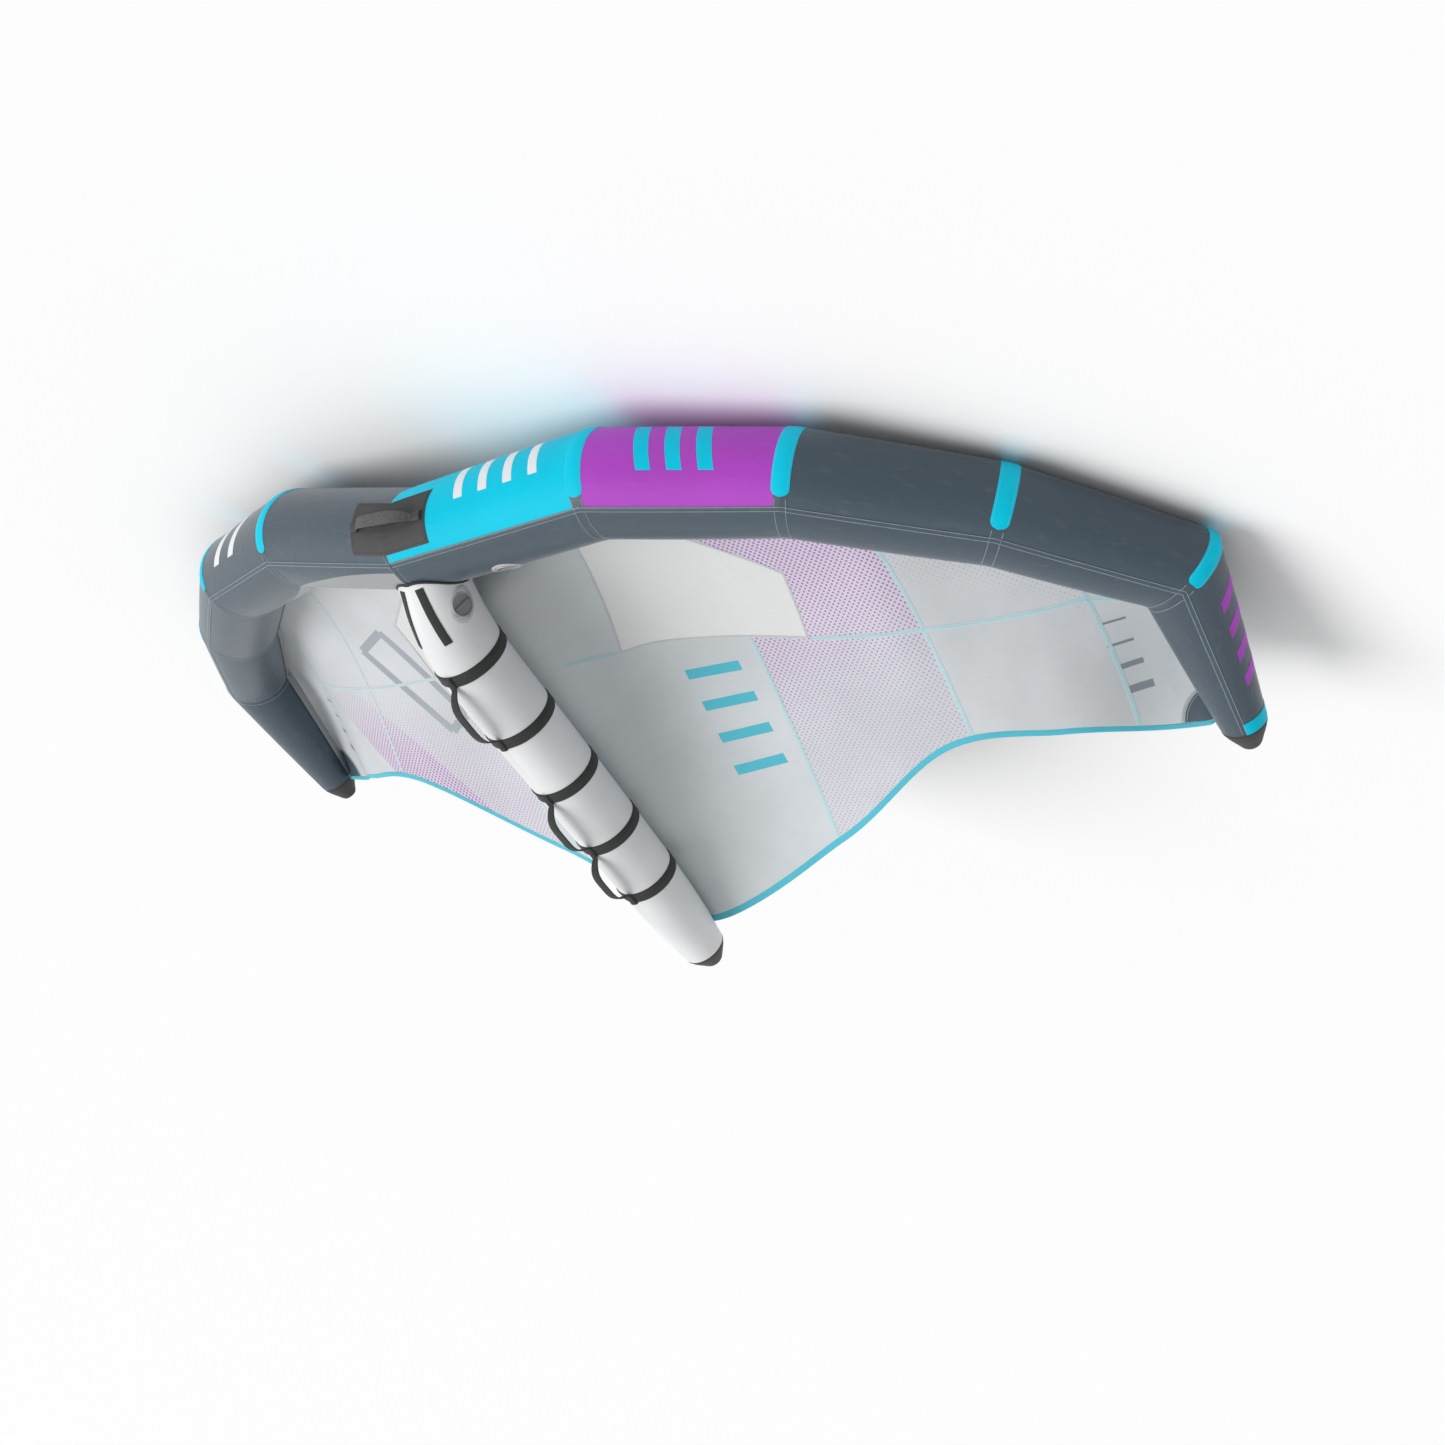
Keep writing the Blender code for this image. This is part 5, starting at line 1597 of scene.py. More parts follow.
@dataclass
class Strut:
    """Strut sleeve, its join to the nose, strips, webbing bands and handles."""

    tube: StrutTube
    edge: EdgeTube
    valve: Valve
    wall: float = 0.001
    sides: int = 72
    rows: int = 60
    band_places: tuple[float, ...] = (0.2630, 0.4610, 0.6460, 0.8310, 1.0050)
    band_width: float = 0.029
    band_thickness: float = 0.0025
    band_end: float = 150.0
    band_across: tuple[float, ...] = (-0.5, -0.46, -0.38, 0.0, 0.38, 0.46, 0.5)
    band_heights: tuple[float, ...] = (0.3, 0.8, 1.0, 0.92, 1.0, 0.8, 0.3)
    band_stitch_shift: float = 0.011
    band_stitch_ends: tuple = ((-145.0, -9.0), (9.0, 145.0))
    band_stitch_height: float = 0.95
    fold_size: tuple[float, float, float] = (0.019, 0.030, 0.0085)
    handle_lift: float = 0.0072
    handle_rise: float = 0.034
    handle_width: float = 0.025
    handle_end_width: float = 0.016
    handle_thickness: float = 0.003
    piping: float = 0.003
    strip_start: float = 0.050
    strip_end: float = 0.177
    strip_angles: tuple[float, float] = (19.5, 32.0)
    strip_width: float = 0.021
    strip_low: float = 0.0002
    strip_high: float = 0.0017
    sleeve_lift: float = 0.0004
    search_reach: float = 0.16
    search_steps: int = 30
    row_crowding: float = 1.25
    piping_end: float = 118.0

    def sleeve_starts(self, degrees: np.ndarray, lift: float) -> np.ndarray:
        """Distance behind the nose at which the sleeve leaves the leading edge, for each angle.

        Args:
            degrees: Angles round the strut from straight down.
            lift: Gap to the leading edge.

        Returns:
            The distances.
        """
        low = np.zeros_like(degrees)
        high = np.full_like(degrees, self.search_reach)
        centre = self.edge.centres[0]
        direction = self.edge.directions[0]
        for _ in range(self.search_steps):
            middle = (low + high) / 2
            points = self.tube.point(middle, degrees)
            points[:, 0] = np.abs(points[:, 0])
            offset = points - centre
            along = offset @ direction
            away = np.linalg.norm(offset - along[:, None] * direction, axis=1)
            share = np.clip(along / self.edge.lengths[0], 0.0, 1.0)
            wanted = self.edge.radii[0] + (self.edge.radii[1] - self.edge.radii[0]) * share + lift
            inside = away < wanted
            low = np.where(inside, middle, low)
            high = np.where(inside, high, middle)
        return high

    def make_sleeve(self) -> None:
        """Tapering sleeve from the nose to the tail, with black piping where it meets the edge."""
        degrees = np.linspace(0.0, 360.0, self.sides, endpoint=False)
        starts = self.sleeve_starts(degrees, self.sleeve_lift)
        shares = np.linspace(0.0, 1.0, self.rows) ** self.row_crowding
        u = starts[None] + (self.tube.length - starts[None]) * shares[:, None]
        outer = self.tube.point(u, degrees[None])
        inner = self.tube.point(u, degrees[None], -self.wall)
        sleeve = shell("strut_cloth", outer, inner, STRUT_CLOTH, closed=True)
        self.valve.cut(sleeve)
        fit(sleeve, Body.WING, "strut_sleeve")
        seam = np.linspace(-self.piping_end, self.piping_end, 90)
        starts = self.sleeve_starts(seam, self.sleeve_lift)
        path = self.tube.point(starts + self.piping * 0.6, seam, self.piping * 0.4)
        points, faces = self.cord_mesh(path, self.piping)
        fit(make_mesh("nose_piping", points, faces, BLACK_WEBBING), Body.WING)

    @staticmethod
    def cord_mesh(path: np.ndarray, radius: float, sides: int = 8) -> tuple[np.ndarray, list]:
        """Round cord along points, with closed ends.

        Args:
            path: Points of its middle.
            radius: Its radius.
            sides: Facets round it.

        Returns:
            Its points and faces.
        """
        course = unit(np.gradient(path, axis=0))
        first = unit(np.cross(course, np.array((0.3, 0.2, 1.0))))
        second = np.cross(course, first)
        angle = np.linspace(0, 2 * np.pi, sides, endpoint=False)
        rings = path[:, None] + radius * (np.cos(angle)[None, :, None] * first[:, None]
                                          + np.sin(angle)[None, :, None] * second[:, None])
        return rings.reshape(-1, 3), tube_faces(len(path), sides)

    def make_strips(self) -> None:
        """Two webbing strips that run back from the nose."""
        for side in Side:
            path = line((self.strip_start, side.value * self.strip_angles[0]),
                        (self.strip_end, side.value * self.strip_angles[1]), steps=40)
            strip = laid_tape(f"strip_webbing_{side.label}", self.tube, path, self.strip_width,
                              self.strip_low, self.strip_high, BLACK_WEBBING)
            fit(strip, Body.WING, f"strut_strip_{side.label}")

    def make_bands(self) -> None:
        """Five bands with rounded edges, each with a sewn fold that holds the handles' ends."""
        angles = np.linspace(-self.band_end, self.band_end, 121)
        rises = np.array(self.band_heights) * self.band_thickness + SEAT_GAP
        for number, place in enumerate(self.band_places, start=1):
            ys = place + self.band_width * np.array(self.band_across)
            outer = self.tube.point(ys[None], angles[:, None], rises[None])
            inner = self.tube.point(ys[None], angles[:, None], SEAT_GAP)
            band = shell(f"band_webbing_{number}", outer, inner, BLACK_WEBBING)
            join([band, self.fold(number, place)])
            fit(band, Body.WING, f"strut_band_{number}")

    def fold(self, number: int, place: float) -> bpy.types.Object:
        """Folded webbing sewn to the middle of a band, softly rounded.

        Args:
            number: The band's number.
            place: The band's distance behind the nose.

        Returns:
            The new object.
        """
        width, length, height = self.fold_size
        a, b = np.meshgrid(FOLD_SHARES, FOLD_SHARES, indexing="ij")
        top = fold_height(a, b, height) + SEAT_GAP
        base = self.tube.point(np.full_like(a, place), np.zeros_like(a))
        x = base[..., 0] + a * width / 2
        y = place + b * length / 2
        z = base[..., 2] + x ** 2 / 2 / self.tube.radius
        outer = np.stack([x, y, z - top], axis=-1)
        inner = np.stack([x, y, z - SEAT_GAP - self.band_thickness * 0.4], axis=-1)
        return shell(f"sewn_fold_{number}", outer, inner, BLACK_WEBBING)

    def make_handles(self) -> None:
        """Three webbing handles that arch between the folds."""
        spans = {
            "front": (0, 1, Body.FRONT_GRIP),
            "middle": (2, 3, Body.MIDDLE_GRIP),
            "rear": (3, 4, Body.REAR_GRIP),
        }
        outward = np.array((0.0, 0.0, -1.0))
        reach = self.fold_size[1] / 2 + SEAT_GAP
        for name, (first, last, body) in spans.items():
            start = self.tube.point(self.band_places[first] + reach, 0.0, self.handle_lift)
            end = self.tube.point(self.band_places[last] - reach, 0.0, self.handle_lift)
            strap = arched_strap(f"grip_webbing_{name}", start, end, outward, self.handle_rise,
                                 (self.handle_end_width, self.handle_width), self.handle_thickness,
                                 BLACK_WEBBING)
            fit(strap, body, f"strut_handle_{name}")

    def make_stitches(self) -> None:
        """Two rows of stitches on each band, up to its fold."""
        thread = Stitches("strut_stitches", DARK_THREAD)
        lift = SEAT_GAP + self.band_thickness * self.band_stitch_height
        for place in self.band_places:
            for shift in (-self.band_stitch_shift, self.band_stitch_shift):
                for low, high in self.band_stitch_ends:
                    thread.row(self.tube, line((place + shift, low), (place + shift, high), steps=40), lift)
        fit(thread.make(), Body.WING)

    def build(self) -> None:
        """Make everything on the strut."""
        self.make_sleeve()
        self.make_strips()
        self.make_bands()
        self.make_handles()
        self.make_stitches()


FOLD_SHARES = (-1.0, -0.97, -0.85, -0.5, 0.0, 0.5, 0.85, 0.97, 1.0)


def join(pieces: list[bpy.types.Object]) -> None:
    """Join pieces into the first one.

    Args:
        pieces: Objects; the first one takes in the others and keeps its name.
    """
    with bpy.context.temp_override(active_object=pieces[0], object=pieces[0], selected_objects=pieces,
                                   selected_editable_objects=pieces):
        bpy.ops.object.join()


def fold_height(across: np.ndarray, along: np.ndarray, height: float) -> np.ndarray:
    """Height of a sewn fold: rounded at its sides and nearly square at the ends that face a handle.

    Args:
        across: Place across the fold, from -1 to 1.
        along: Place along it, from -1 to 1.
        height: Its height in the middle.

    Returns:
        The heights.
    """
    rounded = 1 - 0.3 * np.abs(across) ** 8 - 0.1 * (np.abs(along) > 0.99)
    return height * rounded * (1 - 0.04 * np.abs(along) ** 2)


def arched_strap(name: str, start: np.ndarray, end: np.ndarray, outward: np.ndarray, rise: float,
                 widths: tuple[float, float], thickness: float, finish: Finish) -> bpy.types.Object:
    """Webbing strap that arches outward between two points and curls a little across its width.

    Args:
        name: The piece's name.
        start: One end, in the flying frame.
        end: The other end.
        outward: Direction of the arch.
        rise: Its height.
        widths: Width at the ends and in the middle.
        thickness: Thickness of the webbing.
        finish: Its material.

    Returns:
        The new object.
    """
    lead = unit(end - start) * 0.004
    share = (1 - np.cos(np.pi * np.linspace(0, 1, 61))) / 2
    height = 1 - np.abs(2 * share - 1) ** 4
    path = (start + lead) + (end - start - 2 * lead) * share[:, None] + outward * rise * height[:, None]
    path = np.vstack([start, path, end])
    height = np.concatenate([[0.0], height, [0.0]])
    course = unit(np.gradient(path, axis=0))
    across = unit(np.cross(end - start, outward))
    normal = unit(np.cross(across[None], course))
    if (normal @ outward).sum() < 0:
        normal = -normal
    width = widths[0] + (widths[1] - widths[0]) * height
    shares = np.array((-0.5, -0.48, -0.4, -0.2, 0.0, 0.2, 0.4, 0.48, 0.5))
    round_edge = np.array((0.2, 0.75, 1.0, 1.0, 1.0, 1.0, 1.0, 0.75, 0.2)) * thickness / 2
    curl = -0.08 * (shares * 2) ** 2
    places = path[:, None] + across * (width[:, None] * shares[None])[..., None]
    places = places + normal[:, None] * (curl[None] * (width * height)[:, None] * 0.5)[..., None]
    outer = places + normal[:, None] * round_edge[None, :, None]
    inner = places - normal[:, None] * round_edge[None, :, None]
    return shell(name, outer, inner, finish)


@dataclass
class Nose:
    """Patch on the nose with its handle and sewn folds."""

    tube: EdgeTube
    half_width: float = 0.117
    start: float = 94.0
    end: float = 156.0
    waist: float = 0.02
    thickness: float = 0.0015
    handle_degrees: float = 125.0
    handle_half: float = 0.086
    handle_rise: float = 0.026
    handle_width: float = 0.028
    handle_end_width: float = 0.016
    handle_lift: float = 0.0072
    handle_thickness: float = 0.003
    rim_inset: float = 0.006
    rim_height: float = 0.0005
    fold: tuple[float, float, float] = (0.019, 0.020, 0.0085)

    def patch_point(self, across: np.ndarray, degrees: np.ndarray, lift: np.ndarray | float) -> np.ndarray:
        """Point of the patch: across runs from -1 on the left to 1 on the right.

        Args:
            across: Shares of half the width.
            degrees: Angles from the top over the front.
            lift: Height over the surface.

        Returns:
            The points.
        """
        place = self.tube.ring_step(0, self.half_width) * across * self.waist_at(degrees)
        return self.tube.point(place, degrees, lift)

    def make_patch(self) -> None:
        """Patch with a raised sewn border and the two folds."""
        a, d = np.meshgrid(np.linspace(-1, 1, 41), np.linspace(self.start, self.end, 31), indexing="ij")
        from_end = np.minimum(d - self.start, self.end - d) * np.pi / 180 * self.tube.nose_radius
        rim = np.minimum((1 - np.abs(a)) * self.half_width, from_end)
        raised = SEAT_GAP + self.thickness * (0.45 + 0.55 * np.clip(rim / 0.002, 0, 1))
        raised = raised + self.rim_height * np.clip(1 - np.abs(rim - self.rim_inset) / 0.004, 0, 1)
        outer = self.patch_point(a, d, raised)
        patch = shell("nose_patch_cloth", outer, self.patch_point(a, d, SEAT_GAP * SEAT_SHARE), PATCH_CLOTH)
        join([patch, self.make_fold(-1.0), self.make_fold(1.0)])
        fit(patch, Body.WING, "nose_patch")

    def waist_at(self, degrees: np.ndarray | float) -> np.ndarray:
        """Share of the patch's full width at an angle."""
        return 1 - self.waist * np.sin(np.pi * ((degrees - self.start) / (self.end - self.start)))

    def make_stitches(self) -> None:
        """One row of stitches along the patch's raised border."""
        thread = Stitches("nose_stitches", DARK_THREAD)
        inset = math.degrees(self.rim_inset / self.tube.nose_radius)
        low = self.start + inset
        high = self.end - inset
        lift = SEAT_GAP + self.thickness + self.rim_height
        step = self.tube.ring_step(0, self.half_width) * (1 - self.rim_inset / self.half_width)
        degrees = np.linspace(low, high, 20)
        for sign in (-1.0, 1.0):
            thread.row(self.tube, np.stack([sign * step * self.waist_at(degrees), degrees], axis=1), lift)
            for angle in (low, high):
                corner = (sign * step * self.waist_at(angle), angle)
                thread.row(self.tube, line((0.001 * sign, angle), corner, steps=20), lift)
        fit(thread.make(), Body.WING)

    def make_fold(self, sign: float) -> bpy.types.Object:
        """Folded end of the handle, sewn to the patch.

        Args:
            sign: 1 for the right end of the handle, -1 for the left one.

        Returns:
            The new object.
        """
        width, length, height = self.fold
        centre = self.handle_half + length / 2 + SEAT_GAP
        a, b = np.meshgrid(FOLD_SHARES, FOLD_SHARES, indexing="ij")
        place = sign * (centre + a * length / 2) / self.tube.lengths[0]
        degrees = self.handle_degrees + np.degrees(b * width / 2 / self.tube.nose_radius)
        top = fold_height(b, a, height + self.thickness)
        return shell(f"nose_fold_{'right' if sign > 0 else 'left'}", self.tube.point(place, degrees, top),
                     self.tube.point(place, degrees, self.thickness * 0.6), PATCH_CLOTH)

    def make_handle(self) -> None:
        """Wide webbing handle over the patch."""
        angle = math.radians(self.handle_degrees)
        outward = np.array((0.0, -math.sin(angle), math.cos(angle)))
        lift = SEAT_GAP + self.thickness + self.handle_lift
        place = self.tube.ring_step(0, self.handle_half)
        start = self.tube.point(np.array(-place), np.array(self.handle_degrees), lift)
        end = self.tube.point(np.array(place), np.array(self.handle_degrees), lift)
        strap = arched_strap("nose_grip_webbing", start, end, outward, self.handle_rise,
                             (self.handle_end_width, self.handle_width), self.handle_thickness, GREY_WEBBING)
        fit(strap, Body.NOSE_GRIP, "nose_handle")

    def build(self) -> None:
        """Make the patch and its handle."""
        self.make_patch()
        self.make_stitches()
        self.make_handle()


@dataclass
class Canopy:
    """Cloth, window, seams, hem, corner and marks of one half of the canopy."""

    surface: CanopySurface
    front_places: tuple[float, ...] = (0.0, 1.02, 2.07, 3.22, 5.0)
    back_places: tuple[float, ...] = (0.0, 0.97, 2.24, 3.74, 5.0)
    steps: tuple[int, ...] = (34, 26, 24, 24)
    chord_steps: int = 60
    window_across: tuple[float, ...] = (0.155, 0.244, 0.430, 0.413, 0.107)
    window_back: tuple[float, ...] = (0.113, 0.153, 0.331, 0.468, 0.400)
    spanwise: tuple = (((0.073, 0.44), (0.149, 0.493)),
                       ((0.607, 0.582), (0.88, 0.60), (1.205, 0.652), (1.265, 0.678)))
    tip_bars: tuple = ((1.246, 0.722, 0.005), (1.246, 0.772, 0.006), (1.250, 0.822, 0.012),
                       (1.255, 0.875, 0.017))
    tip_bar_half: tuple[float, float] = (0.024, 0.004)
    plain_bars: tuple[float, ...] = (0.50, 0.58, 0.66, 0.74)
    plain_bar_width: float = 0.026
    outline_width: float = 0.024
    mark_raised: float = 0.0004
    mark_sunk: float = 0.0001
    outline: tuple = ((0.704, 0.430), (0.818, 0.484), (0.640, 0.735), (0.566, 0.694))
    flat_size: tuple[float, float] = (1.96, 1.21)
    flat_area: float = 1.077
    window_size: tuple[float, float] = (0.50, 0.46)
    window_box: tuple[float, float] = (0.72, 1.1)
    tape_sunk: float = 0.0002
    seam_width: float = 0.009
    seam_raised: float = 0.0006
    zigzag: float = 0.003
    border_width: float = 0.006
    border_raised: float = 0.0005
    border_steps: int = 24
    corner_raised: float = 0.0007
    prints: dict = field(default_factory=lambda: {Side.RIGHT: (CANOPY_CLOTH, DOTTED_CLOTH, FAINT_CLOTH),
                                                  Side.LEFT: (CANOPY_CLOTH, BANDED_CLOTH)})
    corner_radius: float = 0.068
    corner_tape: float = 0.007
    hem_lap_share: float = 0.75
    hem_lap_end: float = 4.0
    hem_width: float = 0.012
    hem_thickness: float = 0.0024
    hem_map_step: float = 0.003
    hem_ends: tuple[float, float] = (0.0006, 4.999)
    hem_shares: tuple[float, ...] = (0.05, 0.08, 0.5, 0.85, 0.97, 1.0, 0.97, 0.85, 0.5, 0.08)
    hem_rises: tuple[float, ...] = (0.6, 1.0, 1.0, 1.0, 0.6, 0.0, -0.6, -1.0, -1.0, -1.0)
    hem_forward: tuple[float, ...] = (1.0, 0.9, 0.0, 0.0, 0.0, 0.0, 0.0, 0.0, 0.0, 0.9)
    keel_ends: tuple[float, float] = (0.02, 0.985)
    keel_lifts: tuple[float, float] = (0.0008, 0.0001)
    plain_bar_start: tuple[float, float] = (0.55, -0.012)
    plain_bar_end: tuple[float, float] = (0.86, 0.024)
    seam_ends: tuple[float, float] = (0.003, 0.995)
    zigzag_length: float = 0.0042
    zigzag_pitch: float = 0.005
    search_points: int = 25
    search_rounds: int = 6
    fan_guess: tuple[float, float] = (4.8, 0.6)
    fan_rounds: int = 14
    fan_step: float = 0.8
    keel_half: float = 0.016
    fan_places: tuple[float, ...] = (5.0, 5.0, 4.75, 4.7)
    fan_shares: tuple[float, ...] = (1.0, 0.0, 0.0, 1.0)

    @property
    def side(self) -> Side:
        """The wing that this canopy half belongs to."""
        return self.surface.tube.side

    def place(self, panel: float, share: np.ndarray) -> np.ndarray:
        """Place across at a seam number, which may lie between seams, and a chord share.

        Args:
            panel: The seam's number.
            share: Chord shares.

        Returns:
            The places.
        """
        seams = np.arange(5.0)
        front = np.interp(panel, seams, self.front_places)
        back = np.interp(panel, seams, self.back_places)
        return front + (back - front) * share

    def window_plan(self) -> list[tuple[float, float]]:
        """Corners of the window, across from the middle and behind the nose."""
        span = self.surface.tube.half_span
        return [(span * x, self.surface.root_chord * y) for x, y in zip(self.window_across, self.window_back)]

    def in_window(self, x: float, y: float) -> bool:
        """Whether a point in plan lies in the window.

        Args:
            x: Distance from the middle.
            y: Distance behind the nose.

        Returns:
            True inside the window's outline.
        """
        corners = self.window_plan()
        inside = False
        for (ax, ay), (bx, by) in zip(corners, corners[1:] + corners[:1]):
            if (ay > y) != (by > y) and x < (bx - ax) * (y - ay) / (by - ay) + ax:
                inside = not inside
        return inside

    def locate(self, stops: list[tuple[float, float]], steps: int = 30) -> np.ndarray:
        """Path on the canopy under a line in plan.

        Args:
            stops: Corners of the line, across from the middle and behind the nose.
            steps: Steps between two stops.

        Returns:
            Rows of place and chord share.
        """
        wanted = line(*stops, steps=steps)
        found = []
        for x, y in wanted:
            low = np.array((0.0, 0.0))
            high = np.array((LAST_PLACE, 1.0))
            for _ in range(self.search_rounds):
                u, v = np.meshgrid(*np.linspace(low, high, self.search_points).T, indexing="ij")
                points = self.surface.middle(u, v)
                away = (np.abs(points[..., 0]) - x) ** 2 + (points[..., 1] - y) ** 2
                best = np.unravel_index(np.argmin(away), away.shape)
                middle = np.array((u[best], v[best]))
                reach = (high - low) / 8
                low = np.maximum(middle - reach, (0.0, 0.0))
                high = np.minimum(middle + reach, (LAST_PLACE, 1.0))
            found.append(middle)
        return np.array(found)

    def outside_window(self, path: np.ndarray) -> list[np.ndarray]:
        """Parts of a path that don't cross the window.

        Args:
            path: Rows of place and chord share.

        Returns:
            The parts with more than three points.
        """
        points = self.surface.middle(path[:, 0], path[:, 1])
        runs = [[]]
        for row, point in zip(path, points):
            if self.in_window(abs(point[0]), point[1]):
                runs.append([])
            else:
                runs[-1].append(row)
        return [np.array(run) for run in runs if len(run) > 3]

    def plan_sheet(self) -> bmesh.types.BMesh:
        """Flat grid in plan whose corners carry their place and chord share.

        Returns:
            The sheet.
        """
        columns = [0.0]
        for panel, steps in enumerate(self.steps):
            columns.extend(panel + np.linspace(0, 1, steps + 1)[1:])
        shares = np.linspace(0.0, 1.0, self.chord_steps + 1)
        shape = bmesh.new()
        place_layer = shape.verts.layers.float.new("place")
        share_layer = shape.verts.layers.float.new("share")
        grid = []
        for column in columns:
            places = self.place(column, shares)
            made = []
            for place, share, point in zip(places, shares, self.surface.middle(places, shares)):
                vertex = shape.verts.new((abs(float(point[0])), float(point[1]), 0.0))
                vertex[place_layer] = float(place)
                vertex[share_layer] = float(share)
                made.append(vertex)
            grid.append(made)
        layer = shape.faces.layers.int.new("panel")
        for index, (near, far) in enumerate(zip(grid, grid[1:])):
            for row in range(self.chord_steps):
                face = shape.faces.new((near[row], far[row], far[row + 1], near[row + 1]))
                face[layer] = min(int((columns[index] + columns[index + 1]) / 2), len(self.steps) - 1)
        return shape

    def make_cloth(self) -> None:
        """One sheet of cloth with a hole for the window, and the window's film in it."""
        shape = self.plan_sheet()
        corners = [Vector((x, y, 0.0)) for x, y in self.window_plan()]
        for start, end in zip(corners, corners[1:] + corners[:1]):
            normal = Vector((end.y - start.y, start.x - end.x, 0.0)).normalized()
            near = []
            for face in shape.faces:
                middle = face.calc_center_median()
                if middle.x < self.window_box[0] and middle.length < self.window_box[1]:
                    near.append(face)
            geometry = {item for face in near for item in (face, *face.edges, *face.verts)}
            bmesh.ops.bisect_plane(shape, geom=list(geometry), plane_co=start, plane_no=normal, dist=TINY)
        film = [face for face in shape.faces if self.in_window(*face.calc_center_median().xy)]
        window = shape.copy()
        shape.faces.index_update()
        chosen = {face.index for face in film}
        window.faces.ensure_lookup_table()
        window.faces.index_update()
        outside = [face for face in window.faces if face.index not in chosen]
        bmesh.ops.delete(window, geom=outside, context="FACES")
        bmesh.ops.delete(shape, geom=film, context="FACES")
        label = self.side.label
        cloth = self.lift_sheet(f"canopy_cloth_{label}", shape, self.surface.thickness,
                                self.prints[self.side])
        fit(cloth, Body.WING, *(f"canopy_{name}_{label}" for name in ("centre", "dotted", "outer", "tip")))
        film_piece = self.lift_sheet(f"window_film_{label}", window, self.surface.thickness * 0.5,
                                     (WINDOW_FILM,))
        fit(film_piece, Body.WING, f"window_{label}")
        self.window_area()

    def window_area(self) -> float:
        """Flat area of the window, from its corners on the surface.

        Returns:
            Square metres.
        """
        path = self.locate(self.window_plan(), 1)
        points = self.surface.middle(path[:, 0], path[:, 1])
        total = np.zeros(3)
        for index in range(1, len(points) - 1):
            total += np.cross(points[index] - points[0], points[index + 1] - points[0]) / 2
        return float(np.linalg.norm(total))

    def lift_sheet(self, name: str, flat: bmesh.types.BMesh, thickness: float,
                   finishes: tuple[Finish, ...]) -> bpy.types.Object:
        """Lift a mesh from the plan to solid cloth on the canopy's surface.

        Args:
            name: The piece's name.
            flat: The mesh in plan, which is freed.
            thickness: Thickness of the cloth.
            finishes: One finish for all of it, or plain and banded cloth, or plain, dotted and faint cloth.

        Returns:
            The new object.
        """
        slots_of_panels = {1: (0, 0, 0, 0), 2: (0, 1, 1, 1), 3: (0, 1, 2, 0)}[len(finishes)]
        flat.verts.index_update()
        flat.verts.ensure_lookup_table()
        panel_layer = flat.faces.layers.int["panel"]
        place_layer = flat.verts.layers.float["place"]
        share_layer = flat.verts.layers.float["share"]
        places = np.array([vertex[place_layer] for vertex in flat.verts])
        shares = np.array([vertex[share_layer] for vertex in flat.verts])
        top = self.surface.point(places, shares, thickness / 2)
        low = self.surface.point(places, shares, -thickness / 2)
        cloth_map = np.stack([top[:, 0], top[:, 1]], axis=1)
        faces = []
        cloth = []
        span = []
        slots = []
        count = len(places)

        def add(corners: list[int], slot: int) -> None:
            """Add a face with its maps and its slot.

            Args:
                corners: Numbers of its points.
                slot: Number of its material.
            """
            faces.append(corners)
            for corner in corners:
                cloth.append(cloth_map[corner % count])
                span.append((places[corner % count] / LAST_PLACE, shares[corner % count]))
            slots.append(slot)

        for face in flat.faces:
            slot = slots_of_panels[face[panel_layer]]
            corners = [vertex.index for vertex in face.verts]
            add(corners, slot)
            add([corner + count for corner in reversed(corners)], slot)
        for edge in flat.edges:
            if len(edge.link_faces) == 1:
                slot = slots_of_panels[edge.link_faces[0][panel_layer]]
                first, last = (vertex.index for vertex in edge.verts)
                add([first, last, last + count, first + count], slot)
        flat.free()
        made = make_mesh(name, np.concatenate([top, low]), faces, finishes[0], {"cloth": cloth, "span": span})
        for finish in finishes[1:]:
            made.data.materials.append(finish.material())
        for polygon, slot in zip(made.data.polygons, slots):
            polygon.material_index = slot
        return made

    def lay_on_both(self, name: str, ending: str, path: np.ndarray, width: float, raised: float,
                    finish: Finish) -> None:
        """Lay a like tape on each face of the cloth, a little sunk in it.

        Args:
            name: First part of the pieces' names.
            ending: Last part of the names.
            path: Rows of place and chord share.
            width: The tape's width.
            raised: Its thickness over the cloth.
            finish: Its material.
        """
        thick = self.surface.thickness / 2
        sunk = thick - self.tape_sunk
        for face, low, high in (("under", -thick - raised, -sunk), ("upper", sunk, thick + raised)):
            fit(laid_tape(f"{name}_{face}_{ending}", self.surface, path, width, low, high, finish), Body.WING)

    def lay_mark(self, name: str, path: np.ndarray, width: float, finish: Finish) -> None:
        """Lay a plain bar on the under face.

        Args:
            name: The piece's name.
            path: Rows of place and chord share.
            width: The bar's width.
            finish: Its material.
        """
        thick = self.surface.thickness / 2
        bar = laid_tape(name, self.surface, path, width, -thick - self.mark_raised, -thick + self.mark_sunk,
                        finish)
        fit(bar, Body.WING)

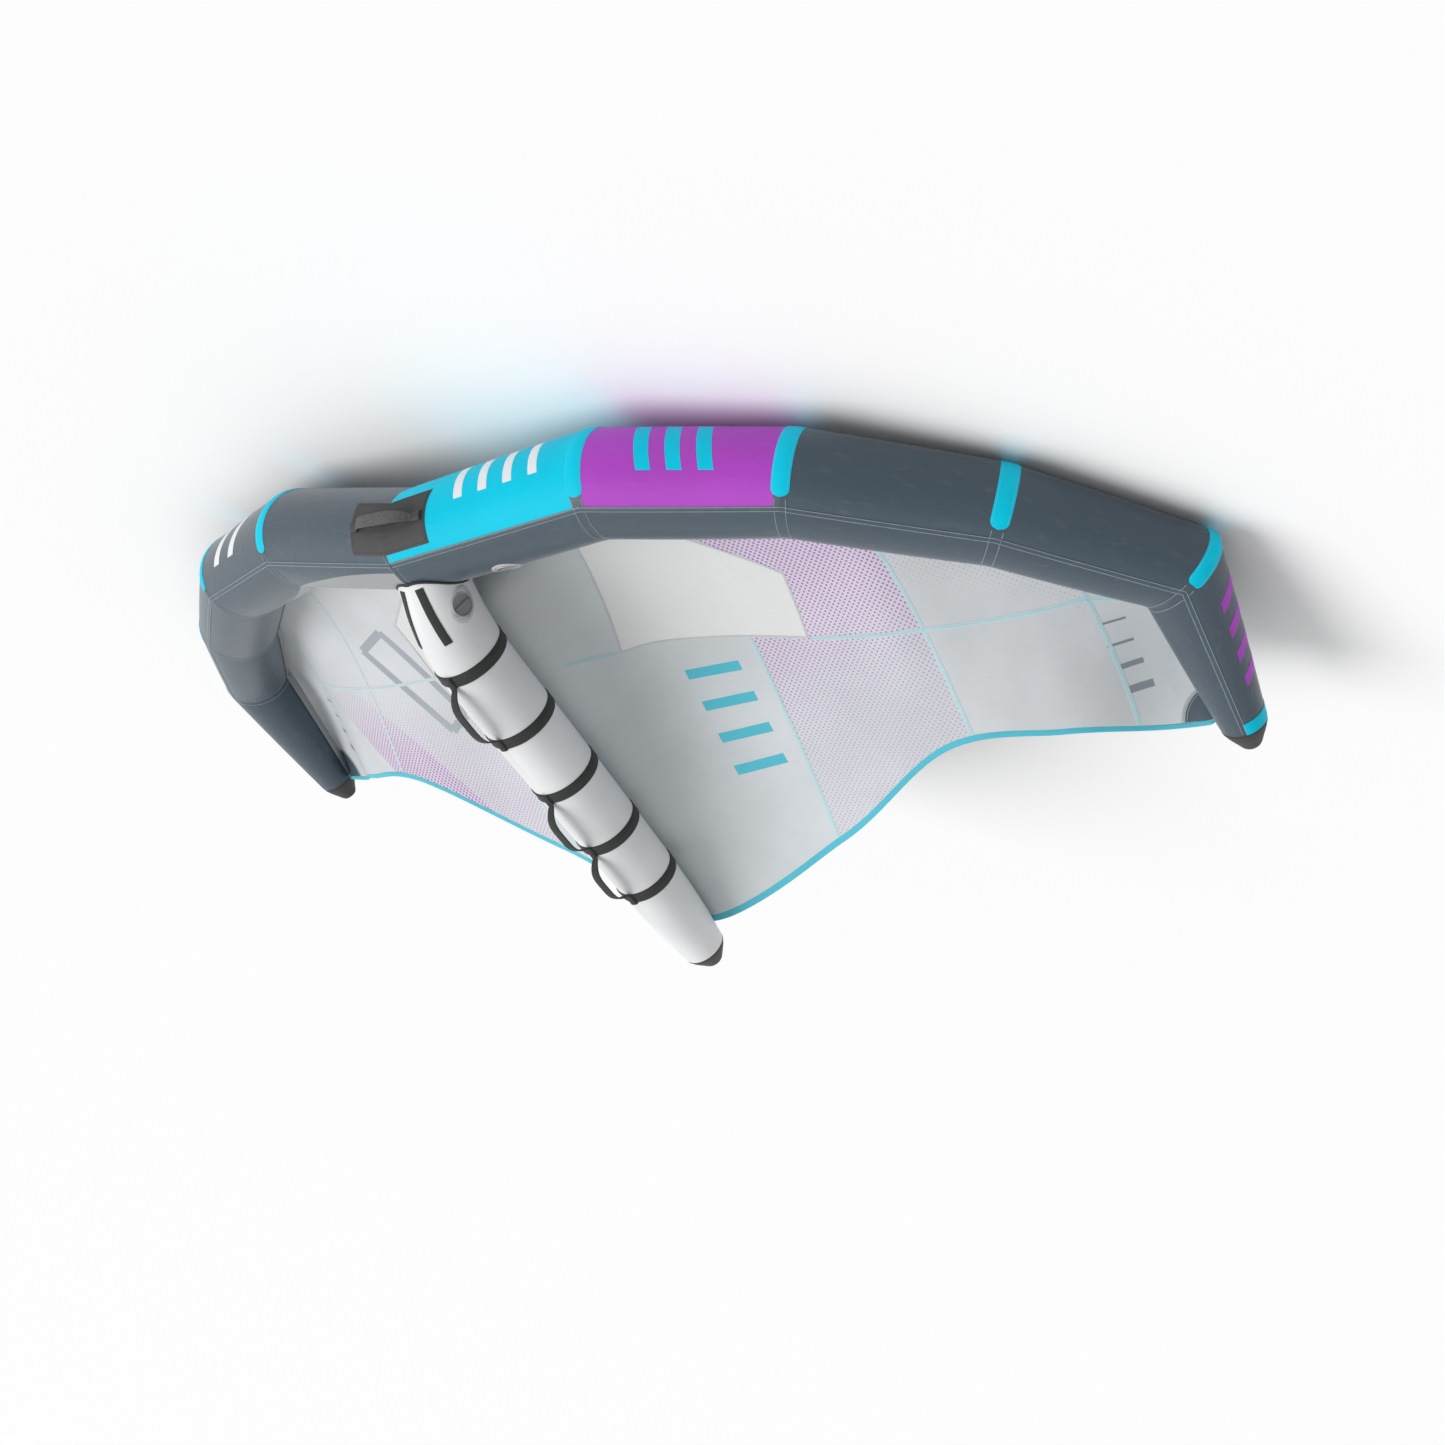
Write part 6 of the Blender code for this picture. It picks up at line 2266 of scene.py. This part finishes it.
    def make_seams(self) -> None:
        """Seam tapes across and along the cloth, with zigzag stitches on both faces."""
        lift = self.surface.thickness / 2 + self.seam_raised
        right = self.side is Side.RIGHT
        colour, cloth = (CYAN_THREAD, SEAM_CLOTH) if right else (PALE_THREAD, PALE_SEAM_CLOTH)
        thread = Stitches(f"canopy_stitches_{self.side.label}", colour, length=self.zigzag_length,
                          pitch=self.zigzag_pitch)
        shares = np.linspace(*self.seam_ends, 70)
        seams = {name: np.stack([self.place(panel, shares), shares], axis=1)
                 for panel, name in enumerate(("inner", "middle", "outer"), start=1)}
        for number, stops in enumerate(self.spanwise, start=1):
            seams[f"spanwise_{number}"] = self.locate(list(stops))
        for name, path in seams.items():
            for number, part in enumerate(self.outside_window(path), start=1):
                self.lay_on_both(f"seam_{name}_{number}", self.side.label, part, self.seam_width,
                                 self.seam_raised, cloth)
                thread.row(self.surface, part, -lift, zigzag=self.zigzag)
                thread.row(self.surface, part, lift, zigzag=self.zigzag)
        fit(thread.make(), Body.WING)

    def make_window_border(self) -> None:
        """Sewn border round the window, on both faces."""
        stops = self.window_plan()
        steps = self.border_steps
        path = self.locate([*stops, stops[0]], steps)
        for number in range(len(stops)):
            edge = path[number * steps:(number + 1) * steps + 1]
            self.lay_on_both("window_border", f"{self.side.label}_{number + 1}", edge, self.border_width,
                             self.border_raised, BORDER_CLOTH)
        thread = Stitches(f"window_stitches_{self.side.label}", GREY_THREAD)
        lift = self.surface.thickness / 2 + self.border_raised
        thread.row(self.surface, path, -lift)
        thread.row(self.surface, path, lift)
        fit(thread.make(), Body.WING)

    def make_hem(self) -> None:
        """Folded tape along the trailing edge, with a rounded back."""
        places = np.linspace(*self.hem_ends, 240)
        ones = np.ones_like(places)
        edge = self.surface.point(places, ones)
        before = self.surface.point(places, ones * 0.97)
        back = unit(edge - before)
        normal = self.surface.normal(places, ones * 0.985)
        shares = np.array(self.hem_shares)
        rises = np.array(self.hem_rises) * self.hem_thickness / 2
        forward = np.array(self.hem_forward)
        lap = self.hem_lap_share * np.clip(1 - places / self.hem_lap_end, 0.0, 1.0)
        reach = self.hem_width * (shares[None] - lap[:, None] * forward[None])
        ring = edge[:, None] + back[:, None] * reach[:, :, None]
        ring = ring + normal[:, None] * rises[None, :, None]
        count = len(shares)
        cloth = []
        run = travelled(edge)
        across = np.arange(count + 1) * self.hem_map_step
        for before, after in zip(run, run[1:]):
            for low, high in zip(across, across[1:]):
                cloth.extend([(before, low), (before, high), (after, high), (after, low)])
        cloth.extend([(0.0, place) for place in across[:-1]] * 2)
        hem = make_mesh(f"trailing_hem_{self.side.label}", ring, tube_faces(len(places), count), HEM_CLOTH,
                        {"cloth": cloth})
        fit(hem, Body.WING, f"trailing_tape_{self.side.label}")

    def find(self, plan: np.ndarray) -> tuple[np.ndarray, np.ndarray]:
        """Places and chord shares under points in plan near the tip, by repeated straight steps.

        Args:
            plan: Points across from the middle and behind the nose, on the last axis.

        Returns:
            Places and chord shares.
        """
        u = np.full(plan.shape[:-1], self.fan_guess[0])
        v = np.full(plan.shape[:-1], self.fan_guess[1])
        small = 0.001
        for _ in range(self.fan_rounds):
            here = np.abs(self.surface.middle(u, v))[..., :2]
            by_u = (here - np.abs(self.surface.middle(u - small, v))[..., :2]) / small
            by_v = (np.abs(self.surface.middle(u, v + small))[..., :2] - here) / small
            miss = plan - here
            area = by_u[..., 0] * by_v[..., 1] - by_u[..., 1] * by_v[..., 0]
            u = u + self.fan_step * (miss[..., 0] * by_v[..., 1] - miss[..., 1] * by_v[..., 0]) / area
            v = v + self.fan_step * (by_u[..., 0] * miss[..., 1] - by_u[..., 1] * miss[..., 0]) / area
            u = np.clip(u, 4.0, LAST_PLACE)
            v = np.clip(v, 0.0, 1.0)
        return u, v

    def corner_fan(self, near: float, far: float) -> tuple[np.ndarray, np.ndarray]:
        """Grid round the corner of the trailing edge, between two radii and inside the cloth's edges.

        Args:
            near: Inner radius.
            far: Outer radius.

        Returns:
            Places and chord shares.
        """
        ends = np.abs(self.surface.middle(np.array(self.fan_places), np.array(self.fan_shares)))
        corner, tip, front, back = ends[:, :2]
        seam = front - tip
        first = math.atan2(*(back - corner)[::-1]) % (2 * math.pi)
        last = math.atan2(*(tip + seam * 0.02 - corner)[::-1]) % (2 * math.pi)
        angles = np.linspace(first, last + (2 * math.pi if last < first else 0.0), 36)
        courses = np.stack([np.cos(angles), np.sin(angles)], axis=1)
        to_tip = tip - corner
        against = courses[:, 0] * seam[1] - courses[:, 1] * seam[0]
        reach = (to_tip[0] * seam[1] - to_tip[1] * seam[0]) / against
        reach = np.where(reach > 0, reach, 1.0)
        keep = reach > near * 1.02
        rims = np.minimum(far, reach[keep])
        shares = np.linspace(0.0, 1.0, 10)[:, None]
        radii = near + (rims[None] - near) * shares
        return self.find(corner + radii[..., None] * courses[keep][None])

    def make_corner(self) -> None:
        """Slate corner patch at the tip end of the trailing edge with a grey tape round it, on both faces."""
        thick = self.surface.thickness / 2
        radius = self.corner_radius
        parts = (("tip_corner_cloth", 0.001, radius, SLATE_CLOTH),
                 ("corner_tape", radius + SEAT_GAP, radius + self.corner_tape, LIGHT_TAPE))
        for name, near, far, finish in parts:
            u, v = self.corner_fan(near, far)
            for face, sign in (("under", -1.0), ("upper", 1.0)):
                outer = self.surface.point(u, v, sign * (thick + self.corner_raised))
                inner = self.surface.point(u, v, sign * (thick - self.tape_sunk))
                patch = shell(f"{name}_{face}_{self.side.label}", outer, inner, finish)
                replaced = face == "under" and finish is SLATE_CLOTH
                fit(patch, Body.WING, *([f"tip_corner_{self.side.label}"] if replaced else []))
        thread = Stitches(f"corner_stitches_{self.side.label}", GREY_THREAD)
        for middle in (radius - 0.004, radius + self.corner_tape / 2):
            u, v = self.corner_fan(middle, middle + 0.001)
            path = np.stack([u[0], v[0]], axis=1)
            thread.row(self.surface, path, -thick - self.corner_raised)
            thread.row(self.surface, path, thick + self.corner_raised)
        fit(thread.make(), Body.WING)

    def make_keel(self) -> None:
        """Sewn tape along the middle, over the strut, on the upper face."""
        if self.side is Side.LEFT:
            return
        thick = self.surface.thickness / 2
        shares = np.linspace(*self.keel_ends, 80)
        path = np.stack([np.full_like(shares, 0.0002), shares], axis=1)
        points = self.surface.point(path[:, 0], path[:, 1])
        points[:, 0] = 0.0
        across = np.linspace(-self.keel_half, self.keel_half, 7)
        level = 0 * across
        outer, inner = (points[:, None] + np.stack([across, level, level + thick + lift], axis=1)[None]
                        for lift in self.keel_lifts)
        fit(shell("keel_tape", outer, inner, CANOPY_CLOTH), Body.WING)

    def make_marks(self) -> None:
        """Plain bars: four grey ones near the tip, an outline on the left and four more on the right."""
        across, back = self.tip_bar_half
        for number, (x, y, width) in enumerate(self.tip_bars, start=1):
            path = self.locate([(x - across, y - back), (x + across, y + back)], 8)
            self.lay_mark(f"tip_bar_{self.side.label}_{number}", path, width, MARK_GREY)
        if self.side is Side.LEFT:
            for number, ends in enumerate(zip(self.outline, self.outline[1:] + self.outline[:1]), start=1):
                path = self.locate(list(ends), 24)
                self.lay_mark(f"outline_bar_{number}", path, self.outline_width, OUTLINE_GREY)
        if self.side is Side.RIGHT:
            for number, share in enumerate(self.plain_bars, start=1):
                (inner, low), (outer, high) = self.plain_bar_start, self.plain_bar_end
                path = line((inner, share + low), (outer, share + high), steps=12)
                self.lay_mark(f"plain_bar_{number}", path, self.plain_bar_width, HEM_CLOTH)

    def build(self) -> None:
        """Make everything on this half of the canopy."""
        self.make_cloth()
        self.make_seams()
        self.make_window_border()
        self.make_hem()
        self.make_corner()
        self.make_keel()
        self.make_marks()


@dataclass
class Valve:
    """Inflation valve: soft flange, hard base, and a plug with a grip bar."""

    name: str
    plug_body: Body
    surface: Surface
    u: float
    v: float
    base_radius: float = 0.0275
    base_top: float = 0.0015
    depth: float = 0.015
    plug_radius: float = 0.0237
    plug_seat: float = 0.005
    plug_top: float = 0.0005
    insert_radius: float = 0.02
    bore_radius: float = 0.017
    bore_top: float = -0.012
    edge_step: float = 0.001
    bar_bevel: float = 0.0012
    bar_sunk: float = 0.0006
    dish_depth: float = 0.0015
    collar_radii: tuple[float, ...] = (0.0278, 0.0285, 0.030, 0.0325, 0.0342, 0.035)
    collar_lifts: tuple[float, ...] = (0.0021, 0.0023, 0.0019, 0.0017, 0.0016, 0.0007)
    bar_size: tuple[float, float, float] = (0.006, 0.040, 0.005)
    bar_degrees: float = 0.0

    def matrix(self) -> Matrix:
        """Place of the valve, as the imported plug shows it: Z out of the tube and Y along it.

        Returns:
            The matrix in the parked frame.
        """
        origin = self.surface.point(np.array(self.u), np.array(self.v))
        step = 0.01 if isinstance(self.surface, EdgeTube) else 0.035
        ahead = self.surface.point(np.array(self.u - step), np.array(self.v))
        behind = self.surface.point(np.array(self.u + step), np.array(self.v))
        along = Vector(behind - ahead).normalized()
        z_axis = Vector(self.surface.normal(np.array(self.u), np.array(self.v)))
        z_axis = (z_axis - z_axis.dot(along) * along).normalized()
        x_axis = along.cross(z_axis).normalized()
        return ATTITUDE.matrix() @ stand(Vector(origin), x_axis, z_axis.cross(x_axis), z_axis)

    def cut(self, sleeve: bpy.types.Object) -> None:
        """Cut the hole for this valve in a sleeve.

        Args:
            sleeve: Closed cloth that the valve goes through.
        """
        radius = self.base_radius + SEAT_GAP
        shape = bmesh.new()
        bmesh.ops.create_cone(shape, cap_ends=True, segments=96, radius1=radius, radius2=radius,
                              depth=2 * self.depth)
        mesh = released("valve_hole", shape, self.matrix())
        hole = shown("valve_hole", mesh)
        boolean = sleeve.modifiers.new("valve_hole", "BOOLEAN")
        boolean.object = hole
        boolean.solver = "EXACT"
        bpy.context.view_layer.update()
        evaluated = sleeve.evaluated_get(bpy.context.evaluated_depsgraph_get())
        whole = sleeve.data
        sleeve.data = bpy.data.meshes.new_from_object(evaluated)
        sleeve.modifiers.clear()
        bpy.data.meshes.remove(whole)
        bpy.data.objects.remove(hole)
        bpy.data.meshes.remove(mesh)

    def build(self) -> None:
        """Make the valve's pieces."""
        matrix = self.matrix()
        step = self.edge_step
        seat = self.insert_radius + SEAT_GAP
        rim = self.plug_radius + SEAT_GAP
        base = [(self.base_radius - step, self.base_top + step * 0.3),
                (self.base_radius, self.base_top - step * 0.5), (self.base_radius, -self.depth),
                (self.bore_radius, -self.depth), (self.bore_radius, self.bore_top), (seat, self.bore_top),
                (seat, -self.plug_seat), (rim, -self.plug_seat), (rim, self.base_top)]
        fit(turned(f"{self.name}_ring", base, matrix, VALVE_RING), Body.WING, f"{self.name}_base")
        top = -self.plug_top
        floor = -self.plug_seat + SEAT_GAP
        dish = top - self.dish_depth
        plug = [(0.0, dish), (0.0195, dish), (0.0215, top - 0.0011), (0.0222, top),
                (self.plug_radius - 0.0004, top), (self.plug_radius, top - 0.0004), (self.plug_radius, floor),
                (0.010, floor), (0.010, floor - 0.0045), (0.0, floor - 0.0045)]
        cap = turned(f"{self.name}_cap", plug, matrix, VALVE_PLASTIC)
        join([cap, self.make_bar(dish, matrix)])
        fit(cap, self.plug_body, f"{self.name}_plug")
        self.make_flange()

    def make_bar(self, floor: float, matrix: Matrix) -> bpy.types.Object:
        """Grip bar with rounded edges across the plug's dish.

        Args:
            floor: Height of the dish.
            matrix: The valve's place in the parked frame.

        Returns:
            The new object.
        """
        height = self.bar_size[2]
        shape = bmesh.new()
        bmesh.ops.create_cube(shape, size=1.0)
        bmesh.ops.scale(shape, vec=self.bar_size, verts=shape.verts)
        bmesh.ops.bevel(shape, geom=list(shape.edges), offset=self.bar_bevel, segments=3, affect="EDGES",
                        profile=0.6)
        bmesh.ops.translate(shape, vec=(0.0, 0.0, floor + height / 2 - self.bar_sunk), verts=shape.verts)
        turn = Matrix.Rotation(math.radians(self.bar_degrees), 3, "Z")
        bmesh.ops.rotate(shape, matrix=turn, verts=shape.verts)
        mesh = released("grip_bar", shape, matrix)
        coat(mesh, VALVE_PLASTIC)
        return shown(f"{self.name}_bar", mesh)

    def make_flange(self) -> None:
        """Soft film ring welded to the sleeve round the base."""
        angles = np.linspace(0, 2 * np.pi, 96, endpoint=False)
        radius, angle = np.meshgrid(self.collar_radii, angles, indexing="ij")
        if isinstance(self.surface, EdgeTube):
            u = self.u + radius * np.cos(angle) / self.surface.lengths[0]
            v = self.v + np.degrees(radius * np.sin(angle) / self.surface.nose_radius)
        else:
            u = self.u + radius * np.cos(angle)
            v = self.v + np.degrees(radius * np.sin(angle) / self.surface.section(np.array(self.u))[1])
        outer = self.surface.point(u, v, np.array(self.collar_lifts)[:, None])
        inner = self.surface.point(u, v, SEAT_GAP)
        flange = shell(f"{self.name}_collar", outer, inner, FLANGE_FILM, closed=True)
        fit(flange, Body.WING, f"{self.name}_flange")


@dataclass
class EndCap:
    """Moulded end cap with a rim and a rounded dome."""

    name: str
    node: str
    centre: np.ndarray
    course: np.ndarray
    radius: float
    length: float
    spigot: float = 0.015
    rim: float = 0.0018

    def build(self) -> None:
        """Make the cap."""
        z_axis = Vector(unit(self.course))
        x_axis = z_axis.orthogonal().normalized()
        local = stand(Vector(self.centre), x_axis, z_axis.cross(x_axis), z_axis)
        shares = ((1.0, 0.0), (0.99, 0.04), (0.985, 0.10), (0.945, 0.16), (0.875, 0.30), (0.76, 0.47),
                  (0.645, 0.63), (0.545, 0.78), (0.46, 0.90), (0.39, 0.965), (0.26, 0.995), (0.0, 1.0))
        bore = self.radius - self.rim
        profile = [(0.0, -self.spigot), (bore, -self.spigot), (bore, SEAT_GAP)]
        profile += [(self.radius * radius, SEAT_GAP + self.length * along) for radius, along in shares]
        cap = turned(self.name, profile, ATTITUDE.matrix() @ local, CAP_RUBBER, sides=72)
        fit(cap, Body.WING, self.node)


@dataclass
class Studio:
    """Floor, world, lamps and the camera."""

    camera_place: tuple[float, float, float] = (3.415, -1.801, -2.435)
    camera_right: tuple[float, float, float] = (0.7601, 0.5013, 0.4135)
    camera_up: tuple[float, float, float] = (0.0584, -0.6865, 0.7248)
    camera_forward: tuple[float, float, float] = (-0.6472, 0.5267, 0.5511)
    focal_pixels: float = 2112.6
    image_pixels: float = 1445.0
    sensor: float = 36.0
    lamp_distance: float = 6.0
    floor_reach: float = 400.0
    floor_colour: Colour = (0.90, 0.90, 0.90)
    floor_seen: Colour = (1.0, 1.0, 1.0)
    floor_roughness: float = 0.9
    floor_specular: float = 0.1
    view_reach: float = 1500.0
    ambient: float = 0.38
    key_share: float = 0.58
    key_spread: float = 40.0
    key_place: tuple[float, float, float] = (-1.35, 0.28, 0.8)
    top_share: float = 0.20
    top_spread: float = 90.0
    top_direction: tuple[float, float, float] = (0.1, 0.2, 1.0)

    def make_camera(self) -> None:
        """Camera at the photograph's viewing angle."""
        data = bpy.data.cameras.new("photo_camera")
        data.sensor_width = self.sensor
        data.lens = self.focal_pixels / self.image_pixels * self.sensor
        data.clip_end = self.view_reach
        camera = shown("photo_camera", data)
        placed = stand(Vector(self.camera_place), Vector(self.camera_right).normalized(),
                       Vector(self.camera_up).normalized(), -Vector(self.camera_forward).normalized())
        camera.matrix_world = ATTITUDE.matrix() @ placed
        bpy.context.scene.camera = camera

    def make_floor(self) -> None:
        """Wide pale floor."""
        mesh = bpy.data.meshes.new("floor")
        reach = self.floor_reach
        corners = [(x * reach, y * reach, 0.0) for x, y in ((-1, -1), (1, -1), (1, 1), (-1, 1))]
        mesh.from_pydata(corners, [], [(0, 1, 2, 3)])
        floor = shown("floor", mesh)
        material = bpy.data.materials.new("pale_floor")
        material.use_nodes = True
        shader = material.node_tree.nodes["Principled BSDF"]
        shader.inputs["Roughness"].default_value = self.floor_roughness
        shader.inputs["Specular IOR Level"].default_value = self.floor_specular
        nodes = Nodes(material.node_tree)
        colour = nodes.mix(nodes.ramp(nodes.seen(), 0.0, 1.0), rgba(self.floor_colour), rgba(self.floor_seen))
        nodes.feed(shader.inputs["Base Color"], colour)
        mesh.materials.append(material)

    def make_lamp(self, name: str, direction: tuple[float, float, float], spread_degrees: float,
                  share: float) -> None:
        """Soft, even light from one direction.

        Args:
            name: The lamp's name.
            direction: Where it comes from, seen from the wing, in the parked frame.
            spread_degrees: How wide it looks from the wing.
            share: Brightness of a white surface that faces it.
        """
        data = bpy.data.lights.new(name, "SUN")
        data.angle = math.radians(spread_degrees)
        data.energy = share * math.pi
        lamp = shown(name, data)
        towards = Vector(direction).normalized()
        lamp.location = towards * self.lamp_distance
        lamp.rotation_mode = "QUATERNION"
        lamp.rotation_quaternion = towards.to_track_quat("Z", "Y")

    def make_world(self) -> None:
        """Even light from all round, white to the camera and to gloss."""
        world = bpy.data.worlds.new("studio")
        bpy.context.scene.world = world
        world.use_nodes = True
        nodes = Nodes(world.node_tree)
        background = world.node_tree.nodes["Background"]
        background.inputs["Color"].default_value = (1.0, 1.0, 1.0, 1.0)
        nodes.feed(background.inputs["Strength"], nodes.ramp(nodes.seen(), 0.0, 1.0, self.ambient, 1.0))

    def build(self) -> None:
        """Make the studio."""
        self.make_camera()
        self.make_floor()
        self.make_world()
        right = ATTITUDE.matrix().to_3x3() @ Vector(self.camera_right)
        back = ATTITUDE.matrix().to_3x3() @ (-Vector(self.camera_forward))
        sideways, behind, above = self.key_place
        key = right * sideways + back * behind + Vector((0.0, 0.0, above))
        self.make_lamp("key_lamp", tuple(key), self.key_spread, self.key_share)
        self.make_lamp("top_lamp", self.top_direction, self.top_spread, self.top_share)
        bpy.context.scene.view_settings.view_transform = "Standard"


def dress_hidden(frame: dict) -> None:
    """Give the carried-over pieces their finishes.
    """
    for part, finish in (("bladder", BLADDER_FILM), ("valve_insert", DARK_PLASTIC)):
        for tube in ("edge", "strut"):
            carried = frame["nodes"][f"{tube}_{part}"]
            carried.data.materials.clear()
            carried.data.materials.append(finish.material())
            LOG.info("%s: carried over", carried.name)


def write_sizes() -> None:
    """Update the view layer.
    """
    bpy.context.view_layer.update()


def main() -> None:
    """Build the dressed wing and the studio."""
    logging.basicConfig(level=logging.INFO, format="%(name)s %(message)s")
    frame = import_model()
    Studio().build()
    dress_hidden(frame)
    strut_tube = StrutTube()
    edges = {side: EdgeTube(side) for side in Side}
    marks = {
        Side.RIGHT: {
            "white_bar": (MARK_WHITE, (0.36, 0.49, 0.62, 0.75), 62.0, 118.0, 0.05, 0.022),
            "cyan_bar": (CYAN_CLOTH, (1.28, 1.43, 1.58), 62.0, 128.0, 0.07, 0.030),
            "purple_bar": (PURPLE_CLOTH, (4.20, 4.35, 4.50, 4.65), 70.0, 128.0, 0.05, 0.026),
        },
        Side.LEFT: {
            "white_bar": (MARK_WHITE, (1.38, 1.62), 72.0, 136.0, 0.08, 0.036),
        },
    }
    strut_valve = Valve("strut_valve", Body.STRUT_PLUG, strut_tube, 0.128, 77.0, bar_degrees=105.0)
    edge_valve = Valve("edge_valve", Body.EDGE_PLUG, edges[Side.RIGHT], 0.47, -132.0)
    for side, tube in edges.items():
        LeadingEdge(tube, valve=edge_valve if side is Side.RIGHT else None, marks=marks[side]).build()
        Canopy(CanopySurface(tube, strut_tube)).build()
        mirror = np.array((side.value, 1.0, 1.0))
        EndCap(f"tip_cap_rubber_{side.label}", f"tip_cap_{side.label}", tube.centres[-1] * mirror,
               tube.directions[-1] * mirror, float(tube.radii[-1]), 0.062).build()
    Strut(strut_tube, edges[Side.RIGHT], strut_valve).build()
    Nose(edges[Side.RIGHT]).build()
    rise, radius = strut_tube.section(np.array(strut_tube.length))
    EndCap("strut_tail_rubber", "strut_tail_cap", np.array((0.0, strut_tube.length, float(rise))),
           np.array((0.0, 1.0, 0.0)), float(radius), 0.055).build()
    strut_valve.build()
    edge_valve.build()
    write_sizes()


if __name__ == "__main__":
    main()
